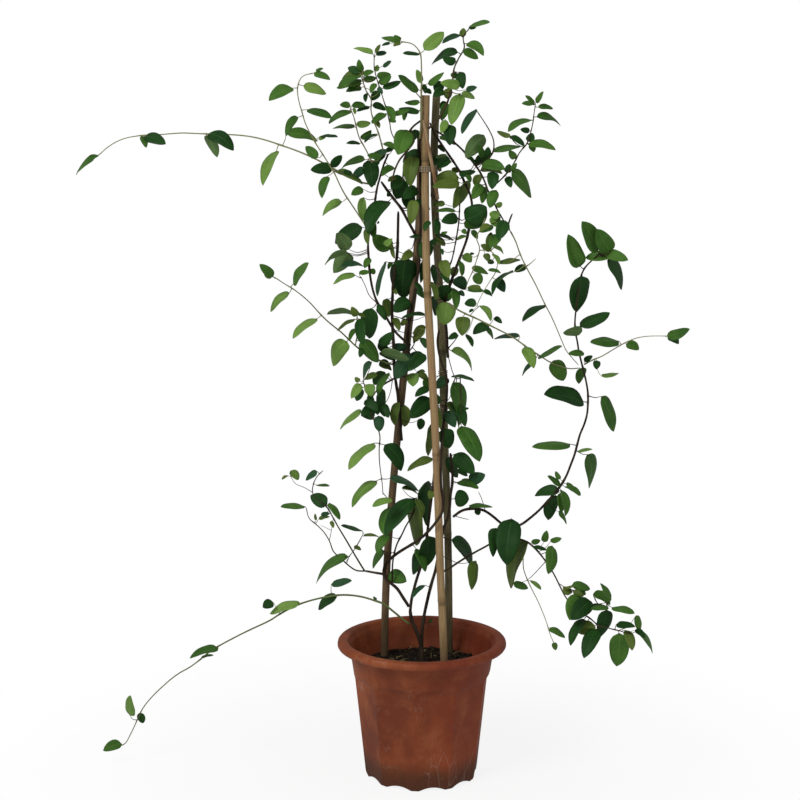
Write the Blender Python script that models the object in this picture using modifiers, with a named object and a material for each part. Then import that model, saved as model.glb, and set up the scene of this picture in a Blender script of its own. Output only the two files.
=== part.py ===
"""A honeysuckle climbing a wigwam of three bamboo canes in a round plastic pot.

The frame has its origin on the floor under the middle of the pot, +Z up, and the plant's front towards -Y.
Lengths are in metres, except for the plant's plan, which is in centimetres and millimetres as it says.
"""

import math

import bmesh
import bpy
import numpy as np
from mathutils import Vector
from mathutils.bvhtree import BVHTree

# Pot: a flared wall with ten flat panels, a rolled rim, and a foot ring cut into ten feet. The middle of its base
# reaches down to the floor, and the drain holes are in the raised part round it.
POT_HEIGHT = 0.200
RIM_RADIUS = 0.120
RIM_INNER_RADIUS = 0.1045
RIM_DEPTH = 0.0115
WALL = 0.003
FOOT_RADIUS = 0.0784
BASE_RISE = 0.006
BOSS_RADIUS = 0.030
PANELS = 10
FIRST_RIB_DEG = -43.4
PANEL_TOP = 0.147
PANEL_TOP_RADIUS = 0.0918
PANEL_SLOPE = 0.101
PANEL_BEVEL = 1.25
FOOT_ARCH_HEIGHT = 0.0045
FOOT_ARCH_WIDTH = 0.038
DRAIN_HOLES = 5
DRAIN_RADIUS = 0.006
DRAIN_CIRCLE = 0.042
POT_STEPS = 40

# Compost: it fills the pot to about 4 cm under the rim, a little higher in the middle.
SOIL_EDGE = 0.1575
SOIL_MIDDLE = 0.1625
SOIL_STEPS = 30

# Canes and ties.
CANE_FOOT_GIRTH = 0.0108
CANE_TOP_GIRTH = 0.0106
CANE_STEP = 0.045
TIE_HEIGHT = 0.868
TIE_GIRTH = 0.0022

# Plant.
STEM_STEP = 0.016
FAN = 0.10
FAN_MIDDLE = 1.0
FAN_CORE = 3.5
FAN_MOST = 2.1
EASE_TURNS = 160
FINE_STEP = 0.0025
SHORTEST_LEAF = 0.014
LEAF_THICKNESS = 0.0010
LEAF_ASPECT = 0.48
LEAF_ARCH = 0.03
LEAF_BOW = 0.11
LEANS = (-0.45, 0.50, -0.65, 0.30)
SHIFTS = (0, -0.003, 0.003, -0.006, 0.006, -0.010, 0.010, -0.015, 0.015, -0.021, 0.021)

GAP = 0.0003
MERGE = 0.00002
CM = 0.01
MM = 0.001

# The plan is drawn as it looks to someone three metres in front of the pot, whose eye is here.
EYE = Vector((-0.0311, -3.0, 1.125))

COLOURS = {
    "pot": ((0.42, 0.13, 0.055), 0.6),
    "compost": ((0.018, 0.013, 0.010), 0.95),
    "cane": ((0.50, 0.34, 0.16), 0.55),
    "twine": ((0.33, 0.24, 0.12), 0.9),
    "old": ((0.055, 0.035, 0.028), 0.8),
    "twig": ((0.11, 0.085, 0.05), 0.75),
    "tan": ((0.36, 0.20, 0.09), 0.75),
    "green": ((0.16, 0.24, 0.05), 0.55),
    "pale": ((0.28, 0.32, 0.14), 0.6),
    "leaf": ((0.035, 0.13, 0.028), 0.45),
}

# The plant's plan. Every stem and leaf is plotted in centimetres on an upright board through the middle of the
# pot, as (across, up) and, where it matters, how far behind the board it is. A stem is (girth at its foot and
# tip in millimetres, route). A leaf is (foot across, foot up, tip across, tip up, width seen, tone), and may
# add how far it stands behind its stem and how much further back its tip reaches.
CANES = {
    "cane_front": [(3.62, 6.5, -5.5), (3.05, 20), (2.6, 30), (2.05, 45), (1.42, 57), (0.9, 66), (0.55, 73),
                   (0.4, 80), (0.32, 88), (0.4, 96.7, -0.9)],
    "cane_rear": [(4.0, 9.5, 6.3), (3.88, 20), (3.75, 30), (3.5, 40), (3.2, 47), (2.95, 55), (2.75, 62),
                  (2.35, 70), (2.0, 76), (1.65, 82), (1.55, 89), (1.85, 96.6, 1.5)],
    "cane_left": [(-5.45, 9.5, 4.8), (-5.3, 20), (-5.15, 26, 4.45), (-4.95, 31), (-4.7, 35), (-4.15, 41.5),
                  (-3.55, 48.5), (-2.8, 56), (-1.9, 65), (-1.3, 69.5), (-0.8, 75), (-0.45, 80), (-0.3, 86),
                  (-0.25, 91.2, 1.0)],
}

SHOOTS = {
    "trunk": {
        "stems": [
            (8.0, 5.0, [(0.1, 11.5, 0), (0.05, 15), (0.0, 18), (-0.35, 20), (-1.0, 21.6), (-1.55, 23),
                        (-1.7, 24.3, -0.2)]),
            (5.0, 3.6, [(0.0, 17.5, 0), (0.0, 20.5), (0.12, 22), (0.3, 23.3), (0.6, 24.8), (0.9, 26.2),
                        (1.2, 27.5), (1.5, 28.6), (1.9, 30, 0.7), (2.15, 31.3), (2.45, 33), (2.8, 35),
                        (3.1, 36.4, 2.4), (3.5, 37.3), (3.9, 38.6, 2.6), (3.85, 40), (4.1, 41.5),
                        (4.25, 43), (4.2, 44.6, 3.0), (3.95, 47, 3.2)]),
            (4.4, 3.0, [(-1.7, 24.2, -0.2), (-1.55, 25.2), (-1.4, 26.2), (-1.15, 27.2), (-0.9, 28.2),
                        (-0.6, 29.2), (-0.3, 30.2), (0.05, 31.2, 0), (0.4, 33), (0.8, 36), (1.15, 39, 0.4),
                        (1.6, 43), (1.8, 47, 0.8), (1.7, 51), (1.5, 54.5, 1.0)]),
        ],
        "bark": "old",
        "leaves": [
            (0.5, 27.9, -1.45, 26.0, 0.75, "blue", -0.6), (4.1, 34.6, 7.4, 30, 1.7, "dark", -1.5),
            (7.6, 31.5, 7.25, 27.2, 1.5, "olive", -1.5), (1.5, 51.0, 1.1, 46.5, 0.9, "olive"),
            (1.5, 46.3, -2.1, 44.5, 1.15, "olive"), (0.3, 42.8, 1.2, 36.4, 2, "dark", 0.7),
            (1.6, 41.6, 1.0, 40.4, 1.1, "olive"), (4.5, 40.5, 6.6, 40.4, 2.4, "dark", -0.8),
            (4.4, 46.9, 7.3, 44.1, 2.3, "dark", -1.0), (3.3, 46.3, 5.1, 43.5, 1.5, "dark", 0.2),
            (6.5, 43.0, 8.8, 43.9, 1.8, "blue", -0.6), (5.3, 42.9, 8.0, 42.1, 1.1, "olive", -0.4),
            (1.0, 22.3, 1.5, 22.9, 0.4, "dark"), (0.2, 32.9, -1.35, 29.4, 1.6, "dark", 0.4),
            (0.9, 56.3, -1, 55.1, 1.1, "dark", 0.4), (1.2, 51.2, 0.75, 47, 1, "olive", -0.6),
            (4.8, 42.8, 7.9, 41.9, 1, "mid", -0.7), (4.9, 44.6, 6.4, 43.7, 0.9, "dark", -0.5),
        ],
    },
    "left_fork": {
        "stems": [
            (4.6, 3.2, [(-1.85, 24.7, -0.2), (-2.4, 25.6), (-3.0, 26.5), (-3.7, 27.6), (-4.15, 28.05, 1.8),
                        (-4.6, 28.3), (-5.1, 28.8), (-5.5, 29.5, 3.1), (-5.42, 30.2), (-5.1, 30.9, 2.8),
                        (-4.6, 31.5), (-3.9, 32.2), (-2.6, 33.1), (-1.6, 33.7), (-0.6, 34.4), (0.4, 35.2),
                        (1.4, 36.3, -4.7), (2.2, 37.4, -4.8), (2.9, 38.7, -4.2), (3.0, 39.8), (2.75, 41.2),
                        (2.6, 44), (2.65, 47, -1.2), (2.8, 49.5), (3.0, 51.5, -0.4), (3.3, 54),
                        (3.45, 56, 0.8), (3.3, 58), (2.6, 60, 1.0), (2.1, 62.5), (2.3, 64.5, 1.6)]),
        ],
        "bark": "old",
        "leaves": [
            (-0.9, 33.3, 0.6, 29.9, 1.2, "mid", -0.5), (0.95, 35.1, 0.55, 30.3, 2.5, "dark"),
            (-4.85, 29.3, -2.25, 28.4, 2.1, "mid", -0.5), (3.2, 50.5, 3.8, 47.6, 2.3, "dark", -0.8),
            (3.2, 53.0, 4.6, 50.7, 1.6, "blue", -0.3), (3.7, 57.6, 2.0, 56.2, 1.4, "blue", -0.4),
            (1.2, 54.9, -1.7, 52.0, 2.4, "dark", 0.6), (1.6, 58.0, 0.9, 56.8, 0.9, "olive", 0.4),
            (2.5, 54.0, 1.6, 55.6, 0.9, "dark", -1.8),
            (0.2, 57.6, 0.8, 55.6, 0.9, "mid", -0.4), (2.2, 54, 2.6, 50.4, 0.7, "olive", -0.6),
        ],
    },
    "left_twiggy_branch": {
        "stems": [
            (3.6, 3.0, [(-5.62, 29.5, 3.1), (-6.5, 29.65), (-7.4, 29.8), (-8.1, 29.95, 3.8)]),
            (2.4, 1.1, [(-8.0, 29.9, 3.8), (-9.0, 29.9), (-9.8, 30.3), (-10.7, 31.0), (-11.5, 31.8),
                        (-12.3, 32.5), (-12.8, 33.3), (-13.1, 34.4, 4.6), (-13.6, 35.3), (-14.4, 36.1),
                        (-15.0, 36.8), (-15.8, 37.4), (-16.1, 38.2), (-16.3, 39.1, 5.0)]),
            (2.6, 1.2, [(-8.1, 29.9, 3.8), (-8.6, 30.8), (-9.15, 31.6), (-9.9, 33.0), (-11.1, 35.1),
                        (-11.8, 36.3), (-12.6, 37.8), (-13.4, 39.2, 3.0), (-14.5, 40.2), (-15.4, 41.2),
                        (-15.3, 42.4), (-15.2, 43.2, 2.4), (-14.5, 43.8), (-13.9, 44.5, 2.0)]),
            (1.1, 0.8, [(-10.7, 31.0, 4.1), (-10.2, 32.2), (-9.5, 33.1), (-9.0, 33.9), (-8.4, 35.1, 2.6)]),
            (1.1, 0.8, [(-13.1, 34.4, 4.6), (-12.8, 35.0), (-12.9, 35.6), (-12.7, 36.4, 4.0)]),
            (1.0, 0.7, [(-15.4, 41.3, 2.7), (-16.2, 41.9), (-17.0, 42.2), (-17.9, 42.7), (-18.5, 43.8, 1.6)]),
            (0.9, 0.6, [(-10.8, 31.1, 4.1), (-9.4, 33.4), (-8.2, 35.5, 4.6)]),
            (0.8, 0.5, [(-12.9, 35.9, 4.2), (-13.5, 36.2), (-14.3, 36.6, 5.2)]),
        ],
        "bark": "twig",
        "leaves": [
            (-16.4, 39.3, -19.9, 39.3, 0.9, "mid"), (-13.3, 39.6, -15.7, 40.9, 2.0, "dark"),
            (-13.1, 39.9, -11.6, 37.4, 1.0, "mid"), (-14.7, 44.4, -16.4, 43.1, 0.9, "blue"),
            (-14.9, 42.4, -13.0, 42.3, 0.4, "mid"), (-18.5, 44.5, -17.3, 43.1, 1.2, "fresh"),
            (-18.8, 43.8, -19.7, 43.2, 0.4, "olive"), (-14.6, 37.5, -13.0, 37.9, 0.5, "olive"),
            (-14.3, 38.1, -13.0, 38.3, 0.7, "blue"), (-14.9, 37.3, -15.1, 38.3, 0.4, "olive"),
            (-12.9, 37.2, -12.5, 36.2, 0.6, "olive"), (-10.3, 32.1, -15, 28.1, 1.2, "mid"),
            (-8.4, 35.8, -11.4, 36.6, 0.6, "dark"), (-8.3, 35, -6, 35, 0.45, "olive"),
            (-9.6, 33.6, -8.6, 33, 0.6, "olive"),
        ],
    },
    "left_low_runner": {
        "stems": [
            (3.0, 1.3, [(-1.75, 22.1, -0.9), (-2.5, 22.7), (-3.4, 23.4), (-4.2, 24.1), (-5.3, 25.0),
                        (-6.5, 25.5),
                        (-8.0, 26.0), (-9.5, 26.3), (-11.0, 26.4), (-12.5, 26.3), (-15, 25.8), (-17.5, 25),
                        (-20, 23.7), (-21.7, 22.6, 0.5), (-25, 21), (-28, 19.4), (-30, 18.2),
                        (-32.7, 16), (-35, 14.6), (-37, 12.9), (-38.7, 11.2), (-40, 9.5),
                        (-40.9, 7.6), (-41.7, 5.9), (-42.7, 4.2), (-44.0, 3.7, 1.9)]),
        ],
        "bark": "green",
        "leaves": [
            (-12.9, 28, -10, 28.6, 1.1, "blue"), (-12.0, 26.2, -14.8, 24.3, 1.4, "dark"),
            (-21, 25.3, -22.6, 24.6, 1.4, "dark"), (-17.2, 25.2, -21.7, 23.8, 1.3, "fresh"),
            (-28.9, 18.6, -33.1, 17.1, 1.15, "mid"), (-31.5, 17.0, -29.7, 17.6, 0.4, "mid"),
            (-41.8, 8.4, -41.8, 11.4, 1.3, "fresh"), (-40.5, 8.9, -39.9, 7.3, 1.15, "dark"),
            (-43.1, 4.3, -45.8, 3.2, 1.5, "mid"), (-6.4, 25.7, -6.9, 26.2, 0.4, "dark"),
        ],
    },
    "inner_left_shoot": {
        "stems": [
            (2.4, 2.0, [(-4.2, 28.4, 1.6), (-4.2, 30, 1.2), (-4.1, 31.5), (-3.8, 33), (-3.4, 34.2),
                        (-3.0, 34.9), (-2.5, 36), (-2.1, 36.8), (-1.6, 37.6), (-1.2, 38.6),
                        (-0.95, 39.6), (-0.8, 40.6, -0.8)]),
        ],
        "bark": "old",
        "leaves": [
            (-1.0, 40.6, -5.3, 35.1, 2.4, "dark", 0.4), (-0.9, 40.2, -1.3, 33.5, 2.2, "olive", -0.5),
            (-0.8, 40.5, 0.1, 37.9, 1.0, "olive"), (-2.9, 42.0, -0.4, 40.9, 0.45, "olive"),
            (-4.6, 35.3, -6.4, 32.5, 1.4, "mid", 1.0), (-5.3, 32.9, -7.0, 30.3, 1.0, "mid", 1.0),
            (-4.6, 39.3, -5.4, 35.2, 1.6, "mid", 0.6),
        ],
    },
    "right_lower_branch": {
        "stems": [
            (3.2, 1.5, [(2.3, 29.5, 0.9), (3.2, 29.9), (4.1, 30.5), (5.0, 31.1, 1.4), (7, 32.4), (8.5, 33.2),
                        (10, 34.1), (12, 34.9), (14.5, 34.3), (15.4, 33.8), (16.5, 32.6), (17.6, 31.2),
                        (18.6, 29.6, -1.5), (19.4, 28.0), (20, 26.8), (20.7, 25.6), (22, 24.2), (23.5, 23.3),
                        (25, 22), (27, 21.4), (28.2, 21.1, -4.0)]),
            (1.2, 0.8, [(19.4, 28.1, -1.8), (20.5, 27.4), (21.6, 27.1, -2.6)]),
            (1.4, 0.9, [(22.9, 23.7, -2.9), (24.0, 24.4), (25.4, 25.2), (26.4, 25.3, -3.8)]),
        ],
        "bark": "twig",
        "leaves": [
            (12.6, 37.7, 12, 30.8, 3.5, "dark", -0.6), (15, 34.2, 12.2, 27.4, 2.3, "olive", -0.2),
            (10.5, 36.3, 10.1, 32.0, 1.6, "dark", 0.5), (12.9, 28.1, 15.1, 27.4, 1.1, "mid", 0.4),
            (15.6, 33.5, 17.6, 33.0, 0.6, "dark"), (18.1, 34.2, 19.7, 34.8, 0.8, "mid"),
            (18.4, 33.7, 17.9, 29.5, 1.7, "mid", 0.5), (21.2, 27.9, 23.9, 27.3, 1.3, "mid"),
            (20.1, 27.4, 21.7, 27.7, 0.4, "olive"), (21.6, 27.0, 23.3, 26.5, 1.1, "mid"),
            (24.0, 25.6, 21.3, 22.8, 2.6, "dark", 0.5), (24.2, 26.5, 26.8, 25.0, 1.3, "mid"),
            (26.9, 25.7, 25.3, 28.1, 0.9, "mid"), (23.9, 24.5, 26.5, 24.7, 0.8, "dark", 0.4),
            (26.9, 24.6, 30.2, 23.8, 1, "mid"), (26.3, 24.3, 25.5, 20.1, 2, "dark", 0.2),
            (23.1, 22.9, 21.1, 19, 1.4, "dark"), (24.7, 21.9, 22.3, 20.8, 1.9, "olive", -0.5),
            (25, 21.5, 23.1, 17.2, 2.3, "dark"), (28.1, 20.9, 27.8, 15.8, 2.8, "mid", -0.3),
            (28.9, 21.3, 30.0, 18.2, 1.3, "olive", 0.4), (30.6, 21.1, 33.1, 17.9, 0.8, "mid"),
            (27.6, 22.1, 30.3, 21.8, 1, "dark"), (30.4, 23.4, 31.1, 21, 1, "mid"),
            (17.2, 34.1, 17.6, 35.8, 1, "mid"), (15.4, 34.1, 16.7, 34.4, 0.8, "mid"),
            (22.6, 26.3, 21, 22.7, 2.6, "mid", -0.4), (21.2, 26.6, 20, 27.6, 1.1, "olive", 0.4),
            (21.4, 27, 22.9, 26.2, 0.9, "olive", -0.5), (24.3, 26.7, 26.4, 25.1, 0.9, "dark", 0.5),
            (26.5, 24.7, 24, 24.4, 0.8, "mid", -0.4), (23.5, 22.6, 21.8, 21.3, 1.3, "olive", 0.4),
            (30.3, 21.3, 31.8, 20.1, 0.9, "dark", 0.3),
        ],
    },
    "hanging_shoot": {
        "stems": [
            (1.5, 1.0, [(14.3, 32.0, 0.4), (14.4, 30.1), (15, 28.5), (15.7, 27), (16.7, 25), (17.4, 23.2),
                        (18, 21.6),
                        (18.4, 20), (18.9, 19.1, -1.2)]),
        ],
        "bark": "pale",
        "leaves": [
            (18.1, 21.6, 20.4, 20.1, 0.9, "mid"), (18.8, 19.4, 19.1, 18.2, 0.8, "mid"),
            (15.4, 28.6, 16.9, 27.2, 0.6, "fresh"),
        ],
    },
    "right_main_branch": {
        "stems": [
            (4.0, 2.0, [(4.35, 37.8, 2.2), (5.2, 38.5), (6.2, 38.9), (7.2, 39.0), (8.5, 38.8), (9.6, 38.2),
                        (10.6, 37.3), (11.8, 36.5, 1.6), (13.0, 36.3), (14.4, 37.0), (16.5, 38.8), (18, 40.5),
                        (19.2, 42), (20.0, 43.2), (20.7, 45), (21.4, 47, 2.6), (22, 49.5), (22.9, 52),
                        (23.1, 54.6), (23, 56),
                        (22.7, 57.6), (22.2, 59.5, 1.5), (21.7, 61.5), (21.4, 63.3), (21.1, 65), (21.3, 68),
                        (21.9, 72.2, 0), (23.2, 74), (24.5, 75.2, -0.6)]),
            (1.3, 0.9, [(4.4, 37.3, 2.2), (5.1, 37.3), (5.7, 37.8), (6.6, 37.4, 1.8)]),
            (1.2, 0.8, [(9.2, 39.0, 1.9), (8.5, 40.1), (7.9, 41.5, 1.2)]),
        ],
        "bark": "old",
        "leaves": [
            (21.8, 73.2, 20.0, 77.7, 2.4, "mid"), (21.9, 72.1, 21.5, 66.8, 2.6, "dark", -0.4),
            (24.2, 75.4, 21.9, 79.5, 2.5, "mid"), (26.1, 74.8, 22.4, 74.6, 1.5, "mid", 0.6),
            (25.2, 75.2, 28.3, 74.2, 1.6, "mid"), (25.4, 74.3, 27.8, 70.1, 1.5, "dark"),
            (22.2, 64.3, 19.4, 64.2, 1.3, "under"), (21.7, 64.9, 25.9, 66.9, 1.7, "dark"),
            (22.5, 61.2, 20.3, 61.2, 0.9, "mid"), (22.5, 59.2, 21.8, 56.8, 1.3, "mid", 0.6),
            (22.6, 54.3, 17, 55.4, 2.4, "dark", -0.2), (24.9, 55.2, 27, 50.1, 1.8, "mid"),
            (20.8, 48.3, 15.4, 47.9, 1.3, "mid"), (23.1, 46.9, 23.7, 41.9, 1.6, "mid"),
            (21.8, 47.3, 23.8, 47.6, 0.5, "fresh"), (19.4, 41.6, 15.8, 40.9, 1.5, "dark"),
            (19.5, 42.3, 17.7, 43.8, 0.8, "mid"), (20.2, 42.6, 22.2, 40.9, 0.7, "mid"),
            (19.5, 41.8, 20.3, 38.0, 1.1, "mid"), (18.8, 41.0, 17.8, 37.3, 1.9, "dark", 0.5),
            (6.6, 39.5, 9.9, 39.4, 0.6, "mid", -0.5), (7.5, 38.9, 8.1, 38.1, 0.9, "dark"),
            (20, 42.2, 22.3, 40.9, 0.7, "mid", 0.3), (19.4, 43.2, 18.7, 44.4, 0.7, "mid"),
            (19.4, 41.3, 19.6, 38.4, 1.2, "mid", -0.4), (19.2, 38.6, 20.5, 36.8, 0.6, "mid"),
            (25.9, 75.3, 24, 78.4, 2.4, "mid", 0.5),
        ],
    },
    "right_tendril": {
        "stems": [
            (1.8, 1.0, [(22.5, 59.6, 1.5), (23.6, 60.2), (25, 60.8), (28, 62.6), (30, 63.4), (32, 63.6),
                        (33.8, 63.6, -1.5)]),
        ],
        "bark": "pale",
        "leaves": [
            (33.8, 63.6, 37.0, 64.6, 1.4, "mid"), (34.0, 63.5, 35.6, 62.5, 1.1, "dark"),
            (27.3, 62.9, 23.3, 62.7, 1.4, "mid"), (28.2, 62.5, 30.1, 61.7, 1.3, "mid"),
            (24.2, 60.2, 24.2, 58.9, 1.1, "dark"), (24.9, 57.9, 27.3, 58.4, 0.6, "fresh"),
            (22.4, 60.1, 23.6, 60.8, 0.8, "dark"),
        ],
    },
    "right_cross_stem": {
        "stems": [
            (2.4, 1.6, [(3.6, 68.2, -1.2), (5, 67.2), (6, 66.7), (8, 65.8), (9.5, 65), (11.5, 64),
                        (13.5, 62.8),
                        (14.5, 62), (16.5, 60.7), (18, 59.8), (20.5, 59), (21.9, 59.1, 1.4)]),
            (1.2, 0.9, [(6.6, 66.5, -1.0), (7.3, 67.3), (7.9, 67.8, -1.0)]),
        ],
        "bark": "pale",
        "leaves": [
            (9.3, 65.1, 7.0, 63.9, 1.4, "dark"), (8.8, 64.7, 9.9, 63.2, 0.6, "mid"),
            (9.9, 66.2, 11.0, 65.4, 0.8, "dark"), (13.6, 63.6, 9.9, 63.2, 0.65, "blue"),
            (7.9, 67.9, 9.5, 65.7, 0.9, "fresh"), (7.5, 68.2, 5.8, 68.1, 1.2, "dark"),
            (14.1, 62.1, 15.5, 59.1, 1.7, "fresh"), (15.2, 59.8, 13.8, 58.0, 0.5, "blue"),
            (16.0, 60.4, 19.3, 62.3, 0.7, "mid"), (18.1, 60.2, 19.7, 57.2, 2.3, "mid"),
            (5.6, 66.4, 5.5, 63.7, 2.1, "olive", -0.6), (3.5, 68.4, 3.0, 65.1, 2.7, "fresh", -0.8),
            (6.0, 63.9, 7.0, 62.1, 0.7, "dark", -0.6),
        ],
    },
    "right_pale_stem": {
        "stems": [
            (1.8, 1.2, [(12.1, 78.1, -3.2), (12.6, 77.2), (13.1, 76.0), (13.5, 74.8), (14.4, 73.0),
                        (15.7, 70.6), (16.8, 68.3), (18.0, 66.0),
                        (19.3, 63.0), (20.0, 61.5), (21.7, 59.5, 0.9)]),
            (1.6, 1.0, [(14.2, 73.3, -2.3), (15.1, 73.9), (15.6, 74.4, -2.0)]),
        ],
        "bark": "pale",
        "leaves": [
            (17, 68, 13.8, 65.7, 1, "dark"), (14.3, 73.3, 12.6, 72.6, 1.0, "dark"),
            (12.6, 72.6, 9.5, 69.6, 0.5, "dark"), (10.4, 73.7, 13.5, 74.3, 0.75, "olive"),
            (11.4, 79.7, 10.4, 77.0, 1.8, "dark"), (11.9, 79.2, 10.1, 76.0, 0.5, "fresh"),
        ],
    },
    "column_right_twigs": {
        "stems": [
            (1.6, 1.1, [(3.2, 61.5, 1.6), (3.6, 61.9), (4.3, 62.7), (5.0, 63.7, -0.4)]),
            (1.4, 1.0, [(3.4, 57.9, 0.9), (4.6, 57.9), (5.5, 57.7, 0.0)]),
        ],
        "bark": "twig",
        "leaves": [
            (4.9, 63.9, 3.6, 63.2, 0.9, "dark"), (3.9, 61.6, 7.0, 58.8, 1.0, "fresh", -1.0),
            (4.0, 57.9, 7.2, 57.3, 0.5, "dark"), (4.2, 57.2, 5.6, 51.0, 2.0, "mid", -0.6),
            (4.1, 54.3, 6.1, 50.9, 1.6, "dark", 0.8), (3.3, 54.2, 5.3, 50.4, 0.9, "olive", -1.4),
            (5.4, 51, 8.1, 45.9, 2.5, "mid", -0.4), (4.0, 55.6, 5.0, 55.0, 0.8, "dark", 0.8),
            (5.8, 53.3, 6.5, 53.4, 0.4, "dark"),
        ],
    },
    "column_left_climber": {
        "stems": [
            (4.6, 3.6, [(-2.9, 48.8, 1.7), (-3.05, 50.5), (-3.15, 52.5), (-3.3, 54.3), (-3.45, 55.6),
                        (-3.7, 57.2, 1.2), (-3.9, 58.8), (-3.95, 60.5), (-4.0, 62.5), (-4.1, 64, 0.6),
                        (-4.2, 66), (-4.2, 68), (-4.1, 70), (-4.0, 72), (-3.75, 73.6), (-3.5, 75, 0.4),
                        (-3.4, 78), (-3.35, 80.9, 0.2)]),
        ],
        "bark": "old",
        "leaves": [
            (-3.3, 54.4, -3.9, 51.0, 1.3, "olive", -0.5), (-2.4, 53.9, -2.6, 50.7, 1.7, "olive", -0.6),
            (-1.5, 58.4, -1.3, 56.5, 1.8, "fresh"), (-0.1, 52.0, -0.35, 50.3, 1.2, "dark", -0.2),
            (-1.4, 61.0, -3.7, 57.6, 2.3, "blue"), (0.3, 60.9, -2.9, 59.4, 1.8, "blue"),
            (-5.8, 61.2, -1.8, 60.4, 1.4, "under", -1.4), (-4.2, 62.0, -2.0, 62.1, 1.2, "blue"),
            (-6.1, 62.3, -4.2, 64.1, 1.4, "dark"), (-6.0, 60.0, -4.5, 59.0, 1.3, "blue", -0.4),
            (-4, 66.2, -3.2, 64.4, 1, "olive"), (-5.0, 68.9, -4.7, 66.2, 1.3, "olive"),
            (-1.6, 68.5, -4.0, 67.0, 2.0, "dark", 0.4), (-2.3, 74.6, -2.6, 68.7, 3.6, "dark", -0.8),
            (-1.3, 75.3, -2.9, 74.2, 1.2, "olive", -0.2), (-4.1, 75.9, -6.9, 77.6, 2.2, "mid", -0.2),
            (-5.1, 74.1, -6.3, 69.2, 0.7, "blue"), (-4.2, 73.9, -4.8, 72.9, 0.6, "mid"),
            (-4.1, 70.2, -3.6, 69.4, 0.6, "olive"), (0.5, 64.9, -1.4, 63.9, 0.9, "olive", 0.8),
            (0.7, 66.5, -3.0, 66.1, 0.5, "dark", 0.3), (0.4, 58.6, -1.0, 58.3, 0.5, "olive", 0.3),
            (-5.3, 76.2, -4.2, 77.1, 0.9, "fresh", -0.8),
            (-6.1, 59.6, -4.2, 58.8, 0.9, "olive", 0.4), (-6, 61.3, -4, 60.2, 1, "dark", 0.5),
            (-6.2, 62.6, -4.6, 60.8, 1.3, "dark", -0.5), (-4.4, 76.6, -3.9, 74.4, 0.6, "olive"),
        ],
    },
    "left_arch": {
        "stems": [
            (4.2, 3.4, [(-0.85, 77.4, 1.4), (-1.3, 78.3), (-1.9, 79.3), (-2.7, 80.9, 0.6), (-3.3, 81.8),
                        (-4.2, 82.9),
                        (-5.0, 84.0), (-5.7, 85.0, 0.6)]),
            (1.3, 0.9, [(-0.9, 76.2, 1.6), (-1.5, 75.8), (-2.1, 75.7, 1.2)]),
        ],
        "bark": "old",
        "leaves": [
            (-1.2, 82.6, -1.65, 79.2, 1.7, "olive", -0.8), (-2.2, 83.9, -1.5, 81.0, 2.0, "dark", -0.4),
            (-4.7, 82.9, -4.8, 83.6, 0.4, "dark"), (-1.0, 82.5, 1.1, 81.2, 0.7, "dark", -1.6),
            (-2.5, 85.4, -4.3, 84.0, 1.9, "dark", -0.4),
            (-0.8, 82.0, -0.75, 79.1, 0.35, "mid", -0.8), (-4.6, 82.4, -7.6, 78.0, 2.2, "dark", -0.6),
            (-2.5, 85.3, -3.6, 82.6, 2.2, "dark", -0.6),
        ],
    },
    "left_bow": {
        "stems": [
            (3.6, 2.6, [(-1.7, 62.3, 1.0), (-2.4, 62.9), (-3.0, 63.4), (-3.6, 64.0, -0.4), (-4.3, 65.0),
                        (-5.0, 66.2), (-5.5, 67.2),
                        (-6.2, 68.2, -0.8), (-6.6, 69.2), (-6.9, 70.2), (-7.15, 71.5), (-7.35, 73.2),
                        (-7.45, 75), (-7.5, 76.8, -0.6), (-7.2, 78.5), (-6.8, 80.2), (-6.55, 82),
                        (-6.4, 83.4, 0),
                        (-6.15, 84.5), (-5.9, 85.4), (-5.5, 86.7), (-5.1, 88.0), (-4.7, 88.8, -0.4)]),
            (1.4, 0.9, [(-6.3, 68.1, -0.9), (-6.9, 68.6), (-7.3, 69.2), (-7.9, 70.6), (-8.5, 71.9, -1.8)]),
        ],
        "bark": "old",
        "leaves": [
            (-6.2, 68.1, -5.2, 66.3, 0.9, "dark", -0.6), (-7.0, 67.6, -7.4, 63.2, 2.4, "dark", -0.8),
            (-8, 73.3, -11.2, 73.3, 0.8, "blue"), (-9.2, 72.1, -12.4, 71.0, 0.85, "fresh"),
            (-7.2, 74.5, -8.0, 73.1, 1.0, "mid"), (-7.1, 73.0, -6.6, 72.2, 0.8, "mid"),
            (-7.6, 78.7, -7.6, 76.4, 0.9, "olive", -0.4), (-8.2, 78.8, -12.1, 76.5, 2.2, "dark", -0.6),
            (-10.1, 75.6, -11.9, 78.0, 2.0, "under", -0.4), (-10.0, 75.2, -12.2, 72.5, 2.4, "under", -0.3),
            (-10.2, 75.1, -13.6, 73.7, 0.8, "under", -0.2), (-8.1, 82.9, -8.2, 79.6, 1.3, "fresh", -0.6),
            (-8.1, 84.0, -9.8, 83.2, 1.2, "mid", -0.6), (-6.2, 79.2, -6.0, 79.6, 0.3, "dark"),
            (-3.9, 87.0, -5.6, 85.8, 1.0, "mid", -0.4), (-3.6, 85.6, -4.8, 85.0, 0.7, "olive", -0.8),
            (-6.3, 67.6, -5.1, 65.8, 1.1, "dark", 0.4), (-8.8, 72.3, -7.2, 72.6, 0.7, "mid"),
            (-6.9, 79.4, -6.6, 77.2, 1.1, "mid", -0.3), (-4, 89.6, -5.2, 89, 0.7, "dark"),
            (-5.2, 89, -6.6, 87.4, 1, "dark", 0.4),
        ],
    },
    "column_core": {
        "stems": [
            (4.4, 3.0, [(-1.75, 60.3, 0.8), (-2.0, 62.0, 0.9), (-2.05, 64.0), (-1.65, 66.5, 1.0),
                        (-1.3, 68.5),
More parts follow.
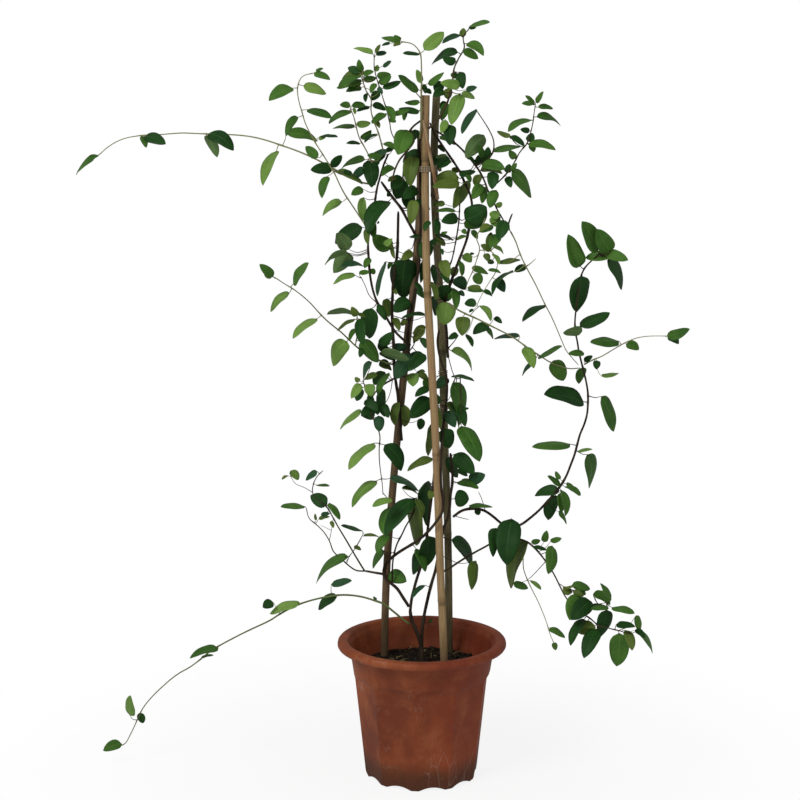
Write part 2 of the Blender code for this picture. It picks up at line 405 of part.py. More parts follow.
                        (-1.0, 70.0, 0.9), (-0.7, 72.0), (-0.45, 74.0, 0.8), (-0.7, 75.5), (-0.5, 77.0),
                        (-0.25, 79.0, 0.3), (-0.35, 81.5), (-0.3, 84.0, -0.1), (-0.4, 86.8),
                        (-0.35, 88.6), (-0.55, 90.0, -0.4),
                        (-0.3, 91.4), (0.0, 92.8, -0.2)]),
            (1.6, 1.0, [(-0.4, 61.4, 0.4), (-0.8, 62.2), (-1.2, 63.0), (-1.9, 64.1, 0.2)]),
        ],
        "bark": "old",
        "leaves": [
            (0.6, 76.9, 0.1, 74.2, 2.1, "dark", -2.6), (1.0, 76.4, 1.9, 77.1, 0.8, "dark", -2.4),
            (1.0, 79.6, 0.2, 78.2, 0.8, "dark", -2.6), (-0.1, 89.0, -2.8, 87.6, 1.5, "dark", -0.8),
            (-1.2, 88.6, -1.7, 84.4, 2.2, "olive", -0.6), (-0.6, 92.0, -1.7, 90.4, 1.2, "dark", -0.2),
            (-0.8, 71.2, -0.1, 69.3, 0.8, "dark"),
            (-0.6, 58.4, 0.9, 57.2, 0.9, "olive", -0.4), (0.5, 61, -1.9, 58.7, 1.7, "dark", -0.3),
            (0.4, 64.6, -1.4, 62.6, 1.2, "olive", -0.8), (-0.2, 63.4, 0.5, 61.9, 0.9, "dark", -0.5),
            (-2.2, 66, -2.9, 65, 0.8, "olive", -0.4), (-0.8, 70, 0.3, 68.9, 0.9, "dark", -0.6),
            (0.2, 74.2, -0.4, 71, 0.8, "dark", -0.8), (-0.7, 84.1, -2.6, 82.7, 1.6, "dark", 0.5),
            (0.7, 77.6, -1.9, 77.5, 0.6, "dark", -2.2),
        ],
    },
    "column_right_climber": {
        "stems": [
            (4.2, 2.8, [(3.55, 60.6, 2.2), (3.4, 62.5, 1.6), (3.35, 64.5), (3.0, 66.4, 0.8), (3.2, 68.8, 0.4),
                        (3.7, 70.3), (4.0, 71.4, 0.2), (4.35, 72.4), (4.8, 73.6), (5.1, 74.4), (5.45, 75.3),
                        (5.8, 76.3), (6.1, 77.2), (6.3, 78.3, 0.4), (6.6, 79.6), (6.8, 81.2), (6.55, 83.0),
                        (5.9, 84.5, 0.2), (5.3, 85.7), (4.9, 86.8), (4.1, 87.8), (3.5, 88.7), (2.8, 89.7),
                        (2.0, 90.9), (1.3, 92.1), (0.95, 93.0, 0.2)]),
            (2.0, 1.6, [(2.95, 71.1, -0.9), (3.3, 71.9), (3.6, 72.9), (4.0, 74.1), (4.35, 75.7),
                        (4.6, 77.0), (4.75, 78.0),
                        (4.95, 79.4, -0.9), (5.05, 81.0), (5.1, 82.6), (5.3, 84.2, -0.5)]),
            (1.5, 1.0, [(5.15, 86.4, 0.2), (5.5, 86.7), (6.1, 86.6), (6.8, 86.75), (7.2, 87.2),
                        (7.1, 88.0, -0.4)]),
        ],
        "bark": "old",
        "leaves": [
            (5.7, 79.8, 8.7, 81.5, 3.1, "dark", -0.8), (5.6, 79.3, 8.2, 78.9, 1.8, "mid", -0.3),
            (4.9, 80.0, 2.6, 79.5, 1.6, "dark", -0.2), (4.6, 80.9, 1.8, 81.0, 0.6, "mid", -0.6),
            (5.2, 84.4, 4.3, 81.3, 1.3, "olive", 0.6), (3.1, 81.9, 1.3, 81.8, 0.8, "olive"),
            (2.0, 80.0, 1.9, 77.7, 1.0, "dark"), (1.7, 77.6, 4.3, 77.0, 0.5, "dark", -0.6),
            (2.5, 77.8, 3.4, 78.1, 0.5, "mid"), (1.6, 77.2, 3.2, 76.2, 1.0, "olive"),
            (2.7, 74.2, 3.6, 71.7, 1.6, "olive", 0.3), (4.6, 73.3, 4.1, 71.8, 1.1, "olive", 0.6),
            (5.4, 78.4, 6.0, 77.8, 0.7, "mid"), (6.7, 78.3, 7.6, 77.1, 0.8, "mid"),
            (6.1, 77.6, 4.7, 77.0, 0.5, "fresh"), (4.3, 71.6, 6.0, 70.1, 1.7, "blue", -0.6),
            (5.0, 69.9, 5.8, 69.2, 0.7, "blue", -0.6), (3.3, 70.8, 3.0, 68.4, 1.9, "dark", -1.0),
            (4.4, 70.3, 4.7, 67.4, 1.2, "mid", -0.3), (5.5, 74.9, 6.8, 73.9, 1.2, "fresh"),
            (5.2, 74.1, 5.5, 72.0, 0.8, "mid"), (4.0, 87.7, -0.4, 86.7, 1.7, "dark", -2.2),
            (3.3, 88.5, 1.7, 88.3, 0.6, "under", -1.0), (5.0, 85.6, 1.3, 84.6, 2.2, "olive", -2.2),
            (4.9, 86.0, 7.2, 86.4, 0.9, "dark", -0.8), (5.0, 86.4, 3.9, 86.7, 0.8, "olive", 0.4),
            (2.5, 75.8, 2.8, 74.9, 0.5, "dark"),
            (1.3, 73.6, 1.9, 70.8, 0.9, "dark", -1.2), (1.2, 71.2, 1.9, 68.6, 0.9, "olive", -1.4),
            (1.3, 69.2, 1.9, 66.4, 0.9, "dark", -1.6), (2.6, 72.5, 3.6, 70.9, 1, "dark", -0.7),
            (4.3, 70.2, 3.4, 68.4, 1, "mid", -0.5), (6.2, 70.3, 8.4, 69.9, 0.8, "mid", -0.4),
            (8.4, 69.9, 9.7, 69.2, 0.6, "dark"), (2.3, 91.2, 4.4, 90.1, 1, "mid", 0.4),
            (2.1, 90, 3, 89, 0.8, "dark", -0.6), (5.1, 84.9, 1.4, 84.3, 1.5, "olive", -1.6),
            (6.1, 85.2, 5, 81.8, 1.4, "olive", -0.6),
        ],
    },
    "right_hand_arch": {
        "stems": [
            (3.0, 1.6, [(1.7, 91.95, -0.9), (2.7, 91.3), (3.5, 90.9), (4.2, 90.4), (4.9, 89.7),
                        (5.6, 89.1), (6.3, 88.3), (7.0, 87.4, -1.6),
                        (7.9, 86.2), (8.5, 84.9), (9.0, 83.6), (9.4, 82.8, -2.4), (9.9, 81.9),
                        (10.3, 81.0), (10.9, 80.0), (11.5, 79.0),
                        (11.9, 78.3, -3.2)]),
            (2.6, 2.2, [(11.75, 78.9, -3.1), (11.9, 79.6), (12.3, 80.6, -3.1)]),
        ],
        "bark": "old",
        "leaves": [
            (8.3, 88.2, 7.5, 90.0, 0.9, "mid"), (8.9, 88.5, 7.1, 87.1, 1.3, "dark", -0.5),
            (8.0, 87.4, 11.2, 86.7, 1.6, "mid", -0.2), (8.0, 86.7, 10.9, 86.1, 0.9, "olive", -0.7),
            (6.0, 88.3, 7.1, 87.7, 0.5, "dark"), (7.8, 86.0, 7.2, 84.3, 1.2, "olive", -0.3),
            (9.6, 86.4, 9.5, 84.0, 1.7, "dark", 0.4), (6.0, 86.0, 6.6, 84.9, 0.7, "mid"),
            (10.1, 83.9, 9.2, 81.4, 1.5, "mid", -0.2), (10.0, 81.6, 10.9, 82.1, 0.8, "fresh"),
            (8.6, 84.3, 8.1, 82.0, 1.1, "mid", 0.6), (9.3, 79.2, 10.6, 80.2, 1.5, "fresh", -0.5),
            (8.4, 91.4, 5.8, 88.2, 2.2, "under", -1.6),
            (10.6, 80.3, 9.1, 80.6, 1.2, "fresh", -0.4), (8.2, 84.6, 6.8, 82.6, 1.6, "mid", 0.4),
        ],
    },
    "right_cluster": {
        "stems": [
            (1.6, 1.2, [(8.6, 80.0, -2.6), (8.3, 79.0, -3.2), (7.6, 78.0), (7.4, 77.2), (7.8, 76.2),
                        (7.8, 75.2), (7.5, 74.4),
                        (7.2, 73.5), (6.9, 72.6), (6.5, 71.8), (6.25, 71.2, -2.2), (6.0, 70.3, -1.4)]),
            (1.3, 0.9, [(7.8, 75.6, -3.0), (8.6, 75.7), (9.3, 75.5), (9.9, 74.6), (10.4, 73.8),
                        (10.2, 73.0), (9.8, 71.8), (9.3, 71.3),
                        (9.0, 70.6), (8.6, 70.0), (8.0, 69.3), (7.7, 68.4, -3.0)]),
        ],
        "bark": "pale",
        "leaves": [
            (9.4, 79.0, 7.8, 78.1, 0.8, "olive"), (9.3, 75.8, 9.4, 78.1, 1.2, "olive"),
            (9.5, 75.6, 8.0, 76.3, 1.0, "olive"), (9.7, 76.0, 11.2, 75.1, 0.5, "fresh"),
            (8.5, 75.1, 9.1, 74.0, 0.9, "olive"), (8.9, 74.0, 9.9, 73.8, 0.7, "dark"),
            (9.6, 75.1, 10.6, 73.6, 0.6, "fresh"), (6.7, 73.1, 9.1, 72.3, 0.9, "mid"),
            (9.0, 72.9, 10.8, 72.4, 0.5, "mid"), (7.3, 72.4, 8.0, 70.8, 1.5, "mid"),
            (10.0, 71.6, 11.3, 69.8, 1.4, "blue"), (8.1, 70.3, 6.2, 70.4, 0.7, "olive"),
            (8.4, 70.0, 9.6, 69.3, 0.6, "dark"), (7.1, 67.3, 6.4, 66.9, 0.4, "dark"),
            (6.5, 75.1, 7.1, 75.1, 0.4, "dark"),
            (9.8, 78.8, 7.8, 78.1, 0.9, "mid", 0.4), (10.6, 77.6, 9.2, 75.9, 1.4, "mid", 0.4),
        ],
    },
    "left_hand_drops": {
        "stems": [
            (2.8, 2.2, [(-0.25, 93.3, -1.3), (-0.8, 92.9), (-1.5, 92.3), (-1.95, 91.9, -1.5),
                        (-2.1, 91.0), (-2.2, 90.0),
                        (-2.35, 88.7), (-2.5, 87.5), (-2.7, 86.0), (-2.75, 85.0, -1.4)]),
            (3.2, 2.4, [(-1.9, 92.0, -1.5), (-1.4, 91.3, -1.9), (-1.2, 90.5), (-1.6, 89.8, -2.2),
                        (-2.2, 89.1), (-2.8, 88.4),
                        (-3.4, 87.6), (-3.8, 86.6), (-4.1, 85.7), (-4.2, 84.9, -2.0)]),
            (1.6, 1.2, [(-2.2, 90.1, -1.5), (-3.0, 90.3), (-3.8, 90.6, -2.3), (-4.2, 91.4), (-4.45, 92.7),
                        (-4.7, 93.8), (-5.0, 95.0, -3.2), (-5.4, 96.2),
                        (-5.7, 97.2), (-6.0, 98.1), (-6.35, 99.2), (-6.6, 100.1, -3.6), (-6.55, 101.0),
                        (-6.6, 102.0, -3.8)]),
        ],
        "bark": "twig",
        "leaves": [
            (-2.2, 92.1, -3.4, 88.7, 2.6, "mid", -0.8), (-4.7, 93.4, -3.6, 93.1, 0.7, "mid"),
            (-5.0, 95.3, -3.9, 93.1, 1.1, "mid", -0.2), (-5.5, 97.6, -3.0, 98.6, 0.95, "dark"),
            (-6.1, 98.4, -4.3, 99.3, 1.0, "mid", 0.5), (-6.5, 99.9, -6.1, 100.8, 0.7, "fresh"),
            (-5.5, 100.6, -4.3, 101.3, 0.6, "blue"), (-6.7, 102.2, -9.4, 103.1, 0.7, "fresh"),
            (-6.5, 102.4, -5.8, 103.5, 0.55, "olive"), (-6.4, 102.1, -4.9, 102.5, 0.7, "blue"),
            (-6.1, 97.8, -5.5, 96.9, 0.7, "blue"), (-4.0, 94.0, -1.8, 94.8, 0.7, "mid", -0.6),
        ],
    },
    "left_top_twigs": {
        "stems": [
            (2.0, 1.3, [(-5.35, 88.9, -0.8), (-5.6, 90.0, -1.0), (-5.9, 91.1), (-6.15, 91.9),
                        (-6.6, 93.0, -1.6), (-6.9, 94.0),
                        (-7.1, 95.0), (-7.0, 95.9, -2.0), (-7.2, 96.6), (-7.7, 97.3), (-8.0, 98.0),
                        (-8.2, 98.8, -2.6)]),
        ],
        "bark": "pale",
        "leaves": [
            (-7.2, 95.2, -9.0, 94.6, 0.6, "dark"), (-6.9, 95.4, -5.0, 94.7, 0.95, "dark"),
            (-7.7, 97.0, -7.8, 95.8, 0.6, "dark"), (-5.9, 97.2, -7.0, 96.0, 1.1, "dark", -0.6),
            (-6.3, 98.3, -7.1, 97.0, 0.8, "mid", -0.8), (-7.0, 92.9, -4.9, 94.3, 0.8, "mid"),
            (-6.4, 93.2, -5.9, 92.3, 0.6, "olive"), (-8.5, 90.8, -7.0, 92.0, 0.9, "mid", 0.4),
            (-6.2, 91.5, -8.0, 90.4, 0.5, "dark"), (-7.8, 99.7, -11.0, 99.0, 1.2, "olive"),
            (-7.9, 99.2, -11.5, 97.8, 0.9, "mid"), (-8.5, 99.8, -10.2, 100.4, 1.1, "dark", 0.5),
            (-8.2, 99.9, -8.7, 101.5, 0.9, "mid"), (-8.3, 98.3, -10.5, 97.4, 0.7, "olive"),
            (-8.1, 99.5, -6.7, 99.9, 0.8, "mid"), (-8.1, 98.8, -6.3, 99.0, 0.9, "mid", 0.5),
            (-5.4, 90.2, -3.6, 89.4, 0.8, "mid", 0.4),
            (-8.2, 98.6, -11.8, 97.9, 1, "mid", -0.3), (-8.3, 97.8, -10.4, 97.3, 0.9, "mid", 0.4),
            (-6.3, 99.3, -4.3, 99.5, 1, "mid", 0.5), (-5, 94.2, -6.9, 93, 0.9, "mid", -0.3),
        ],
    },
    "left_low_crown_shoot": {
        "stems": [
            (2.2, 1.2, [(-6.25, 85.8, -0.4), (-6.6, 86.7, -0.8), (-6.95, 87.7), (-7.3, 88.4),
                        (-7.9, 89.6), (-8.4, 90.3), (-8.9, 91.7, -1.4),
                        (-9.1, 92.6), (-9.4, 93.8), (-9.9, 95.0, -2.0)]),
        ],
        "bark": "pale",
        "leaves": [
            (-8.5, 90.2, -10.4, 90.3, 0.5, "dark"), (-9.2, 92.4, -12.3, 92.4, 0.6, "mid"),
            (-9.8, 94.7, -12.8, 92.9, 0.9, "mid"), (-9.8, 95.3, -11.3, 95.4, 0.9, "mid", 0.4),
            (-9.7, 95.4, -7.8, 95.3, 0.9, "mid", 0.5), (-9.1, 92.7, -7.1, 93.0, 1.0, "fresh"),
            (-5.6, 88.5, -7.5, 88.6, 0.9, "mid", -0.6), (-4.8, 89.1, -6.9, 88.8, 0.8, "blue"),
            (-6.0, 88.0, -6.7, 87.0, 0.8, "dark", 0.4), (-7.8, 88, -11.2, 86.9, 0.9, "mid"),
            (-7.5, 88, -7, 84.3, 2.2, "dark", 0.6), (-7.9, 86.9, -9.6, 85.3, 1.2, "blue", -0.5),
            (-9.7, 85.9, -10.8, 86.5, 0.9, "dark"), (-9.4, 95.0, -9.2, 94.1, 0.5, "fresh"),
        ],
    },
    "left_upper_runner": {
        "stems": [
            (2.6, 1.3, [(-6.45, 84.6, 0.2), (-7.6, 84.7), (-9.0, 85.1), (-11.0, 86.0), (-12.6, 87.0),
                        (-14.5, 88), (-16.7, 89.0),
                        (-19.2, 89.9, 1.0), (-22, 90.8), (-25, 91.3), (-30, 91.5), (-33, 91.6), (-35.5, 91.4),
                        (-38, 91.3), (-40.5, 90.9), (-42.5, 90), (-44.2, 88.6, 2.5)]),
        ],
        "bark": "pale",
        "leaves": [
            (-44.2, 88.6, -46.1, 87.2, 0.8, "mid"), (-44.6, 88.5, -47.5, 86.0, 0.6, "mid", 0.5),
            (-38.0, 91.2, -35.1, 90.2, 1.6, "dark"), (-38.4, 91.2, -37.7, 89.6, 0.9, "mid"),
            (-29.3, 91.6, -25.8, 89.3, 1.9, "dark"), (-29.5, 91.4, -28.0, 88.4, 1.5, "under"),
            (-19.9, 89.3, -21.9, 84.5, 1.5, "fresh"), (-18.6, 91.5, -14.3, 90.6, 1.4, "mid"),
            (-12.2, 86.9, -15.3, 86.6, 1.6, "dark"), (-12.5, 87.0, -11.0, 88.6, 1.2, "dark"),
            (-12.2, 86.4, -8.2, 84.9, 0.6, "olive", -0.4),
            (-11.9, 86.3, -8.7, 85, 0.8, "fresh", 0.5),
        ],
    },
    "left_top_shoot": {
        "stems": [
            (2.0, 1.2, [(-7.45, 78.3, -0.8), (-8.0, 79.2), (-8.6, 80.1, -1.0), (-9.5, 81.5),
                        (-10.1, 82.4), (-11.1, 84.0), (-11.9, 85.8, -2.4),
                        (-13.2, 88), (-14.6, 90.2), (-15.9, 92.7), (-16.3, 94, -3.4), (-16.9, 96.2),
                        (-17.0, 97.8),
                        (-16.8, 98.7), (-16.2, 99.3), (-14.8, 99.7, -3.8)]),
        ],
        "bark": "pale",
        "leaves": [
            (-14.8, 99.7, -12.6, 98.9, 0.9, "mid"), (-14.5, 99.9, -13.5, 100.4, 0.4, "mid"),
            (-17.6, 97.7, -20.9, 96.1, 1.6, "mid"), (-16.3, 98, -13.1, 96.9, 1.3, "fresh"),
            (-15.8, 94.8, -12.4, 93.7, 1.1, "mid"), (-16.9, 93.8, -18.7, 91.2, 1.1, "mid"),
            (-14.0, 91.2, -11.6, 91.1, 0.4, "dark"), (-14.3, 88.2, -16, 89.8, 1.3, "mid", 0.6),
            (-13, 85.8, -13.9, 82.8, 1.2, "mid"), (-11, 82.25, -13.8, 80.35, 1.1, "fresh"),
            (-14.2, 90.8, -13.2, 91.1, 0.5, "fresh"),
        ],
    },
    "left_mid_shoot": {
        "stems": [
            (2.6, 1.2, [(-4.15, 59.6, 0.6), (-5.2, 59.9), (-6.3, 60.3, -0.6), (-7.4, 60.9), (-8.2, 61.4),
                        (-9.5, 62.4), (-11, 63.9),
                        (-12.7, 65.3), (-14, 66.5, -2.5), (-15.2, 67.9), (-16.7, 69.3), (-17.6, 70),
                        (-18.6, 70.6),
                        (-20.4, 71.8, -4.0)]),
            (1.5, 1.0, [(-9.3, 62.4, -1.1), (-9.05, 63.4), (-9.1, 64.8), (-9.1, 66.1), (-9.0, 66.9, -1.8)]),
        ],
        "bark": "green",
        "leaves": [
            (-20.5, 71.9, -22.4, 73.6, 1.3, "mid"), (-20.7, 71.9, -21.9, 72.3, 0.8, "olive", -0.3),
            (-17.9, 70.8, -15.7, 73.8, 1.2, "mid"), (-18.3, 69.7, -21.2, 67.1, 1.1, "fresh"),
            (-14.5, 66.1, -18.0, 63.3, 1.1, "fresh"), (-10.4, 62.9, -12.6, 59.3, 2.2, "fresh"),
            (-8.9, 66.1, -8.4, 62.5, 1.5, "dark"), (-8.6, 63.0, -6.1, 59.9, 2.0, "mid", -0.4),
            (-8.4, 62.0, -8.7, 60.6, 0.8, "dark", 0.4), (-9.3, 66.8, -13.2, 66.7, 0.8, "under"),
            (-9.0, 66.4, -9.8, 67.7, 1.1, "olive"), (-9.2, 66.0, -11.9, 64.4, 0.5, "olive"),
            (-9.1, 64.7, -10.1, 63.0, 0.7, "mid"), (-9.0, 66.6, -7.7, 66.2, 0.5, "olive"),
        ],
    },
    "left_hanging_shoot": {
        "stems": [
            (2.4, 1.0, [(-3.95, 57.6, 0.9), (-4.7, 57.2), (-5.6, 56.6), (-6.6, 55.6, -0.4), (-7.2, 54.4),
                        (-7.2, 53.0),
                        (-6.8, 51.7), (-6.3, 50.8), (-6.0, 50.0), (-5.9, 49.0), (-6.0, 48.0, -1.0),
                        (-6.05, 47.0),
                        (-6.0, 46.0), (-5.9, 44.8), (-5.7, 43.5), (-5.6, 42.5), (-5.5, 41.0, -1.6)]),
            (1.6, 1.0, [(-7.2, 54.2, -0.6), (-7.6, 55.4), (-8.0, 56.4), (-8.3, 57.4, -1.4)]),
            (1.2, 0.9, [(-4.0, 57.2, 0.8), (-4.5, 55.6), (-5.1, 54.0), (-5.6, 53.6, -0.2)]),
        ],
        "bark": "twig",
        "leaves": [
            (-6.3, 43.1, -10.0, 39.4, 1.3, "fresh"), (-4.6, 43.4, -0.5, 41.6, 0.95, "blue", 0.3),
            (-6.7, 48.5, -10.4, 44.8, 1.4, "fresh"), (-5.3, 48.3, -2.8, 44.4, 2.3, "dark"),
            (-4.1, 40.4, -7.0, 39.4, 1.0, "fresh"), (-7.0, 60.0, -8.3, 57.3, 0.8, "blue", 0.6),
            (-6.3, 58.4, -8.0, 57.5, 0.9, "fresh"), (-5.2, 58.6, -6.8, 56.7, 1.6, "dark", 0.4),
            (-4.6, 58.5, -6.3, 55.4, 1.0, "mid", 0.6), (-8.7, 57.2, -9.4, 57.8, 0.7, "olive"),
            (-8.6, 56.9, -9.9, 54.8, 1.3, "fresh"), (-8.5, 56.3, -9.2, 54.4, 1.3, "dark", -0.5),
            (-7.4, 56.9, -7.1, 55.1, 1.6, "fresh", -0.4), (-8.4, 53.0, -11.6, 50.5, 0.8, "fresh"),
            (-7.0, 53.6, -8.5, 52.3, 1.2, "dark"), (-7.0, 53.2, -7.2, 51.7, 1.0, "dark", 0.4),
            (-6.1, 52.4, -6.0, 50.1, 1.5, "blue", -0.4), (-5.5, 56.2, -5.5, 53.9, 1.1, "mid"),
            (-5.8, 54.1, -4.7, 52.1, 1.3, "dark", -0.4), (-7.6, 55.2, -6.9, 53.8, 0.9, "dark"),
            (-5.6, 56.2, -5.3, 52.2, 1.3, "dark", 0.6), (-6.8, 54.5, -6.2, 52.4, 1.2, "dark", -0.4),
            (-8.1, 54.5, -6.2, 53, 1.4, "dark", 0.5), (-8.6, 52.8, -6.9, 51.8, 1, "dark", 0.3),
        ],
    },
    "top_centre_shoot": {
        "stems": [
            (2.6, 1.4, [(-0.42, 90.8, -1.5), (-0.3, 92.0, -1.9), (-0.25, 94.0), (-0.25, 96.0, -1.9),
                        (-0.2, 98), (-0.2, 100),
                        (-0.25, 101.5), (-0.35, 102.2, -1.4), (-0.6, 102.9), (-1.3, 103.5), (-2.2, 103.8),
                        (-2.9, 103.9, -0.4)]),
            (1.8, 1.2, [(-0.4, 96.2, -2.0), (-0.8, 96.9), (-1.2, 97.4, -2.3)]),
        ],
        "bark": "pale",
        "leaves": [
            (-3.0, 104.0, -3.9, 104.7, 0.9, "mid"), (-3.0, 103.8, -5.6, 104.6, 0.8, "mid"),
            (-3.0, 103.7, -4.0, 103.3, 0.6, "olive"), (-4.4, 103.7, -5.6, 103.4, 0.4, "dark"),
            (-0.4, 102.3, -2.7, 102.4, 0.55, "dark"), (0.1, 102.7, 2.8, 105.2, 1.9, "fresh"),
            (-0.5, 97.4, -3.3, 99.4, 1.2, "mid"), (-0.3, 98.3, -0.8, 100.2, 0.9, "fresh"),
            (-0.4, 94.6, -3.3, 94.9, 0.85, "dark"), (-0.4, 95.7, -2.5, 95.8, 0.7, "mid"),
            (-2.4, 94.7, -2.6, 93.3, 0.7, "mid"), (0.1, 98.2, 0.35, 96.9, 0.7, "dark"),
            (0.6, 98.2, 2.8, 99.8, 0.85, "mid"),
            (0.2, 97.4, 1.2, 96.9, 0.7, "dark"),
        ],
    },
    "top_right_shoot": {
        "stems": [
            (3.2, 1.2, [(0.75, 92.2, -2.2), (1.4, 92.7, -2.4), (2.2, 93.6, -2.6), (2.9, 94.8),
                        (3.5, 96.2), (3.9, 97.8, -2.4), (4.1, 99.4),
                        (4.25, 100.4), (4.7, 101.5), (5.1, 102.0, -1.6), (5.45, 102.7), (5.7, 103.5),
                        (5.55, 104.2), (5.45, 104.6),
                        (5.9, 105.2), (6.3, 105.7, -0.6)]),
        ],
        "bark": "twig",
        "leaves": [
            (4.5, 101.2, 2.7, 101.6, 1.2, "dark"), (4.8, 102.5, 1.1, 100.9, 1.0, "dark"),
            (5.9, 103.7, 8.2, 102.1, 1.3, "mid"), (5.4, 102.8, 7.5, 101.6, 1.2, "mid", -0.3),
            (5.3, 104.7, 2.6, 103.7, 0.75, "blue"), (5.2, 104.5, 5.5, 105.7, 0.95, "olive"),
            (6.3, 106.0, 9.0, 106.5, 0.7, "mid"), (6.2, 105.7, 7.2, 105.8, 0.5, "dark"),
            (5.1, 99.9, 5.4, 97.6, 1.4, "dark", 0.3), (4.1, 99.8, 4.4, 98.9, 0.9, "mid"),
            (5.8, 97.5, 7.3, 97.8, 0.8, "blue"), (5.2, 97.0, 7.1, 96.3, 0.9, "fresh"),
            (5.1, 97.0, 3.8, 92.8, 2.0, "fresh", -0.4), (2.7, 96.0, 2.8, 93.9, 1.0, "dark", 1.0),
            (3.6, 92.8, 3.7, 90.0, 1.8, "dark", 0.8), (2.2, 98.7, 2.0, 96.8, 1.5, "dark"),
            (5.1, 98.0, 2.4, 98.4, 1.4, "fresh", -0.5), (3.5, 97.7, 3.4, 96.1, 1.2, "olive", -0.2),
            (2.9, 97.3, 1.4, 96.6, 1.3, "dark", 0.3), (3.2, 95.8, 2.6, 93.2, 1.2, "mid", 0.4),
            (3.2, 93.4, 2.5, 91.6, 1.1, "fresh", 0.3),
        ],
    },
    "right_crown_arch": {
        "stems": [
            (2.4, 1.2, [(8.1, 86.6, -1.8), (8.5, 87.4), (9.1, 88.2), (9.6, 89.1), (9.7, 90.2),
                        (9.4, 91.3, -2.6), (8.9, 92.2),
                        (8.4, 93), (7.9, 93.8), (7.4, 94.5, -3.2)]),
        ],
        "bark": "twig",
        "leaves": [
            (7.3, 94.9, 5.3, 91.5, 1.0, "blue"), (9.6, 89.0, 13.3, 90.0, 0.9, "mid"),
            (8.9, 88.2, 8.9, 89.7, 1.0, "dark", 0.4),
            (7.8, 86.5, 10.6, 86.4, 0.9, "olive", -0.5),
        ],
    },
    "right_top_shoot": {
        "stems": [
            (2.2, 1.1, [(9.6, 84.3, -2.0), (10.4, 85.0), (11.2, 85.8), (12.0, 86.8), (12.6, 87.8, -1.2),
                        (13.1, 88.8), (13.7, 89.6),
                        (14.2, 90.2), (14.6, 91.4), (14.9, 92.6, 0.2), (15.05, 93.6), (15.2, 95.1),
                        (15.3, 95.6, 0.8)]),
        ],
        "bark": "twig",
        "leaves": [
            (15.2, 95.4, 14.0, 96.7, 0.6, "mid"), (15.1, 95.6, 13.4, 95.7, 0.7, "mid"),
            (15.3, 95.7, 16.3, 97.2, 0.7, "mid"), (15.6, 95.1, 17.7, 94.9, 0.75, "mid"),
            (14.9, 93.4, 11.6, 91.8, 1.0, "mid"), (15.4, 93.8, 18.8, 92.7, 0.85, "mid"),
            (14.6, 91.9, 13.3, 92.1, 0.8, "dark"), (14.3, 90.4, 15.0, 91.6, 1.2, "dark", 0.4),
            (14.3, 90.2, 18.1, 89.5, 1.1, "mid"), (14.6, 90.0, 15.2, 89.0, 0.9, "mid"),
            (12.7, 88.1, 11.8, 89.2, 1.0, "mid"), (11.4, 86.2, 11.9, 87.4, 1.0, "dark"),
            (12.0, 86.5, 12.8, 87.5, 0.7, "mid"), (12.1, 86.5, 14.9, 82.8, 1.6, "mid"),
            (11.5, 85.7, 12.1, 84.2, 1.1, "dark"), (12.0, 91.1, 10.1, 91.9, 0.7, "olive", -0.4),
            (11.8, 91.2, 13.9, 89.8, 0.8, "dark", -0.4),
        ],
    },
    "tan_twiner": {
        "stems": [
            (5.6, 4.6, [(2.0, 82.6, -0.5), (1.75, 84.5, -1.0), (1.5, 86.2, -1.8), (1.15, 87.8, -2.3),
                        (0.85, 89.3, -2.5), (0.55, 90.8, -2.6), (0.3, 92.2, -2.6),
                        (0.05, 93.4, -2.4)]),
        ],
        "bark": "tan",
        "leaves": [],
    },
}


def clear_scene():
    for thing in list(bpy.context.scene.objects):
        bpy.data.objects.remove(thing, do_unlink=True)


def new_collection(name):
    group = bpy.data.collections.new(name)
    bpy.context.scene.collection.children.link(group)
    return group


def material(name):
    """The plain finish of one kind of piece, made once."""
    if name in bpy.data.materials:
        return bpy.data.materials[name]
    colour, roughness = COLOURS[name]
    finish = bpy.data.materials.new(name)
    finish.use_nodes = True
    shader = finish.node_tree.nodes["Principled BSDF"]
    shader.inputs["Base Color"].default_value = (*colour, 1)
    shader.inputs["Roughness"].default_value = roughness
    shader.inputs["Metallic"].default_value = 0.0
    finish.diffuse_color = (*colour, 1)
    return finish


def add_object(name, mesh, group, finish=None):
    thing = bpy.data.objects.new(name, mesh)
    group.objects.link(thing)
    if finish:
        mesh.materials.clear()
        mesh.materials.append(material(finish))
    return thing


def settled_mesh(thing):
    """The object's mesh in world space, with its modifiers worked out."""
    bpy.context.view_layer.update()
    graph = bpy.context.evaluated_depsgraph_get()
    mesh = bpy.data.meshes.new_from_object(thing.evaluated_get(graph))
    mesh.transform(thing.matrix_world)
    return mesh


def settle(thing, finish):
    """Turns the object's modifiers into its mesh."""
    thing.data = settled_mesh(thing)
    thing.modifiers.clear()
    thing.data.materials.clear()
    thing.data.materials.append(material(finish))


def boolean(thing, operation, others):
    """Cuts a collection's solids out of an object, or joins them to it."""
    modifier = thing.modifiers.new(others.name, "BOOLEAN")
    modifier.operation = operation
    modifier.solver = "EXACT"
    modifier.operand_type = "COLLECTION"
    modifier.collection = others


def as_guide(thing):
    thing.hide_render = True
    thing.display_type = "WIRE"
    return thing


def turned(name, profile, steps, group, finish):
    """A solid turned about the pot's axis from (radius, height) points, whose outer side runs down."""
    mesh = bpy.data.meshes.new(name)
    points = [(radius, 0, height) for radius, height in profile]
    mesh.from_pydata(points, [(i, i + 1) for i in range(len(points) - 1)], [])
    thing = add_object(name, mesh, group, finish)
    screw = thing.modifiers.new("turn", "SCREW")
    screw.steps = steps
    screw.render_steps = steps
    screw.use_merge_vertices = True
    screw.merge_threshold = MERGE
    return thing


# ---- pot and compost


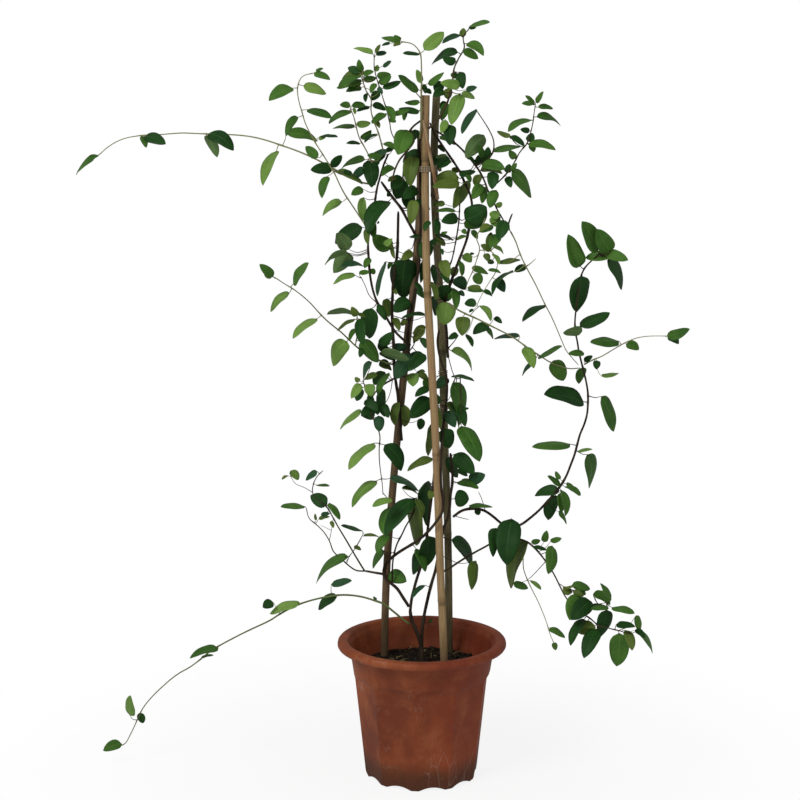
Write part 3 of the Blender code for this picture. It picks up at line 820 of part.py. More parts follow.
def panel_distance(height):
    """How far a flat panel's face is from the axis at a height."""
    return PANEL_TOP_RADIUS - PANEL_SLOPE * (PANEL_TOP - height)


def inner_radius(height):
    """The pot's inner wall: it follows the panels, then opens out to the rim."""
    heights = (0, PANEL_TOP, 0.1715, 0.188, POT_HEIGHT)
    radii = (panel_distance(0) - WALL, PANEL_TOP_RADIUS - WALL, 0.0966, 0.1005, RIM_INNER_RADIUS)
    return float(np.interp(height, heights, radii))


def pot_profile():
    floor = [(0.0, WALL), (BOSS_RADIUS - 0.0035, WALL), (BOSS_RADIUS - 0.0025, BASE_RISE + WALL)]
    inner = [(inner_radius(z), z) for z in (BASE_RISE + WALL, 0.07, PANEL_TOP, 0.1715, 0.188, 0.197)]
    under = POT_HEIGHT - RIM_DEPTH
    rim = [(RIM_INNER_RADIUS + 0.001, POT_HEIGHT - 0.0006), (RIM_INNER_RADIUS + 0.004, POT_HEIGHT),
           (RIM_RADIUS - 0.0045, POT_HEIGHT - 0.0004), (RIM_RADIUS - 0.0012, POT_HEIGHT - 0.0022),
           (RIM_RADIUS, POT_HEIGHT - 0.0055), (RIM_RADIUS - 0.0012, under + 0.0022),
           (RIM_RADIUS - 0.004, under), (0.1062, under - 0.0015)]
    wall = [(0.1032, 0.1835), (0.1003, 0.1715), (0.0985, 0.1610), (0.0972, 0.1530), (0.0970, PANEL_TOP),
            (0.0870, 0.0300), (0.0824, 0.0100), (FOOT_RADIUS, 0.0)]
    foot_inner = panel_distance(0) - WALL
    foot = [(foot_inner, 0.0), (foot_inner - 0.0012, BASE_RISE)]
    boss = [(BOSS_RADIUS + 0.001, BASE_RISE), (BOSS_RADIUS, 0.0), (0.0, 0.0)]
    return floor + inner + rim + wall + foot + boss


def block(name, size, middle, raised, group):
    """A block with its outer top edge raised, its middle set off from the object's origin."""
    bm = bmesh.new()
    bmesh.ops.create_cube(bm, size=1)
    bmesh.ops.scale(bm, vec=size, verts=bm.verts)
    for vert in bm.verts:
        if vert.co.x > 0 and vert.co.z > 0:
            vert.co.z += raised
    bmesh.ops.translate(bm, vec=middle, verts=bm.verts)
    mesh = bpy.data.meshes.new(name)
    bm.to_mesh(mesh)
    bm.free()
    return as_guide(add_object(name, mesh, group))


def rod(name, radius, length, steps, group):
    """A round bar standing on the object's origin."""
    bm = bmesh.new()
    bmesh.ops.create_cone(bm, cap_ends=True, segments=steps, radius1=radius, radius2=radius, depth=length)
    bmesh.ops.translate(bm, vec=(0, 0, length / 2), verts=bm.verts)
    mesh = bpy.data.meshes.new(name)
    bm.to_mesh(mesh)
    bm.free()
    return as_guide(add_object(name, mesh, group))


def cut_panels(pot):
    """Ten leaning blocks shave the wall flat, and leave a rib between each two panels. Their sloped tops bevel it."""
    cutters = new_collection("panel_cutters")
    deep, wide, tall = 0.03, 0.08, PANEL_TOP + 0.02
    for i in range(PANELS):
        angle = math.radians(FIRST_RIB_DEG + (i + 0.5) * 360 / PANELS - 90)
        cutter = block(f"panel_cutter_{i + 1}", (deep, wide, tall), (deep / 2, 0, -tall / 2), deep * PANEL_BEVEL, cutters)
        cutter.rotation_euler = (0, math.atan(PANEL_SLOPE), angle)
        cutter.location = (PANEL_TOP_RADIUS * math.cos(angle), PANEL_TOP_RADIUS * math.sin(angle), PANEL_TOP)
    boolean(pot, "DIFFERENCE", cutters)


def cut_foot_arches(pot):
    """Ten bars laid outwards under the wall cut low arches, and leave a foot under each rib."""
    cutters = new_collection("foot_arch_cutters")
    radius = (FOOT_ARCH_WIDTH ** 2 / 4 + FOOT_ARCH_HEIGHT ** 2) / (2 * FOOT_ARCH_HEIGHT)
    for i in range(PANELS):
        angle = math.radians(FIRST_RIB_DEG + (i + 0.5) * 360 / PANELS - 90)
        cutter = rod(f"foot_arch_cutter_{i + 1}", radius, 0.03, 32, cutters)
        cutter.rotation_euler = (0, math.pi / 2, angle)
        cutter.location = (0.062 * math.cos(angle), 0.062 * math.sin(angle), FOOT_ARCH_HEIGHT - radius)
    boolean(pot, "DIFFERENCE", cutters)


def cut_drain_holes(pot):
    cutters = new_collection("drain_cutters")
    for i in range(DRAIN_HOLES):
        angle = i * 2 * math.pi / DRAIN_HOLES
        cutter = rod(f"drain_cutter_{i + 1}", DRAIN_RADIUS, 0.02, 12, cutters)
        cutter.location = (DRAIN_CIRCLE * math.cos(angle), DRAIN_CIRCLE * math.sin(angle), 0)
    boolean(pot, "DIFFERENCE", cutters)


def make_pot(parts):
    pot = turned("pot", pot_profile(), POT_STEPS, parts, "pot")
    cut_panels(pot)
    cut_foot_arches(pot)
    cut_drain_holes(pot)
    settle(pot, "pot")


def make_compost(parts, planted):
    """The compost, with a hole for each thing that stands in it."""
    floor = BASE_RISE + WALL + GAP
    side = [(inner_radius(z) - GAP, z) for z in (SOIL_EDGE, PANEL_TOP, 0.07, floor)]
    top = [(0.0, SOIL_MIDDLE), (0.035, SOIL_MIDDLE - 0.001), (0.068, (SOIL_MIDDLE + SOIL_EDGE) / 2)]
    under = [(BOSS_RADIUS - 0.0028, floor), (BOSS_RADIUS - 0.0040, WALL + GAP), (0.0, WALL + GAP)]
    compost = turned("compost", top + side + under, SOIL_STEPS, parts, "compost")
    holes = new_collection("planting_holes")
    for name, spots, girths, sides in planted:
        sunk = spots[0] + (spots[0] - spots[1]).normalized() * GAP
        as_guide(tube(f"{name}_hole", [sunk] + spots[1:], [g + 2 * GAP for g in girths], holes, sides=sides))
    boolean(compost, "DIFFERENCE", holes)


# ---- the plan, and what is built along it


def place(across, up, back):
    """A plotted point in metres, carried back along the line of sight to its own depth."""
    board = Vector((across * CM, 0, up * CM))
    return board + (EYE - board) * (back * CM / EYE.y)


def plotted(spot):
    """Where a point in metres is on the board, and how far behind it, in centimetres."""
    share = spot.y / EYE.y
    board = (spot - EYE * share) / (1 - share)
    return Vector((board.x / CM, board.z / CM, spot.y / CM))


def with_depths(route):
    """The route's points as vectors, with the depths that it leaves out shared out by length."""
    lengths = [0.0]
    for a, b in zip(route, route[1:]):
        lengths.append(lengths[-1] + math.dist(a[:2], b[:2]))
    known = [(s, p[2]) for s, p in zip(lengths, route) if len(p) == 3]
    depths = np.interp(lengths, [k[0] for k in known], [k[1] for k in known])
    return [Vector((p[0], p[1], float(d))) for p, d in zip(route, depths)]


def fanned(points):
    """The same points, with those well out from the canes carried further to the front or the back."""
    spread = [min(FAN_MOST, 1 + FAN * max(0, abs(p.x - FAN_MIDDLE) - FAN_CORE)) for p in points]
    return [Vector((p.x, p.y, p.z * share)) for p, share in zip(points, spread)]


def smooth(points, step):
    """Points a step apart along a Catmull-Rom curve through the given ones."""
    ends = [points[0] * 2 - points[1]] + points + [points[-1] * 2 - points[-2]]
    fine = []
    for a, b, c, d in zip(ends, ends[1:], ends[2:], ends[3:]):
        for i in range(8):
            t = i / 8
            fine.append((b * 2 + (c - a) * t + (a * 2 - b * 5 + c * 4 - d) * t * t
                         + (b * 3 - a - c * 3 + d) * t ** 3) / 2)
    fine.append(points[-1])
    return evenly(fine, step)


def evenly(points, step):
    """The same line with its points a step apart."""
    rows = np.array([tuple(p) for p in points])
    run = np.concatenate([[0], np.cumsum(np.linalg.norm(np.diff(rows, axis=0), axis=1))])
    count = max(2, round(run[-1] / step))
    spots = np.linspace(0, run[-1], count + 1)
    return [Vector([float(np.interp(s, run, rows[:, k])) for k in range(3)]) for s in spots]


def tapered(first, last, count):
    return [float(g) for g in np.linspace(first, last, count)]


def tube(name, spots, girths, group, finish=None, sides=1):
    """A round closed tube through the spots, as a mesh. sides 1 gives 6 sides, 2 gives 8, 4 gives 12."""
    curve = bpy.data.curves.new(name, "CURVE")
    curve.dimensions = "3D"
    curve.bevel_depth = 1.0
    curve.bevel_resolution = sides
    curve.use_fill_caps = True
    line = curve.splines.new("POLY")
    line.points.add(len(spots) - 1)
    for point, spot, girth in zip(line.points, spots, girths):
        point.co = (*spot, 1)
        point.radius = girth / 2
    thing = bpy.data.objects.new(name, curve)
    group.objects.link(thing)
    mesh = settled_mesh(thing)
    bpy.data.objects.remove(thing, do_unlink=True)
    bm = bmesh.new()
    bm.from_mesh(mesh)
    bmesh.ops.remove_doubles(bm, verts=bm.verts, dist=MERGE)
    bm.to_mesh(mesh)
    bm.free()
    return add_object(name, mesh, group, finish)


def fused(name, pieces, group, finish):
    """One solid from pieces that run into each other."""
    first = add_object(name, pieces[0].data, group, finish)
    others = new_collection(f"{name}_pieces")
    for piece in pieces[1:]:
        others.objects.link(piece)
    if pieces[1:]:
        boolean(first, "UNION", others)
        settle(first, finish)
    for piece in pieces:
        bpy.data.objects.remove(piece, do_unlink=True)
    bpy.data.collections.remove(others)
    return first


class Thicket:
    """What stands so far: points along the stems, how thick they are there, and whose they are."""

    def __init__(self):
        self.spots = np.zeros((0, 3))
        self.radii = np.zeros(0)

    def add(self, spots, girths):
        line, radii = fine_line(spots, girths)
        self.spots = np.vstack([self.spots, line])
        self.radii = np.concatenate([self.radii, radii])

    def shortfall(self, line, radii):
        """For each point of a line, how far it is inside what stands, and which point it meets."""
        apart = line[:, None, :] - self.spots[None, :, :]
        need = radii[:, None] + self.radii[None, :] + 2.5 * GAP - np.linalg.norm(apart, axis=2)
        nearest = need.argmax(axis=1)
        rows = np.arange(len(line))
        return need[rows, nearest], apart[rows, nearest]


def weights(spots):
    """How points a fine step apart are made from the spots, as a matrix."""
    rows = []
    for i, (a, b) in enumerate(zip(spots, spots[1:])):
        count = max(1, round((b - a).length / FINE_STEP))
        for k in range(count):
            row = np.zeros(len(spots))
            row[i] = 1 - k / count
            row[i + 1] = k / count
            rows.append(row)
    last = np.zeros(len(spots))
    last[-1] = 1
    rows.append(last)
    return np.array(rows)


def fine_line(spots, girths):
    mix = weights(spots)
    return mix @ np.array([tuple(s) for s in spots]), mix @ np.array(girths) / 2


def eased(spots, girths, thicket, free):
    """Moves a stem's spots nearer or further along the line of sight, until it clears what stands.

    The first stretch, free metres long, may stay where it is, inside the stem that it grows from.
    """
    base = np.array([tuple(s) for s in spots])
    sight = np.array([tuple((EYE - s).normalized()) for s in spots])
    mix = weights(spots)
    radii = mix @ np.array(girths) / 2
    shift = np.zeros(len(spots))
    chosen = np.zeros(len(mix))
    for turn in range(EASE_TURNS):
        line = mix @ (base + shift[:, None] * sight)
        run = np.concatenate([[0], np.cumsum(np.linalg.norm(np.diff(line, axis=0), axis=1))])
        short, apart = thicket.shortfall(line, radii)
        short[run < free] = 0
        hit = short > 0
        if not hit.any():
            break
        side = np.where((apart * (mix @ sight)).sum(axis=1) < 0, -1, 1)
        chosen = np.where(hit & (chosen == 0), side, chosen)
        edges = np.flatnonzero(np.diff(hit.astype(int), prepend=0, append=0))
        for start, stop in zip(edges[::2], edges[1::2]):
            chosen[start:stop] = -1 if chosen[start:stop].sum() < 0 else 1
        push = np.where(hit, chosen * (short + 0.0002), 0)
        share = mix.T @ np.abs(hit).astype(float)
        shift += np.where(share > 0, mix.T @ push / np.maximum(share, 0.6), 0) * 1.3
        if turn % 4 == 3 and turn < EASE_TURNS / 2 and len(shift) > 2:
            shift[1:-1] += 0.12 * (shift[:-2] + shift[2:] - 2 * shift[1:-1])
        shift[0] = 0
    return [Vector(map(float, row)) for row in base + shift[:, None] * sight]


def trimmed(spots, girths, thicket):
    """Drops the start of a stem that runs inside the stem that it grows from."""
    line, radii = fine_line(spots, girths)
    short, _ = thicket.shortfall(line, radii)
    run = np.concatenate([[0], np.cumsum(np.linalg.norm(np.diff(line, axis=0), axis=1))])
    inside = np.nonzero((short > 0) & (run < 0.02))[0]
    if not len(inside):
        return spots, girths
    start = inside[-1] + 1
    kept = [Vector(map(float, line[start]))]
    kept_girths = [float(radii[start] * 2)]
    travelled = 0.0
    for a, b, girth in zip(spots, spots[1:], girths[1:]):
        travelled += (b - a).length
        if travelled > run[start] + 0.3 * STEM_STEP:
            kept.append(b)
            kept_girths.append(girth)
    return kept, kept_girths


# ---- canes, tie and stems


def make_canes(parts, thicket):
    """The three canes. Returns each one's name, spots, girths and roundness."""
    canes = []
    for name, route in CANES.items():
        spots = smooth([place(*p) for p in with_depths(route)], CANE_STEP)
        girths = tapered(CANE_FOOT_GIRTH, CANE_TOP_GIRTH, len(spots))
        tube(name, spots, girths, parts, "cane", sides=4)
        thicket.add(spots, girths)
        canes.append((name, spots, girths, 4))
    return canes


def at_height(spots, height):
    """Where a rising line of spots passes a height."""
    for a, b in zip(spots, spots[1:]):
        if a.z <= height <= b.z:
            return a.lerp(b, (height - a.z) / (b.z - a.z))
    return spots[-1]


def make_tie(parts, canes, thicket):
    """A ring of twine that holds the three canes together just under their tops."""
    stands = [at_height(spots, TIE_HEIGHT) for _, spots, _, _ in canes]
    middle = sum(stands, Vector()) / len(stands)
    reach = CANE_FOOT_GIRTH / 2 + TIE_GIRTH / 2 + 3 * GAP
    ring = []
    for i in range(24):
        angle = i * math.tau / 24
        way = Vector((math.cos(angle), math.sin(angle), 0))
        support = max((s - middle).dot(way) for s in stands) + reach
        ring.append(middle + way * support)
    curve = bpy.data.curves.new("tie", "CURVE")
    curve.dimensions = "3D"
    curve.bevel_depth = TIE_GIRTH / 2
    curve.bevel_resolution = 1
    line = curve.splines.new("POLY")
    line.points.add(len(ring) - 1)
    for point, spot in zip(line.points, ring):
        point.co = (*spot, 1)
    line.use_cyclic_u = True
    guide = add_object("tie_guide", curve, parts)
    mesh = settled_mesh(guide)
    bpy.data.objects.remove(guide, do_unlink=True)
    add_object("twine_tie", mesh, parts, "twine")
    thicket.add(ring + ring[:1], [TIE_GIRTH] * (len(ring) + 1))


def stalk_spot(foot, lines):
    """The spot inside a shoot's stems that is nearest to a plotted foot, and how far behind the board it is."""
    best = None
    for spots, _ in lines:
        for spot in evenly(spots, FINE_STEP)[1:-1]:
            at = plotted(spot)
            miss = math.dist((at.x, at.y), foot)
            if best is None or miss < best[0]:
                best = (miss, spot, at.z)
    return best[1], best[2]


def make_stems(name, shoot, parts, thicket):
    """A shoot's stems, clear of what stands. Returns their objects and their spots."""
    objects = []
    lines = []
    for first, last, route in shoot["stems"]:
        spots = smooth([place(*p) for p in fanned(with_depths(route))], STEM_STEP)
        if lines:
            spots[0] = stalk_spot(route[0][:2], lines)[0]
        girths = tapered(first * MM, last * MM, len(spots))
        spots = eased(spots, girths, thicket, 0.012)
        if not objects:
            spots, girths = trimmed(spots, girths, thicket)
        objects.append(tube(f"{name}_stem_{len(objects) + 1}", spots, girths, parts))
        lines.append((spots, girths))
    for spots, girths in lines:
        thicket.add(spots, girths)
    return objects, lines


# ---- leaves


def leaf_axes(foot, tip, seen_width, tone):
    """A leaf's upward normal, its sideways direction and its real width, from the width that is seen."""
    along = (tip - foot).normalized()
    middle = (foot + tip) / 2
    sight = (EYE - middle).normalized()
    facing = (sight - along * sight.dot(along)).normalized()
    across = along.cross(facing)
    outward = Vector((middle.x, middle.y, 0)).normalized()
    if across.z + 0.35 * across.dot(outward) < 0:
        across = -across
    width = max(seen_width, LEAF_ASPECT * (tip - foot).length)
    turn = math.acos(min(1, seen_width / width))
    side_up = -1 if tone == "under" else 1
    normal = facing * (side_up * math.cos(turn)) + across * math.sin(turn)
    return normal, along.cross(normal).normalized(), width


def leaf_arch(foot, tip, normal):
    """How far a leaf's middle is off the straight line from foot to tip: a leaf that hangs out bows upwards."""
    along = (tip - foot).normalized()
    upright = (Vector((0, 0, 1)) - along * along.z) * max(-0.5, min(1, 0.15 - 1.2 * along.z))
    return (normal * LEAF_ARCH + upright * LEAF_BOW) * (tip - foot).length


def leaf_solid(name, stalk, foot, tip, normal, side, width, thickness, group):
    """A leaf as a flat pointed lens: a four-sided ball of two rings, drawn out from stalk to tip."""
    bm = bmesh.new()
    bmesh.ops.create_uvsphere(bm, u_segments=4, v_segments=3, radius=1)
    arch = leaf_arch(foot, tip, normal)
    for vert in bm.verts:
        t = (1 - vert.co.z) / 2
        x, y = vert.co.x, vert.co.y
        if t < 0.01:
            vert.co = stalk
            continue
        half = width / 2 * (0.95 if t < 0.5 else 0.78)
        vert.co = foot.lerp(tip, t) + arch * 4 * t * (1 - t) + side * x * half + normal * y * thickness / 2
    mesh = bpy.data.meshes.new(name)
    bmesh.ops.recalc_face_normals(bm, faces=bm.faces)
    bm.to_mesh(mesh)
    bm.free()
    return add_object(name, mesh, group)


def tree_of(thing):
    bm = bmesh.new()
    bm.from_mesh(thing.data)
    tree = BVHTree.FromBMesh(bm)
    bm.free()
    return tree


def make_leaves(name, shoot, lines, group, standing):
    """A shoot's leaves, each moved along the line of sight to where it clears the other shoots."""
    leaves = []
    for i, (x0, z0, x1, z1, seen, tone, *more) in enumerate(shoot["leaves"]):
        out = more[0] if more else 0.0
        stalk, depth = stalk_spot((x0, z0), lines)
        span = math.dist((x0, z0), (x1, z1))
        lean = LEANS[i % len(LEANS)] * span
        if span * CM < SHORTEST_LEAF:
            continue
        for shift in SHIFTS:
            start = depth + out + shift / CM
            foot = place(x0, z0, start)
            tip = place(x1, z1, start + lean)
            if (stalk - foot).dot(tip - foot) > 0.1 * (tip - foot).length_squared:
                continue
            axes = leaf_axes(foot, tip, seen * CM, tone)
            test = leaf_solid("test_leaf", stalk, foot, tip, *axes, LEAF_THICKNESS + 4 * GAP, group)
            tree = tree_of(test)
            bpy.data.objects.remove(test, do_unlink=True)
            if not any(tree.overlap(other) for other in standing):
                leaves.append(leaf_solid(f"{name}_leaf_{i + 1}", stalk, foot, tip, *axes, LEAF_THICKNESS, group))
                break
    return leaves


def make_plant(parts, thicket, standing):
    """Every shoot: first all the stems, so that leaves give way to them, then the leaves."""
    shoots = {}
    for name, shoot in SHOOTS.items():
        shoots[name] = make_stems(name, shoot, parts, thicket)
    stem_trees = {name: [tree_of(o) for o in objects] for name, (objects, _) in shoots.items()}
    leaf_trees = {}
    pieces = {}
    for name, (objects, lines) in shoots.items():
        others = [t for n, trees in stem_trees.items() if n != name for t in trees]
        others += [t for trees in leaf_trees.values() for t in trees]
        leaves = make_leaves(name, SHOOTS[name], lines, parts, others + standing)
        leaf_trees[name] = [tree_of(leaf) for leaf in leaves]
        pieces[name] = objects + leaves
    for name, solids in pieces.items():
        fused(name, solids, parts, SHOOTS[name]["bark"])
    return {name: lines for name, (_, lines) in shoots.items()}


def main():
    clear_scene()
    parts = new_collection("potted_honeysuckle")
    thicket = Thicket()
    make_pot(parts)
    canes = make_canes(parts, thicket)
    make_tie(parts, canes, thicket)
    standing = [tree_of(thing) for thing in parts.objects]
    lines = make_plant(parts, thicket, standing)
    make_compost(parts, canes + [("trunk", *lines["trunk"][0], 1)])


main()
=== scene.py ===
"""A honeysuckle on a wigwam of canes in a round plastic pot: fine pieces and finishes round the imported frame.

The plant is drawn as a plan on an upright board that stands on the pot's axis and faces the front. Each point
is so far across and so far up, in centimetres, as the eye of someone three metres in front lines it up. A
third number gives how far behind the board it is. Everything else is in metres, +Z up.
"""

import math
import random

import bmesh
import bpy
import numpy as np
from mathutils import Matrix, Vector, noise
from mathutils.bvhtree import BVHTree


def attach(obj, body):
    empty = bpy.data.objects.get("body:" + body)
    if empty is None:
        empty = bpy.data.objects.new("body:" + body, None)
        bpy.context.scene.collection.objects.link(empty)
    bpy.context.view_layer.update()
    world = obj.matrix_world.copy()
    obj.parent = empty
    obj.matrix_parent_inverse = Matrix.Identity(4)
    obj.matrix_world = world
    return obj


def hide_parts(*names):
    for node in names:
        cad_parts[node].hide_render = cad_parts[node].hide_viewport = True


CM = 0.01
MM = 0.001

# Pot
POT_HEIGHT = 0.200
RIM_RADIUS = 0.120
RIM_INNER_RADIUS = 0.1045
RIM_DEPTH = 0.0115
WALL = 0.003
BASE_RISE = 0.006
BOSS_RADIUS = 0.030
PANELS = 10
FIRST_RIB = math.radians(-133.4)
PANEL_TOP = 0.147
PANEL_TOP_RADIUS = 0.0918
PANEL_SLOPE = 0.101
PANEL_BEVEL = 0.8
RIB_SOFTNESS = 0.0012
FOOT_ARCH_HEIGHT = 0.0045
FOOT_ARCH_WIDTH = 0.038
DRAIN_HOLES = 5
DRAIN_RADIUS = 0.006
DRAIN_CIRCLE = 0.042
POT_STEPS = 300
WALL_HEIGHTS = (0.0, 0.0040, 0.0100, 0.0300, 0.1470, 0.1530, 0.1610, 0.1715, 0.1835)
WALL_RADII = (0.0784, 0.0803, 0.0824, 0.0870, 0.0970, 0.0974, 0.0985, 0.1003, 0.1032)
INSIDE_HEIGHTS = (0.0, 0.1470, 0.1715, 0.1880, 0.2000)
INSIDE_RADII = (0.0740, 0.0888, 0.0966, 0.1005, 0.1045)

# Compost
SOIL_EDGE = 0.1575
SOIL_MIDDLE = 0.1625
SOIL_DEPTH = 0.030
CLODS = 420
GRITS = 60
STRAWS = 34

# Canes and ties
CANE_FOOT_GIRTH = 0.0108
CANE_TOP_GIRTH = 0.0106
CANE_STEP = 0.045
TIE_HEIGHT = 0.868
TIE_GIRTH = 0.0022
TIE_TURNS = 4
CANE_KNOTS = {"cane_front": (0.27, 0.475, 0.70, 0.885), "cane_rear": (0.34, 0.61, 0.83),
              "cane_left": (0.315, 0.52, 0.715)}
KNOT_WIDTH = 0.0022
KNOT_SWELL = 0.085
GROOVE_DROP = 0.0055
GROOVE_WIDTH = 0.0016
GROOVE_DEPTH = 0.05

# Stems and leaves
GAP = 0.0003
STEM_STEP = 0.016
FINE_STEP = 0.0025
SKIN_STEP = 0.004
FAN = 0.10
FAN_MIDDLE = 1.0
FAN_CORE = 3.5
FAN_MOST = 2.1
EASE_TURNS = 160
LEAF_THICKNESS = 0.0010
BLADE_THICKNESS = 0.0004
LEAF_ASPECT = 0.48
LEAF_ARCH = 0.03
LEAF_BOW = 0.11
LEANS = (-0.45, 0.50, -0.65, 0.30)
SHIFTS = (0, -0.003, 0.003, -0.006, 0.006, -0.010, 0.010, -0.015, 0.015, -0.021, 0.021)
BLADE_ROWS = 14
BLADE_COLUMNS = 6
BLADE_STATIONS = (0.0, 0.04, 0.10, 0.20, 0.33, 0.48, 0.63, 0.76, 0.87, 0.95, 1.0)
BLADE_WIDTHS = (0.10, 0.50, 0.76, 0.95, 1.02, 1.0, 0.90, 0.74, 0.52, 0.28, 0.05)

# The camera and the eye that the plan is drawn for
EYE = Vector((-0.0311, -3.0, 1.125))
EYE_TILT = math.radians(79.07)
LENS = 98.64
SENSOR = 36

# Lamps: where each stands, what it is aimed at, how wide it is, and its watts
LAMPS = {
    "key_lamp": ((-1.5, -1.9, 2.5), (0, 0, 0.6), 1.3, 50),
    "fill_lamp": ((1.9, -1.6, 1.4), (0, 0, 0.5), 1.8, 8),
}
AIR_LIGHT = 0.40

# Pot colours
POT_DULL = (0.150, 0.030, 0.010)
POT_BRIGHT = (0.275, 0.066, 0.020)
# painted shade: the darker red laid on the pot's right side, away from the key lamp
POT_RIGHT_SHADE = (0.190, 0.030, 0.011)
POT_WORN = (0.310, 0.095, 0.036)
# the colour the pot darkens to towards its foot
POT_FOOT_DARK = (0.045, 0.020, 0.009)
POT_RUNS = (0.085, 0.030, 0.014)
POT_LIME = (0.42, 0.30, 0.24)
POT_SCRATCH = (0.45, 0.33, 0.27)

# Barks: deep, light and patch colours, roughness, how fine the streaks are, and how deep
BARK_LOOKS = {
    "old": ((0.009, 0.006, 0.004), (0.040, 0.024, 0.015), (0.060, 0.042, 0.026), 0.75, 90, 0.0006),
    "twig": ((0.022, 0.013, 0.008), (0.080, 0.052, 0.028), (0.060, 0.062, 0.022), 0.65, 120, 0.0003),
    "green": ((0.075, 0.115, 0.028), (0.16, 0.21, 0.07), (0.12, 0.09, 0.035), 0.5, 60, 0.0002),
    "pale": ((0.16, 0.18, 0.07), (0.30, 0.32, 0.15), (0.22, 0.17, 0.08), 0.5, 60, 0.0002),
    "tan": ((0.13, 0.07, 0.035), (0.34, 0.20, 0.10), (0.42, 0.30, 0.18), 0.75, 40, 0.0008),
}
STRAW_LOOK = ((0.13, 0.09, 0.04), (0.28, 0.21, 0.10), (0.10, 0.12, 0.03), 0.8, 200, 0.0002)

# Cane skins: deep, light and stain colours, and how strong the stain is
CANE_LOOKS = {
    "cane_front": ((0.24, 0.155, 0.062), (0.40, 0.285, 0.140), (0.33, 0.185, 0.105), 0.45),
    "cane_rear": ((0.095, 0.075, 0.035), (0.24, 0.19, 0.10), (0.10, 0.105, 0.045), 0.60),
    "cane_left": ((0.10, 0.062, 0.030), (0.24, 0.155, 0.080), (0.12, 0.085, 0.045), 0.50),
}

# Leaf colours: the deep and the light of each kind of upper side, and its underside. The kinds are partly the
# leaves' own colours and partly painted light and shade: the dark and blue kinds also stand for leaves in
# shade, the fresh kind also for leaves in full light.
LEAF_COLOURS = {
    "dark": ((0.004, 0.030, 0.003), (0.016, 0.070, 0.009), (0.050, 0.105, 0.030)),
    "mid": ((0.018, 0.075, 0.007), (0.070, 0.170, 0.022), (0.085, 0.150, 0.048)),
    "fresh": ((0.085, 0.185, 0.026), (0.190, 0.330, 0.065), (0.165, 0.250, 0.095)),
    "olive": ((0.045, 0.085, 0.010), (0.120, 0.175, 0.030), (0.115, 0.160, 0.055)),
    "blue": ((0.007, 0.040, 0.012), (0.030, 0.092, 0.034), (0.075, 0.130, 0.066)),
}
TONES = list(LEAF_COLOURS)


# The plant's plan. Every stem and leaf is plotted in centimetres on an upright board through the middle of
# the pot, as (across, up) and, where it matters, how far behind the board it is. A stem is (girth at its foot
# and tip in millimetres, route). A leaf is (foot across, foot up, tip across, tip up, width seen, tone), and
# may add how far it stands behind its stem; a further number, for how much further back its tip reaches, is not
# used.
CANES = {
    "cane_front": [(3.62, 6.5, -5.5), (3.05, 20), (2.6, 30), (2.05, 45), (1.42, 57), (0.9, 66), (0.55, 73),
                   (0.4, 80), (0.32, 88), (0.4, 96.7, -0.9)],
    "cane_rear": [(4.0, 9.5, 6.3), (3.88, 20), (3.75, 30), (3.5, 40), (3.2, 47), (2.95, 55), (2.75, 62),
                  (2.35, 70), (2.0, 76), (1.65, 82), (1.55, 89), (1.85, 96.6, 1.5)],
    "cane_left": [(-5.45, 9.5, 4.8), (-5.3, 20), (-5.15, 26, 4.45), (-4.95, 31), (-4.7, 35), (-4.15, 41.5),
                  (-3.55, 48.5), (-2.8, 56), (-1.9, 65), (-1.3, 69.5), (-0.8, 75), (-0.45, 80), (-0.3, 86),
                  (-0.25, 91.2, 1.0)],
}

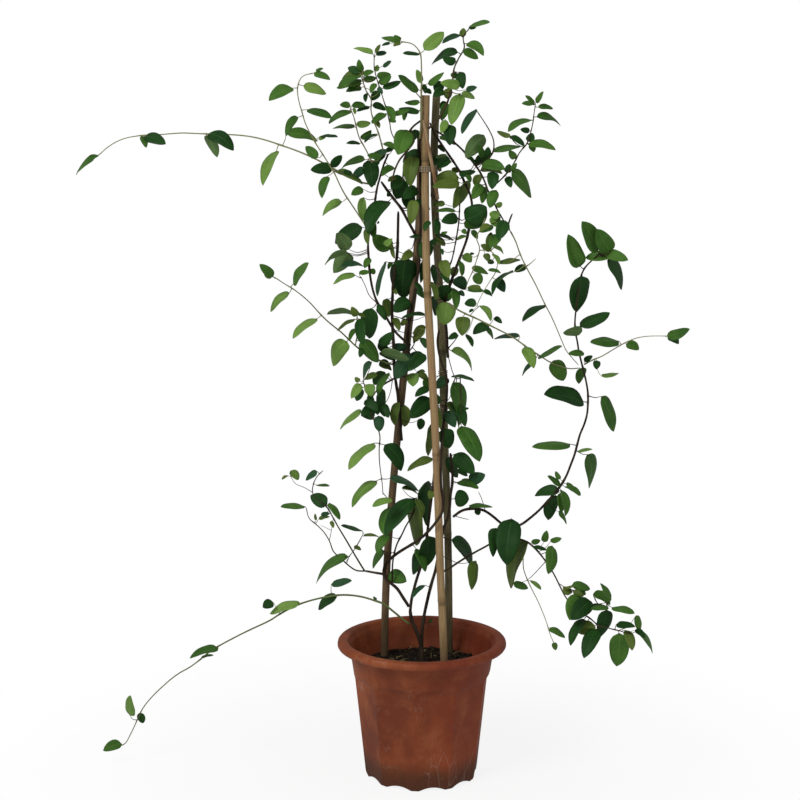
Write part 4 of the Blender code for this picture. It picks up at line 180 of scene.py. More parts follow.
SHOOTS = {
    "trunk": {
        "stems": [
            (8, 5, [(0.1, 11.5, 0), (0.05, 15), (0, 18), (-0.35, 20), (-1, 21.6), (-1.55, 23),
                (-1.7, 24.3, -0.2)]),
            (5, 3.6, [(0, 17.5, 0), (0, 20.5), (0.12, 22), (0.3, 23.3), (0.6, 24.8), (0.9, 26.2), (1.2, 27.5),
                (1.5, 28.6), (1.9, 30, 0.7), (2.15, 31.3), (2.45, 33), (2.8, 35), (3.1, 36.4, 2.4),
                (3.5, 37.3), (3.9, 38.6, 2.6), (3.85, 40), (4.1, 41.5), (4.25, 43), (4.2, 44.6, 3),
                (3.95, 47, 3.2)]),
            (4.4, 3, [(-1.7, 24.2, -0.2), (-1.55, 25.2), (-1.4, 26.2), (-1.15, 27.2), (-0.9, 28.2),
                (-0.6, 29.2), (-0.3, 30.2), (0.05, 31.2, 0), (0.4, 33), (0.8, 36), (1.15, 39, 0.4), (1.6, 43),
                (1.8, 47, 0.8), (1.7, 51), (1.5, 54.5, 1)]),
        ],
        "bark": "old",
        "leaves": [
            (0.5, 27.9, -1.45, 26, 0.75, "blue", -0.6), (4.1, 34.6, 7.4, 30, 1.7, "dark", -1.5),
            (7.6, 31.5, 7.25, 27.2, 1.5, "olive", -1.5), (1.5, 51, 1.1, 46.5, 0.9, "olive"),
            (1.5, 46.3, -2.1, 44.5, 1.15, "olive"), (0.3, 42.8, 1.2, 36.4, 2, "dark", 0.7),
            (1.6, 41.6, 1, 40.4, 1.1, "olive"), (4.5, 40.5, 6.6, 40.4, 2.4, "dark", -0.8),
            (4.4, 46.9, 7.3, 44.1, 2.3, "dark", -1), (3.3, 46.3, 5.1, 43.5, 1.5, "dark", 0.2),
            (6.5, 43, 8.8, 43.9, 1.8, "blue", -0.6), (5.3, 42.9, 8, 42.1, 1.1, "olive", -0.4),
            (1, 22.3, 1.5, 22.9, 0.4, "dark"), (0.2, 32.9, -1.35, 29.4, 1.6, "dark", 0.4),
            (0.9, 56.3, -1, 55.1, 1.1, "dark", 0.4), (1.2, 51.2, 0.75, 47, 1, "olive", -0.6),
            (4.8, 42.8, 7.9, 41.9, 1, "mid", -0.7), (4.9, 44.6, 6.4, 43.7, 0.9, "dark", -0.5),
        ],
    },
    "left_fork": {
        "stems": [
            (4.6, 3.2, [(-1.85, 24.7, -0.2), (-2.4, 25.6), (-3, 26.5), (-3.7, 27.6), (-4.15, 28.05, 1.8),
                (-4.6, 28.3), (-5.1, 28.8), (-5.5, 29.5, 3.1), (-5.42, 30.2), (-5.1, 30.9, 2.8), (-4.6, 31.5),
                (-3.9, 32.2), (-2.6, 33.1), (-1.6, 33.7), (-0.6, 34.4), (0.4, 35.2), (1.4, 36.3, -4.7),
                (2.2, 37.4, -4.8), (2.9, 38.7, -4.2), (3, 39.8), (2.75, 41.2), (2.6, 44), (2.65, 47, -1.2),
                (2.8, 49.5), (3, 51.5, -0.4), (3.3, 54), (3.45, 56, 0.8), (3.3, 58), (2.6, 60, 1),
                (2.1, 62.5), (2.3, 64.5, 1.6)]),
        ],
        "bark": "old",
        "leaves": [
            (-0.9, 33.3, 0.6, 29.9, 1.2, "mid", -0.5), (0.95, 35.1, 0.55, 30.3, 2.5, "dark"),
            (-4.85, 29.3, -2.25, 28.4, 2.1, "mid", -0.5), (3.2, 50.5, 3.8, 47.6, 2.3, "dark", -0.8),
            (3.2, 53, 4.6, 50.7, 1.6, "blue", -0.3), (3.7, 57.6, 2, 56.2, 1.4, "blue", -0.4),
            (1.2, 54.9, -1.7, 52, 2.4, "dark", 0.6), (1.6, 58, 0.9, 56.8, 0.9, "olive", 0.4),
            (2.5, 54, 1.6, 55.6, 0.9, "dark", -1.8), (0.2, 57.6, 0.8, 55.6, 0.9, "mid", -0.4),
            (2.2, 54, 2.6, 50.4, 0.7, "olive", -0.6),
        ],
    },
    "left_twiggy_branch": {
        "stems": [
            (3.6, 3, [(-5.62, 29.5, 3.1), (-6.5, 29.65), (-7.4, 29.8), (-8.1, 29.95, 3.8)]),
            (2.4, 1.1, [(-8, 29.9, 3.8), (-9, 29.9), (-9.8, 30.3), (-10.7, 31), (-11.5, 31.8), (-12.3, 32.5),
                (-12.8, 33.3), (-13.1, 34.4, 4.6), (-13.6, 35.3), (-14.4, 36.1), (-15, 36.8), (-15.8, 37.4),
                (-16.1, 38.2), (-16.3, 39.1, 5)]),
            (2.6, 1.2, [(-8.1, 29.9, 3.8), (-8.6, 30.8), (-9.15, 31.6), (-9.9, 33), (-11.1, 35.1),
                (-11.8, 36.3), (-12.6, 37.8), (-13.4, 39.2, 3), (-14.5, 40.2), (-15.4, 41.2), (-15.3, 42.4),
                (-15.2, 43.2, 2.4), (-14.5, 43.8), (-13.9, 44.5, 2)]),
            (1.1, 0.8, [(-10.7, 31, 4.1), (-10.2, 32.2), (-9.5, 33.1), (-9, 33.9), (-8.4, 35.1, 2.6)]),
            (1.1, 0.8, [(-13.1, 34.4, 4.6), (-12.8, 35), (-12.9, 35.6), (-12.7, 36.4, 4)]),
            (1, 0.7, [(-15.4, 41.3, 2.7), (-16.2, 41.9), (-17, 42.2), (-17.9, 42.7), (-18.5, 43.8, 1.6)]),
            (0.9, 0.6, [(-10.8, 31.1, 4.1), (-9.4, 33.4), (-8.2, 35.5, 4.6)]),
            (0.8, 0.5, [(-12.9, 35.9, 4.2), (-13.5, 36.2), (-14.3, 36.6, 5.2)]),
        ],
        "bark": "twig",
        "leaves": [
            (-16.4, 39.3, -19.9, 39.3, 0.9, "mid"), (-13.3, 39.6, -15.7, 40.9, 2, "dark"),
            (-13.1, 39.9, -11.6, 37.4, 1, "mid"), (-14.7, 44.4, -16.4, 43.1, 0.9, "blue"),
            (-14.9, 42.4, -13, 42.3, 0.4, "mid"), (-18.5, 44.5, -17.3, 43.1, 1.2, "fresh"),
            (-18.8, 43.8, -19.7, 43.2, 0.4, "olive"), (-14.6, 37.5, -13, 37.9, 0.5, "olive"),
            (-14.3, 38.1, -13, 38.3, 0.7, "blue"), (-14.9, 37.3, -15.1, 38.3, 0.4, "olive"),
            (-12.9, 37.2, -12.5, 36.2, 0.6, "olive"), (-10.3, 32.1, -15, 28.1, 1.2, "mid"),
            (-8.4, 35.8, -11.4, 36.6, 0.6, "dark"), (-8.3, 35, -6, 35, 0.45, "olive"),
            (-9.6, 33.6, -8.6, 33, 0.6, "olive"),
        ],
    },
    "left_low_runner": {
        "stems": [
            (3, 1.3, [(-1.75, 22.1, -0.9), (-2.5, 22.7), (-3.4, 23.4), (-4.2, 24.1), (-5.3, 25), (-6.5, 25.5),
                (-8, 26), (-9.5, 26.3), (-11, 26.4), (-12.5, 26.3), (-15, 25.8), (-17.5, 25), (-20, 23.7),
                (-21.7, 22.6, 0.5), (-25, 21), (-28, 19.4), (-30, 18.2), (-32.7, 16), (-35, 14.6),
                (-37, 12.9), (-38.7, 11.2), (-40, 9.5), (-40.9, 7.6), (-41.7, 5.9), (-42.7, 4.2),
                (-44, 3.7, 1.9)]),
        ],
        "bark": "green",
        "leaves": [
            (-12.9, 28, -10, 28.6, 1.1, "blue"), (-12, 26.2, -14.8, 24.3, 1.4, "dark"),
            (-21, 25.3, -22.6, 24.6, 1.4, "dark"), (-17.2, 25.2, -21.7, 23.8, 1.3, "fresh"),
            (-28.9, 18.6, -33.1, 17.1, 1.15, "mid"), (-31.5, 17, -29.7, 17.6, 0.4, "mid"),
            (-41.8, 8.4, -41.8, 11.4, 1.3, "fresh"), (-40.5, 8.9, -39.9, 7.3, 1.15, "dark"),
            (-43.1, 4.3, -45.8, 3.2, 1.5, "mid"), (-6.4, 25.7, -6.9, 26.2, 0.4, "dark"),
        ],
    },
    "inner_left_shoot": {
        "stems": [
            (2.4, 2, [(-4.2, 28.4, 1.6), (-4.2, 30, 1.2), (-4.1, 31.5), (-3.8, 33), (-3.4, 34.2), (-3, 34.9),
                (-2.5, 36), (-2.1, 36.8), (-1.6, 37.6), (-1.2, 38.6), (-0.95, 39.6), (-0.8, 40.6, -0.8)]),
        ],
        "bark": "old",
        "leaves": [
            (-1, 40.6, -5.3, 35.1, 2.4, "dark", 0.4), (-0.9, 40.2, -1.3, 33.5, 2.2, "olive", -0.5),
            (-0.8, 40.5, 0.1, 37.9, 1, "olive"), (-2.9, 42, -0.4, 40.9, 0.45, "olive"),
            (-4.6, 35.3, -6.4, 32.5, 1.4, "mid", 1), (-5.3, 32.9, -7, 30.3, 1, "mid", 1),
            (-4.6, 39.3, -5.4, 35.2, 1.6, "mid", 0.6),
        ],
    },
    "right_lower_branch": {
        "stems": [
            (3.2, 1.5, [(2.3, 29.5, 0.9), (3.2, 29.9), (4.1, 30.5), (5, 31.1, 1.4), (7, 32.4), (8.5, 33.2),
                (10, 34.1), (12, 34.9), (14.5, 34.3), (15.4, 33.8), (16.5, 32.6), (17.6, 31.2),
                (18.6, 29.6, -1.5), (19.4, 28), (20, 26.8), (20.7, 25.6), (22, 24.2), (23.5, 23.3), (25, 22),
                (27, 21.4), (28.2, 21.1, -4)]),
            (1.2, 0.8, [(19.4, 28.1, -1.8), (20.5, 27.4), (21.6, 27.1, -2.6)]),
            (1.4, 0.9, [(22.9, 23.7, -2.9), (24, 24.4), (25.4, 25.2), (26.4, 25.3, -3.8)]),
        ],
        "bark": "twig",
        "leaves": [
            (12.6, 37.7, 12, 30.8, 3.5, "dark", -0.6), (15, 34.2, 12.2, 27.4, 2.3, "olive", -0.2),
            (10.5, 36.3, 10.1, 32, 1.6, "dark", 0.5), (12.9, 28.1, 15.1, 27.4, 1.1, "mid", 0.4),
            (15.6, 33.5, 17.6, 33, 0.6, "dark"), (18.1, 34.2, 19.7, 34.8, 0.8, "mid"),
            (18.4, 33.7, 17.9, 29.5, 1.7, "mid", 0.5), (21.2, 27.9, 23.9, 27.3, 1.3, "mid"),
            (20.1, 27.4, 21.7, 27.7, 0.4, "olive"), (21.6, 27, 23.3, 26.5, 1.1, "mid"),
            (24, 25.6, 21.3, 22.8, 2.6, "dark", 0.5), (24.2, 26.5, 26.8, 25, 1.3, "mid"),
            (26.9, 25.7, 25.3, 28.1, 0.9, "mid"), (23.9, 24.5, 26.5, 24.7, 0.8, "dark", 0.4),
            (26.9, 24.6, 30.2, 23.8, 1, "mid"), (26.3, 24.3, 25.5, 20.1, 2, "dark", 0.2),
            (23.1, 22.9, 21.1, 19, 1.4, "dark"), (24.7, 21.9, 22.3, 20.8, 1.9, "olive", -0.5),
            (25, 21.5, 23.1, 17.2, 2.3, "dark"), (28.1, 20.9, 27.8, 15.8, 2.8, "mid", -0.3),
            (28.9, 21.3, 30, 18.2, 1.3, "olive", 0.4), (30.6, 21.1, 33.1, 17.9, 0.8, "mid"),
            (27.6, 22.1, 30.3, 21.8, 1, "dark"), (30.4, 23.4, 31.1, 21, 1, "mid"),
            (17.2, 34.1, 17.6, 35.8, 1, "mid"), (15.4, 34.1, 16.7, 34.4, 0.8, "mid"),
            (22.6, 26.3, 21, 22.7, 2.6, "mid", -0.4), (21.2, 26.6, 20, 27.6, 1.1, "olive", 0.4),
            (21.4, 27, 22.9, 26.2, 0.9, "olive", -0.5), (24.3, 26.7, 26.4, 25.1, 0.9, "dark", 0.5),
            (26.5, 24.7, 24, 24.4, 0.8, "mid", -0.4), (23.5, 22.6, 21.8, 21.3, 1.3, "olive", 0.4),
            (30.3, 21.3, 31.8, 20.1, 0.9, "dark", 0.3),
        ],
    },
    "hanging_shoot": {
        "stems": [
            (1.5, 1, [(14.3, 32, 0.4), (14.4, 30.1), (15, 28.5), (15.7, 27), (16.7, 25), (17.4, 23.2),
                (18, 21.6), (18.4, 20), (18.9, 19.1, -1.2)]),
        ],
        "bark": "pale",
        "leaves": [
            (18.1, 21.6, 20.4, 20.1, 0.9, "mid"), (18.8, 19.4, 19.1, 18.2, 0.8, "mid"),
            (15.4, 28.6, 16.9, 27.2, 0.6, "fresh"),
        ],
    },
    "right_main_branch": {
        "stems": [
            (4, 2, [(4.35, 37.8, 2.2), (5.2, 38.5), (6.2, 38.9), (7.2, 39), (8.5, 38.8), (9.6, 38.2),
                (10.6, 37.3), (11.8, 36.5, 1.6), (13, 36.3), (14.4, 37), (16.5, 38.8), (18, 40.5), (19.2, 42),
                (20, 43.2), (20.7, 45), (21.4, 47, 2.6), (22, 49.5), (22.9, 52), (23.1, 54.6), (23, 56),
                (22.7, 57.6), (22.2, 59.5, 1.5), (21.7, 61.5), (21.4, 63.3), (21.1, 65), (21.3, 68),
                (21.9, 72.2, 0), (23.2, 74), (24.5, 75.2, -0.6)]),
            (1.3, 0.9, [(4.4, 37.3, 2.2), (5.1, 37.3), (5.7, 37.8), (6.6, 37.4, 1.8)]),
            (1.2, 0.8, [(9.2, 39, 1.9), (8.5, 40.1), (7.9, 41.5, 1.2)]),
        ],
        "bark": "old",
        "leaves": [
            (21.8, 73.2, 20, 77.7, 2.4, "mid"), (21.9, 72.1, 21.5, 66.8, 2.6, "dark", -0.4),
            (24.2, 75.4, 21.9, 79.5, 2.5, "mid"), (26.1, 74.8, 22.4, 74.6, 1.5, "mid", 0.6),
            (25.2, 75.2, 28.3, 74.2, 1.6, "mid"), (25.4, 74.3, 27.8, 70.1, 1.5, "dark"),
            (22.2, 64.3, 19.4, 64.2, 1.3, "under"), (21.7, 64.9, 25.9, 66.9, 1.7, "dark"),
            (22.5, 61.2, 20.3, 61.2, 0.9, "mid"), (22.5, 59.2, 21.8, 56.8, 1.3, "mid", 0.6),
            (22.6, 54.3, 17, 55.4, 2.4, "dark", -0.2), (24.9, 55.2, 27, 50.1, 1.8, "mid"),
            (20.8, 48.3, 15.4, 47.9, 1.3, "mid"), (23.1, 46.9, 23.7, 41.9, 1.6, "mid"),
            (21.8, 47.3, 23.8, 47.6, 0.5, "fresh"), (19.4, 41.6, 15.8, 40.9, 1.5, "dark"),
            (19.5, 42.3, 17.7, 43.8, 0.8, "mid"), (20.2, 42.6, 22.2, 40.9, 0.7, "mid"),
            (19.5, 41.8, 20.3, 38, 1.1, "mid"), (18.8, 41, 17.8, 37.3, 1.9, "dark", 0.5),
            (6.6, 39.5, 9.9, 39.4, 0.6, "mid", -0.5), (7.5, 38.9, 8.1, 38.1, 0.9, "dark"),
            (20, 42.2, 22.3, 40.9, 0.7, "mid", 0.3), (19.4, 43.2, 18.7, 44.4, 0.7, "mid"),
            (19.4, 41.3, 19.6, 38.4, 1.2, "mid", -0.4), (19.2, 38.6, 20.5, 36.8, 0.6, "mid"),
            (25.9, 75.3, 24, 78.4, 2.4, "mid", 0.5),
        ],
    },
    "right_tendril": {
        "stems": [
            (1.8, 1, [(22.5, 59.6, 1.5), (23.6, 60.2), (25, 60.8), (28, 62.6), (30, 63.4), (32, 63.6),
                (33.8, 63.6, -1.5)]),
        ],
        "bark": "pale",
        "leaves": [
            (33.8, 63.6, 37, 64.6, 1.4, "mid"), (34, 63.5, 35.6, 62.5, 1.1, "dark"),
            (27.3, 62.9, 23.3, 62.7, 1.4, "mid"), (28.2, 62.5, 30.1, 61.7, 1.3, "mid"),
            (24.2, 60.2, 24.2, 58.9, 1.1, "dark"), (24.9, 57.9, 27.3, 58.4, 0.6, "fresh"),
            (22.4, 60.1, 23.6, 60.8, 0.8, "dark"),
        ],
    },
    "right_cross_stem": {
        "stems": [
            (2.4, 1.6, [(3.6, 68.2, -1.2), (5, 67.2), (6, 66.7), (8, 65.8), (9.5, 65), (11.5, 64),
                (13.5, 62.8), (14.5, 62), (16.5, 60.7), (18, 59.8), (20.5, 59), (21.9, 59.1, 1.4)]),
            (1.2, 0.9, [(6.6, 66.5, -1), (7.3, 67.3), (7.9, 67.8, -1)]),
        ],
        "bark": "pale",
        "leaves": [
            (9.3, 65.1, 7, 63.9, 1.4, "dark"), (8.8, 64.7, 9.9, 63.2, 0.6, "mid"),
            (9.9, 66.2, 11, 65.4, 0.8, "dark"), (13.6, 63.6, 9.9, 63.2, 0.65, "blue"),
            (7.9, 67.9, 9.5, 65.7, 0.9, "fresh"), (7.5, 68.2, 5.8, 68.1, 1.2, "dark"),
            (14.1, 62.1, 15.5, 59.1, 1.7, "fresh"), (15.2, 59.8, 13.8, 58, 0.5, "blue"),
            (16, 60.4, 19.3, 62.3, 0.7, "mid"), (18.1, 60.2, 19.7, 57.2, 2.3, "mid"),
            (5.6, 66.4, 5.5, 63.7, 2.1, "olive", -0.6), (3.5, 68.4, 3, 65.1, 2.7, "fresh", -0.8),
            (6, 63.9, 7, 62.1, 0.7, "dark", -0.6),
        ],
    },
    "right_pale_stem": {
        "stems": [
            (1.8, 1.2, [(12.1, 78.1, -3.2), (12.6, 77.2), (13.1, 76), (13.5, 74.8), (14.4, 73), (15.7, 70.6),
                (16.8, 68.3), (18, 66), (19.3, 63), (20, 61.5), (21.7, 59.5, 0.9)]),
            (1.6, 1, [(14.2, 73.3, -2.3), (15.1, 73.9), (15.6, 74.4, -2)]),
        ],
        "bark": "pale",
        "leaves": [
            (17, 68, 13.8, 65.7, 1, "dark"), (14.3, 73.3, 12.6, 72.6, 1, "dark"),
            (12.6, 72.6, 9.5, 69.6, 0.5, "dark"), (10.4, 73.7, 13.5, 74.3, 0.75, "olive"),
            (11.4, 79.7, 10.4, 77, 1.8, "dark"), (11.9, 79.2, 10.1, 76, 0.5, "fresh"),
        ],
    },
    "column_right_twigs": {
        "stems": [
            (1.6, 1.1, [(3.2, 61.5, 1.6), (3.6, 61.9), (4.3, 62.7), (5, 63.7, -0.4)]),
            (1.4, 1, [(3.4, 57.9, 0.9), (4.6, 57.9), (5.5, 57.7, 0)]),
        ],
        "bark": "twig",
        "leaves": [
            (4.9, 63.9, 3.6, 63.2, 0.9, "dark"), (3.9, 61.6, 7, 58.8, 1, "fresh", -1),
            (4, 57.9, 7.2, 57.3, 0.5, "dark"), (4.2, 57.2, 5.6, 51, 2, "mid", -0.6),
            (4.1, 54.3, 6.1, 50.9, 1.6, "dark", 0.8), (3.3, 54.2, 5.3, 50.4, 0.9, "olive", -1.4),
            (5.4, 51, 8.1, 45.9, 2.5, "mid", -0.4), (4, 55.6, 5, 55, 0.8, "dark", 0.8),
            (5.8, 53.3, 6.5, 53.4, 0.4, "dark"),
        ],
    },
    "column_left_climber": {
        "stems": [
            (4.6, 3.6, [(-2.9, 48.8, 1.7), (-3.05, 50.5), (-3.15, 52.5), (-3.3, 54.3), (-3.45, 55.6),
                (-3.7, 57.2, 1.2), (-3.9, 58.8), (-3.95, 60.5), (-4, 62.5), (-4.1, 64, 0.6), (-4.2, 66),
                (-4.2, 68), (-4.1, 70), (-4, 72), (-3.75, 73.6), (-3.5, 75, 0.4), (-3.4, 78),
                (-3.35, 80.9, 0.2)]),
        ],
        "bark": "old",
        "leaves": [
            (-3.3, 54.4, -3.9, 51, 1.3, "olive", -0.5), (-2.4, 53.9, -2.6, 50.7, 1.7, "olive", -0.6),
            (-1.5, 58.4, -1.3, 56.5, 1.8, "fresh"), (-0.1, 52, -0.35, 50.3, 1.2, "dark", -0.2),
            (-1.4, 61, -3.7, 57.6, 2.3, "blue"), (0.3, 60.9, -2.9, 59.4, 1.8, "blue"),
            (-5.8, 61.2, -1.8, 60.4, 1.4, "under", -1.4), (-4.2, 62, -2, 62.1, 1.2, "blue"),
            (-6.1, 62.3, -4.2, 64.1, 1.4, "dark"), (-6, 60, -4.5, 59, 1.3, "blue", -0.4),
            (-4, 66.2, -3.2, 64.4, 1, "olive"), (-5, 68.9, -4.7, 66.2, 1.3, "olive"),
            (-1.6, 68.5, -4, 67, 2, "dark", 0.4), (-2.3, 74.6, -2.6, 68.7, 3.6, "dark", -0.8),
            (-1.3, 75.3, -2.9, 74.2, 1.2, "olive", -0.2), (-4.1, 75.9, -6.9, 77.6, 2.2, "mid", -0.2),
            (-5.1, 74.1, -6.3, 69.2, 0.7, "blue"), (-4.2, 73.9, -4.8, 72.9, 0.6, "mid"),
            (-4.1, 70.2, -3.6, 69.4, 0.6, "olive"), (0.5, 64.9, -1.4, 63.9, 0.9, "olive", 0.8),
            (0.7, 66.5, -3, 66.1, 0.5, "dark", 0.3), (0.4, 58.6, -1, 58.3, 0.5, "olive", 0.3),
            (-5.3, 76.2, -4.2, 77.1, 0.9, "fresh", -0.8), (-6.1, 59.6, -4.2, 58.8, 0.9, "olive", 0.4),
            (-6, 61.3, -4, 60.2, 1, "dark", 0.5), (-6.2, 62.6, -4.6, 60.8, 1.3, "dark", -0.5),
            (-4.4, 76.6, -3.9, 74.4, 0.6, "olive"),
        ],
    },
    "left_arch": {
        "stems": [
            (4.2, 3.4, [(-0.85, 77.4, 1.4), (-1.3, 78.3), (-1.9, 79.3), (-2.7, 80.9, 0.6), (-3.3, 81.8),
                (-4.2, 82.9), (-5, 84), (-5.7, 85, 0.6)]),
            (1.3, 0.9, [(-0.9, 76.2, 1.6), (-1.5, 75.8), (-2.1, 75.7, 1.2)]),
        ],
        "bark": "old",
        "leaves": [
            (-1.2, 82.6, -1.65, 79.2, 1.7, "olive", -0.8), (-2.2, 83.9, -1.5, 81, 2, "dark", -0.4),
            (-4.7, 82.9, -4.8, 83.6, 0.4, "dark"), (-1, 82.5, 1.1, 81.2, 0.7, "dark", -1.6),
            (-2.5, 85.4, -4.3, 84, 1.9, "dark", -0.4), (-0.8, 82, -0.75, 79.1, 0.35, "mid", -0.8),
            (-4.6, 82.4, -7.6, 78, 2.2, "dark", -0.6), (-2.5, 85.3, -3.6, 82.6, 2.2, "dark", -0.6),
        ],
    },
    "left_bow": {
        "stems": [
            (3.6, 2.6, [(-1.7, 62.3, 1), (-2.4, 62.9), (-3, 63.4), (-3.6, 64, -0.4), (-4.3, 65), (-5, 66.2),
                (-5.5, 67.2), (-6.2, 68.2, -0.8), (-6.6, 69.2), (-6.9, 70.2), (-7.15, 71.5), (-7.35, 73.2),
                (-7.45, 75), (-7.5, 76.8, -0.6), (-7.2, 78.5), (-6.8, 80.2), (-6.55, 82), (-6.4, 83.4, 0),
                (-6.15, 84.5), (-5.9, 85.4), (-5.5, 86.7), (-5.1, 88), (-4.7, 88.8, -0.4)]),
            (1.4, 0.9, [(-6.3, 68.1, -0.9), (-6.9, 68.6), (-7.3, 69.2), (-7.9, 70.6), (-8.5, 71.9, -1.8)]),
        ],
        "bark": "old",
        "leaves": [
            (-6.2, 68.1, -5.2, 66.3, 0.9, "dark", -0.6), (-7, 67.6, -7.4, 63.2, 2.4, "dark", -0.8),
            (-8, 73.3, -11.2, 73.3, 0.8, "blue"), (-9.2, 72.1, -12.4, 71, 0.85, "fresh"),
            (-7.2, 74.5, -8, 73.1, 1, "mid"), (-7.1, 73, -6.6, 72.2, 0.8, "mid"),
            (-7.6, 78.7, -7.6, 76.4, 0.9, "olive", -0.4), (-8.2, 78.8, -12.1, 76.5, 2.2, "dark", -0.6),
            (-10.1, 75.6, -11.9, 78, 2, "under", -0.4), (-10, 75.2, -12.2, 72.5, 2.4, "under", -0.3),
            (-10.2, 75.1, -13.6, 73.7, 0.8, "under", -0.2), (-8.1, 82.9, -8.2, 79.6, 1.3, "fresh", -0.6),
            (-8.1, 84, -9.8, 83.2, 1.2, "mid", -0.6), (-6.2, 79.2, -6, 79.6, 0.3, "dark"),
            (-3.9, 87, -5.6, 85.8, 1, "mid", -0.4), (-3.6, 85.6, -4.8, 85, 0.7, "olive", -0.8),
            (-6.3, 67.6, -5.1, 65.8, 1.1, "dark", 0.4), (-8.8, 72.3, -7.2, 72.6, 0.7, "mid"),
            (-6.9, 79.4, -6.6, 77.2, 1.1, "mid", -0.3), (-4, 89.6, -5.2, 89, 0.7, "dark"),
            (-5.2, 89, -6.6, 87.4, 1, "dark", 0.4),
        ],
    },
    "column_core": {
        "stems": [
            (4.4, 3, [(-1.75, 60.3, 0.8), (-2, 62, 0.9), (-2.05, 64), (-1.65, 66.5, 1), (-1.3, 68.5),
                (-1, 70, 0.9), (-0.7, 72), (-0.45, 74, 0.8), (-0.7, 75.5), (-0.5, 77), (-0.25, 79, 0.3),
                (-0.35, 81.5), (-0.3, 84, -0.1), (-0.4, 86.8), (-0.35, 88.6), (-0.55, 90, -0.4), (-0.3, 91.4),
                (0, 92.8, -0.2)]),
            (1.6, 1, [(-0.4, 61.4, 0.4), (-0.8, 62.2), (-1.2, 63), (-1.9, 64.1, 0.2)]),
        ],
        "bark": "old",
        "leaves": [
            (0.6, 76.9, 0.1, 74.2, 2.1, "dark", -2.6), (1, 76.4, 1.9, 77.1, 0.8, "dark", -2.4),
            (1, 79.6, 0.2, 78.2, 0.8, "dark", -2.6), (-0.1, 89, -2.8, 87.6, 1.5, "dark", -0.8),
            (-1.2, 88.6, -1.7, 84.4, 2.2, "olive", -0.6), (-0.6, 92, -1.7, 90.4, 1.2, "dark", -0.2),
            (-0.8, 71.2, -0.1, 69.3, 0.8, "dark"), (-0.6, 58.4, 0.9, 57.2, 0.9, "olive", -0.4),
            (0.5, 61, -1.9, 58.7, 1.7, "dark", -0.3), (0.4, 64.6, -1.4, 62.6, 1.2, "olive", -0.8),
            (-0.2, 63.4, 0.5, 61.9, 0.9, "dark", -0.5), (-2.2, 66, -2.9, 65, 0.8, "olive", -0.4),
            (-0.8, 70, 0.3, 68.9, 0.9, "dark", -0.6), (0.2, 74.2, -0.4, 71, 0.8, "dark", -0.8),
            (-0.7, 84.1, -2.6, 82.7, 1.6, "dark", 0.5), (0.7, 77.6, -1.9, 77.5, 0.6, "dark", -2.2),
        ],
    },
    "column_right_climber": {
        "stems": [
            (4.2, 2.8, [(3.55, 60.6, 2.2), (3.4, 62.5, 1.6), (3.35, 64.5), (3, 66.4, 0.8), (3.2, 68.8, 0.4),
                (3.7, 70.3), (4, 71.4, 0.2), (4.35, 72.4), (4.8, 73.6), (5.1, 74.4), (5.45, 75.3),
                (5.8, 76.3), (6.1, 77.2), (6.3, 78.3, 0.4), (6.6, 79.6), (6.8, 81.2), (6.55, 83),
                (5.9, 84.5, 0.2), (5.3, 85.7), (4.9, 86.8), (4.1, 87.8), (3.5, 88.7), (2.8, 89.7), (2, 90.9),
                (1.3, 92.1), (0.95, 93, 0.2)]),
            (2, 1.6, [(2.95, 71.1, -0.9), (3.3, 71.9), (3.6, 72.9), (4, 74.1), (4.35, 75.7), (4.6, 77),
                (4.75, 78), (4.95, 79.4, -0.9), (5.05, 81), (5.1, 82.6), (5.3, 84.2, -0.5)]),
            (1.5, 1, [(5.15, 86.4, 0.2), (5.5, 86.7), (6.1, 86.6), (6.8, 86.75), (7.2, 87.2),
                (7.1, 88, -0.4)]),
        ],
        "bark": "old",
        "leaves": [
            (5.7, 79.8, 8.7, 81.5, 3.1, "dark", -0.8), (5.6, 79.3, 8.2, 78.9, 1.8, "mid", -0.3),
            (4.9, 80, 2.6, 79.5, 1.6, "dark", -0.2), (4.6, 80.9, 1.8, 81, 0.6, "mid", -0.6),
            (5.2, 84.4, 4.3, 81.3, 1.3, "olive", 0.6), (3.1, 81.9, 1.3, 81.8, 0.8, "olive"),
            (2, 80, 1.9, 77.7, 1, "dark"), (1.7, 77.6, 4.3, 77, 0.5, "dark", -0.6),
            (2.5, 77.8, 3.4, 78.1, 0.5, "mid"), (1.6, 77.2, 3.2, 76.2, 1, "olive"),
            (2.7, 74.2, 3.6, 71.7, 1.6, "olive", 0.3), (4.6, 73.3, 4.1, 71.8, 1.1, "olive", 0.6),
            (5.4, 78.4, 6, 77.8, 0.7, "mid"), (6.7, 78.3, 7.6, 77.1, 0.8, "mid"),
            (6.1, 77.6, 4.7, 77, 0.5, "fresh"), (4.3, 71.6, 6, 70.1, 1.7, "blue", -0.6),
            (5, 69.9, 5.8, 69.2, 0.7, "blue", -0.6), (3.3, 70.8, 3, 68.4, 1.9, "dark", -1),
            (4.4, 70.3, 4.7, 67.4, 1.2, "mid", -0.3), (5.5, 74.9, 6.8, 73.9, 1.2, "fresh"),
            (5.2, 74.1, 5.5, 72, 0.8, "mid"), (4, 87.7, -0.4, 86.7, 1.7, "dark", -2.2),
            (3.3, 88.5, 1.7, 88.3, 0.6, "under", -1), (5, 85.6, 1.3, 84.6, 2.2, "olive", -2.2),
            (4.9, 86, 7.2, 86.4, 0.9, "dark", -0.8), (5, 86.4, 3.9, 86.7, 0.8, "olive", 0.4),
            (2.5, 75.8, 2.8, 74.9, 0.5, "dark"), (1.3, 73.6, 1.9, 70.8, 0.9, "dark", -1.2),
            (1.2, 71.2, 1.9, 68.6, 0.9, "olive", -1.4), (1.3, 69.2, 1.9, 66.4, 0.9, "dark", -1.6),
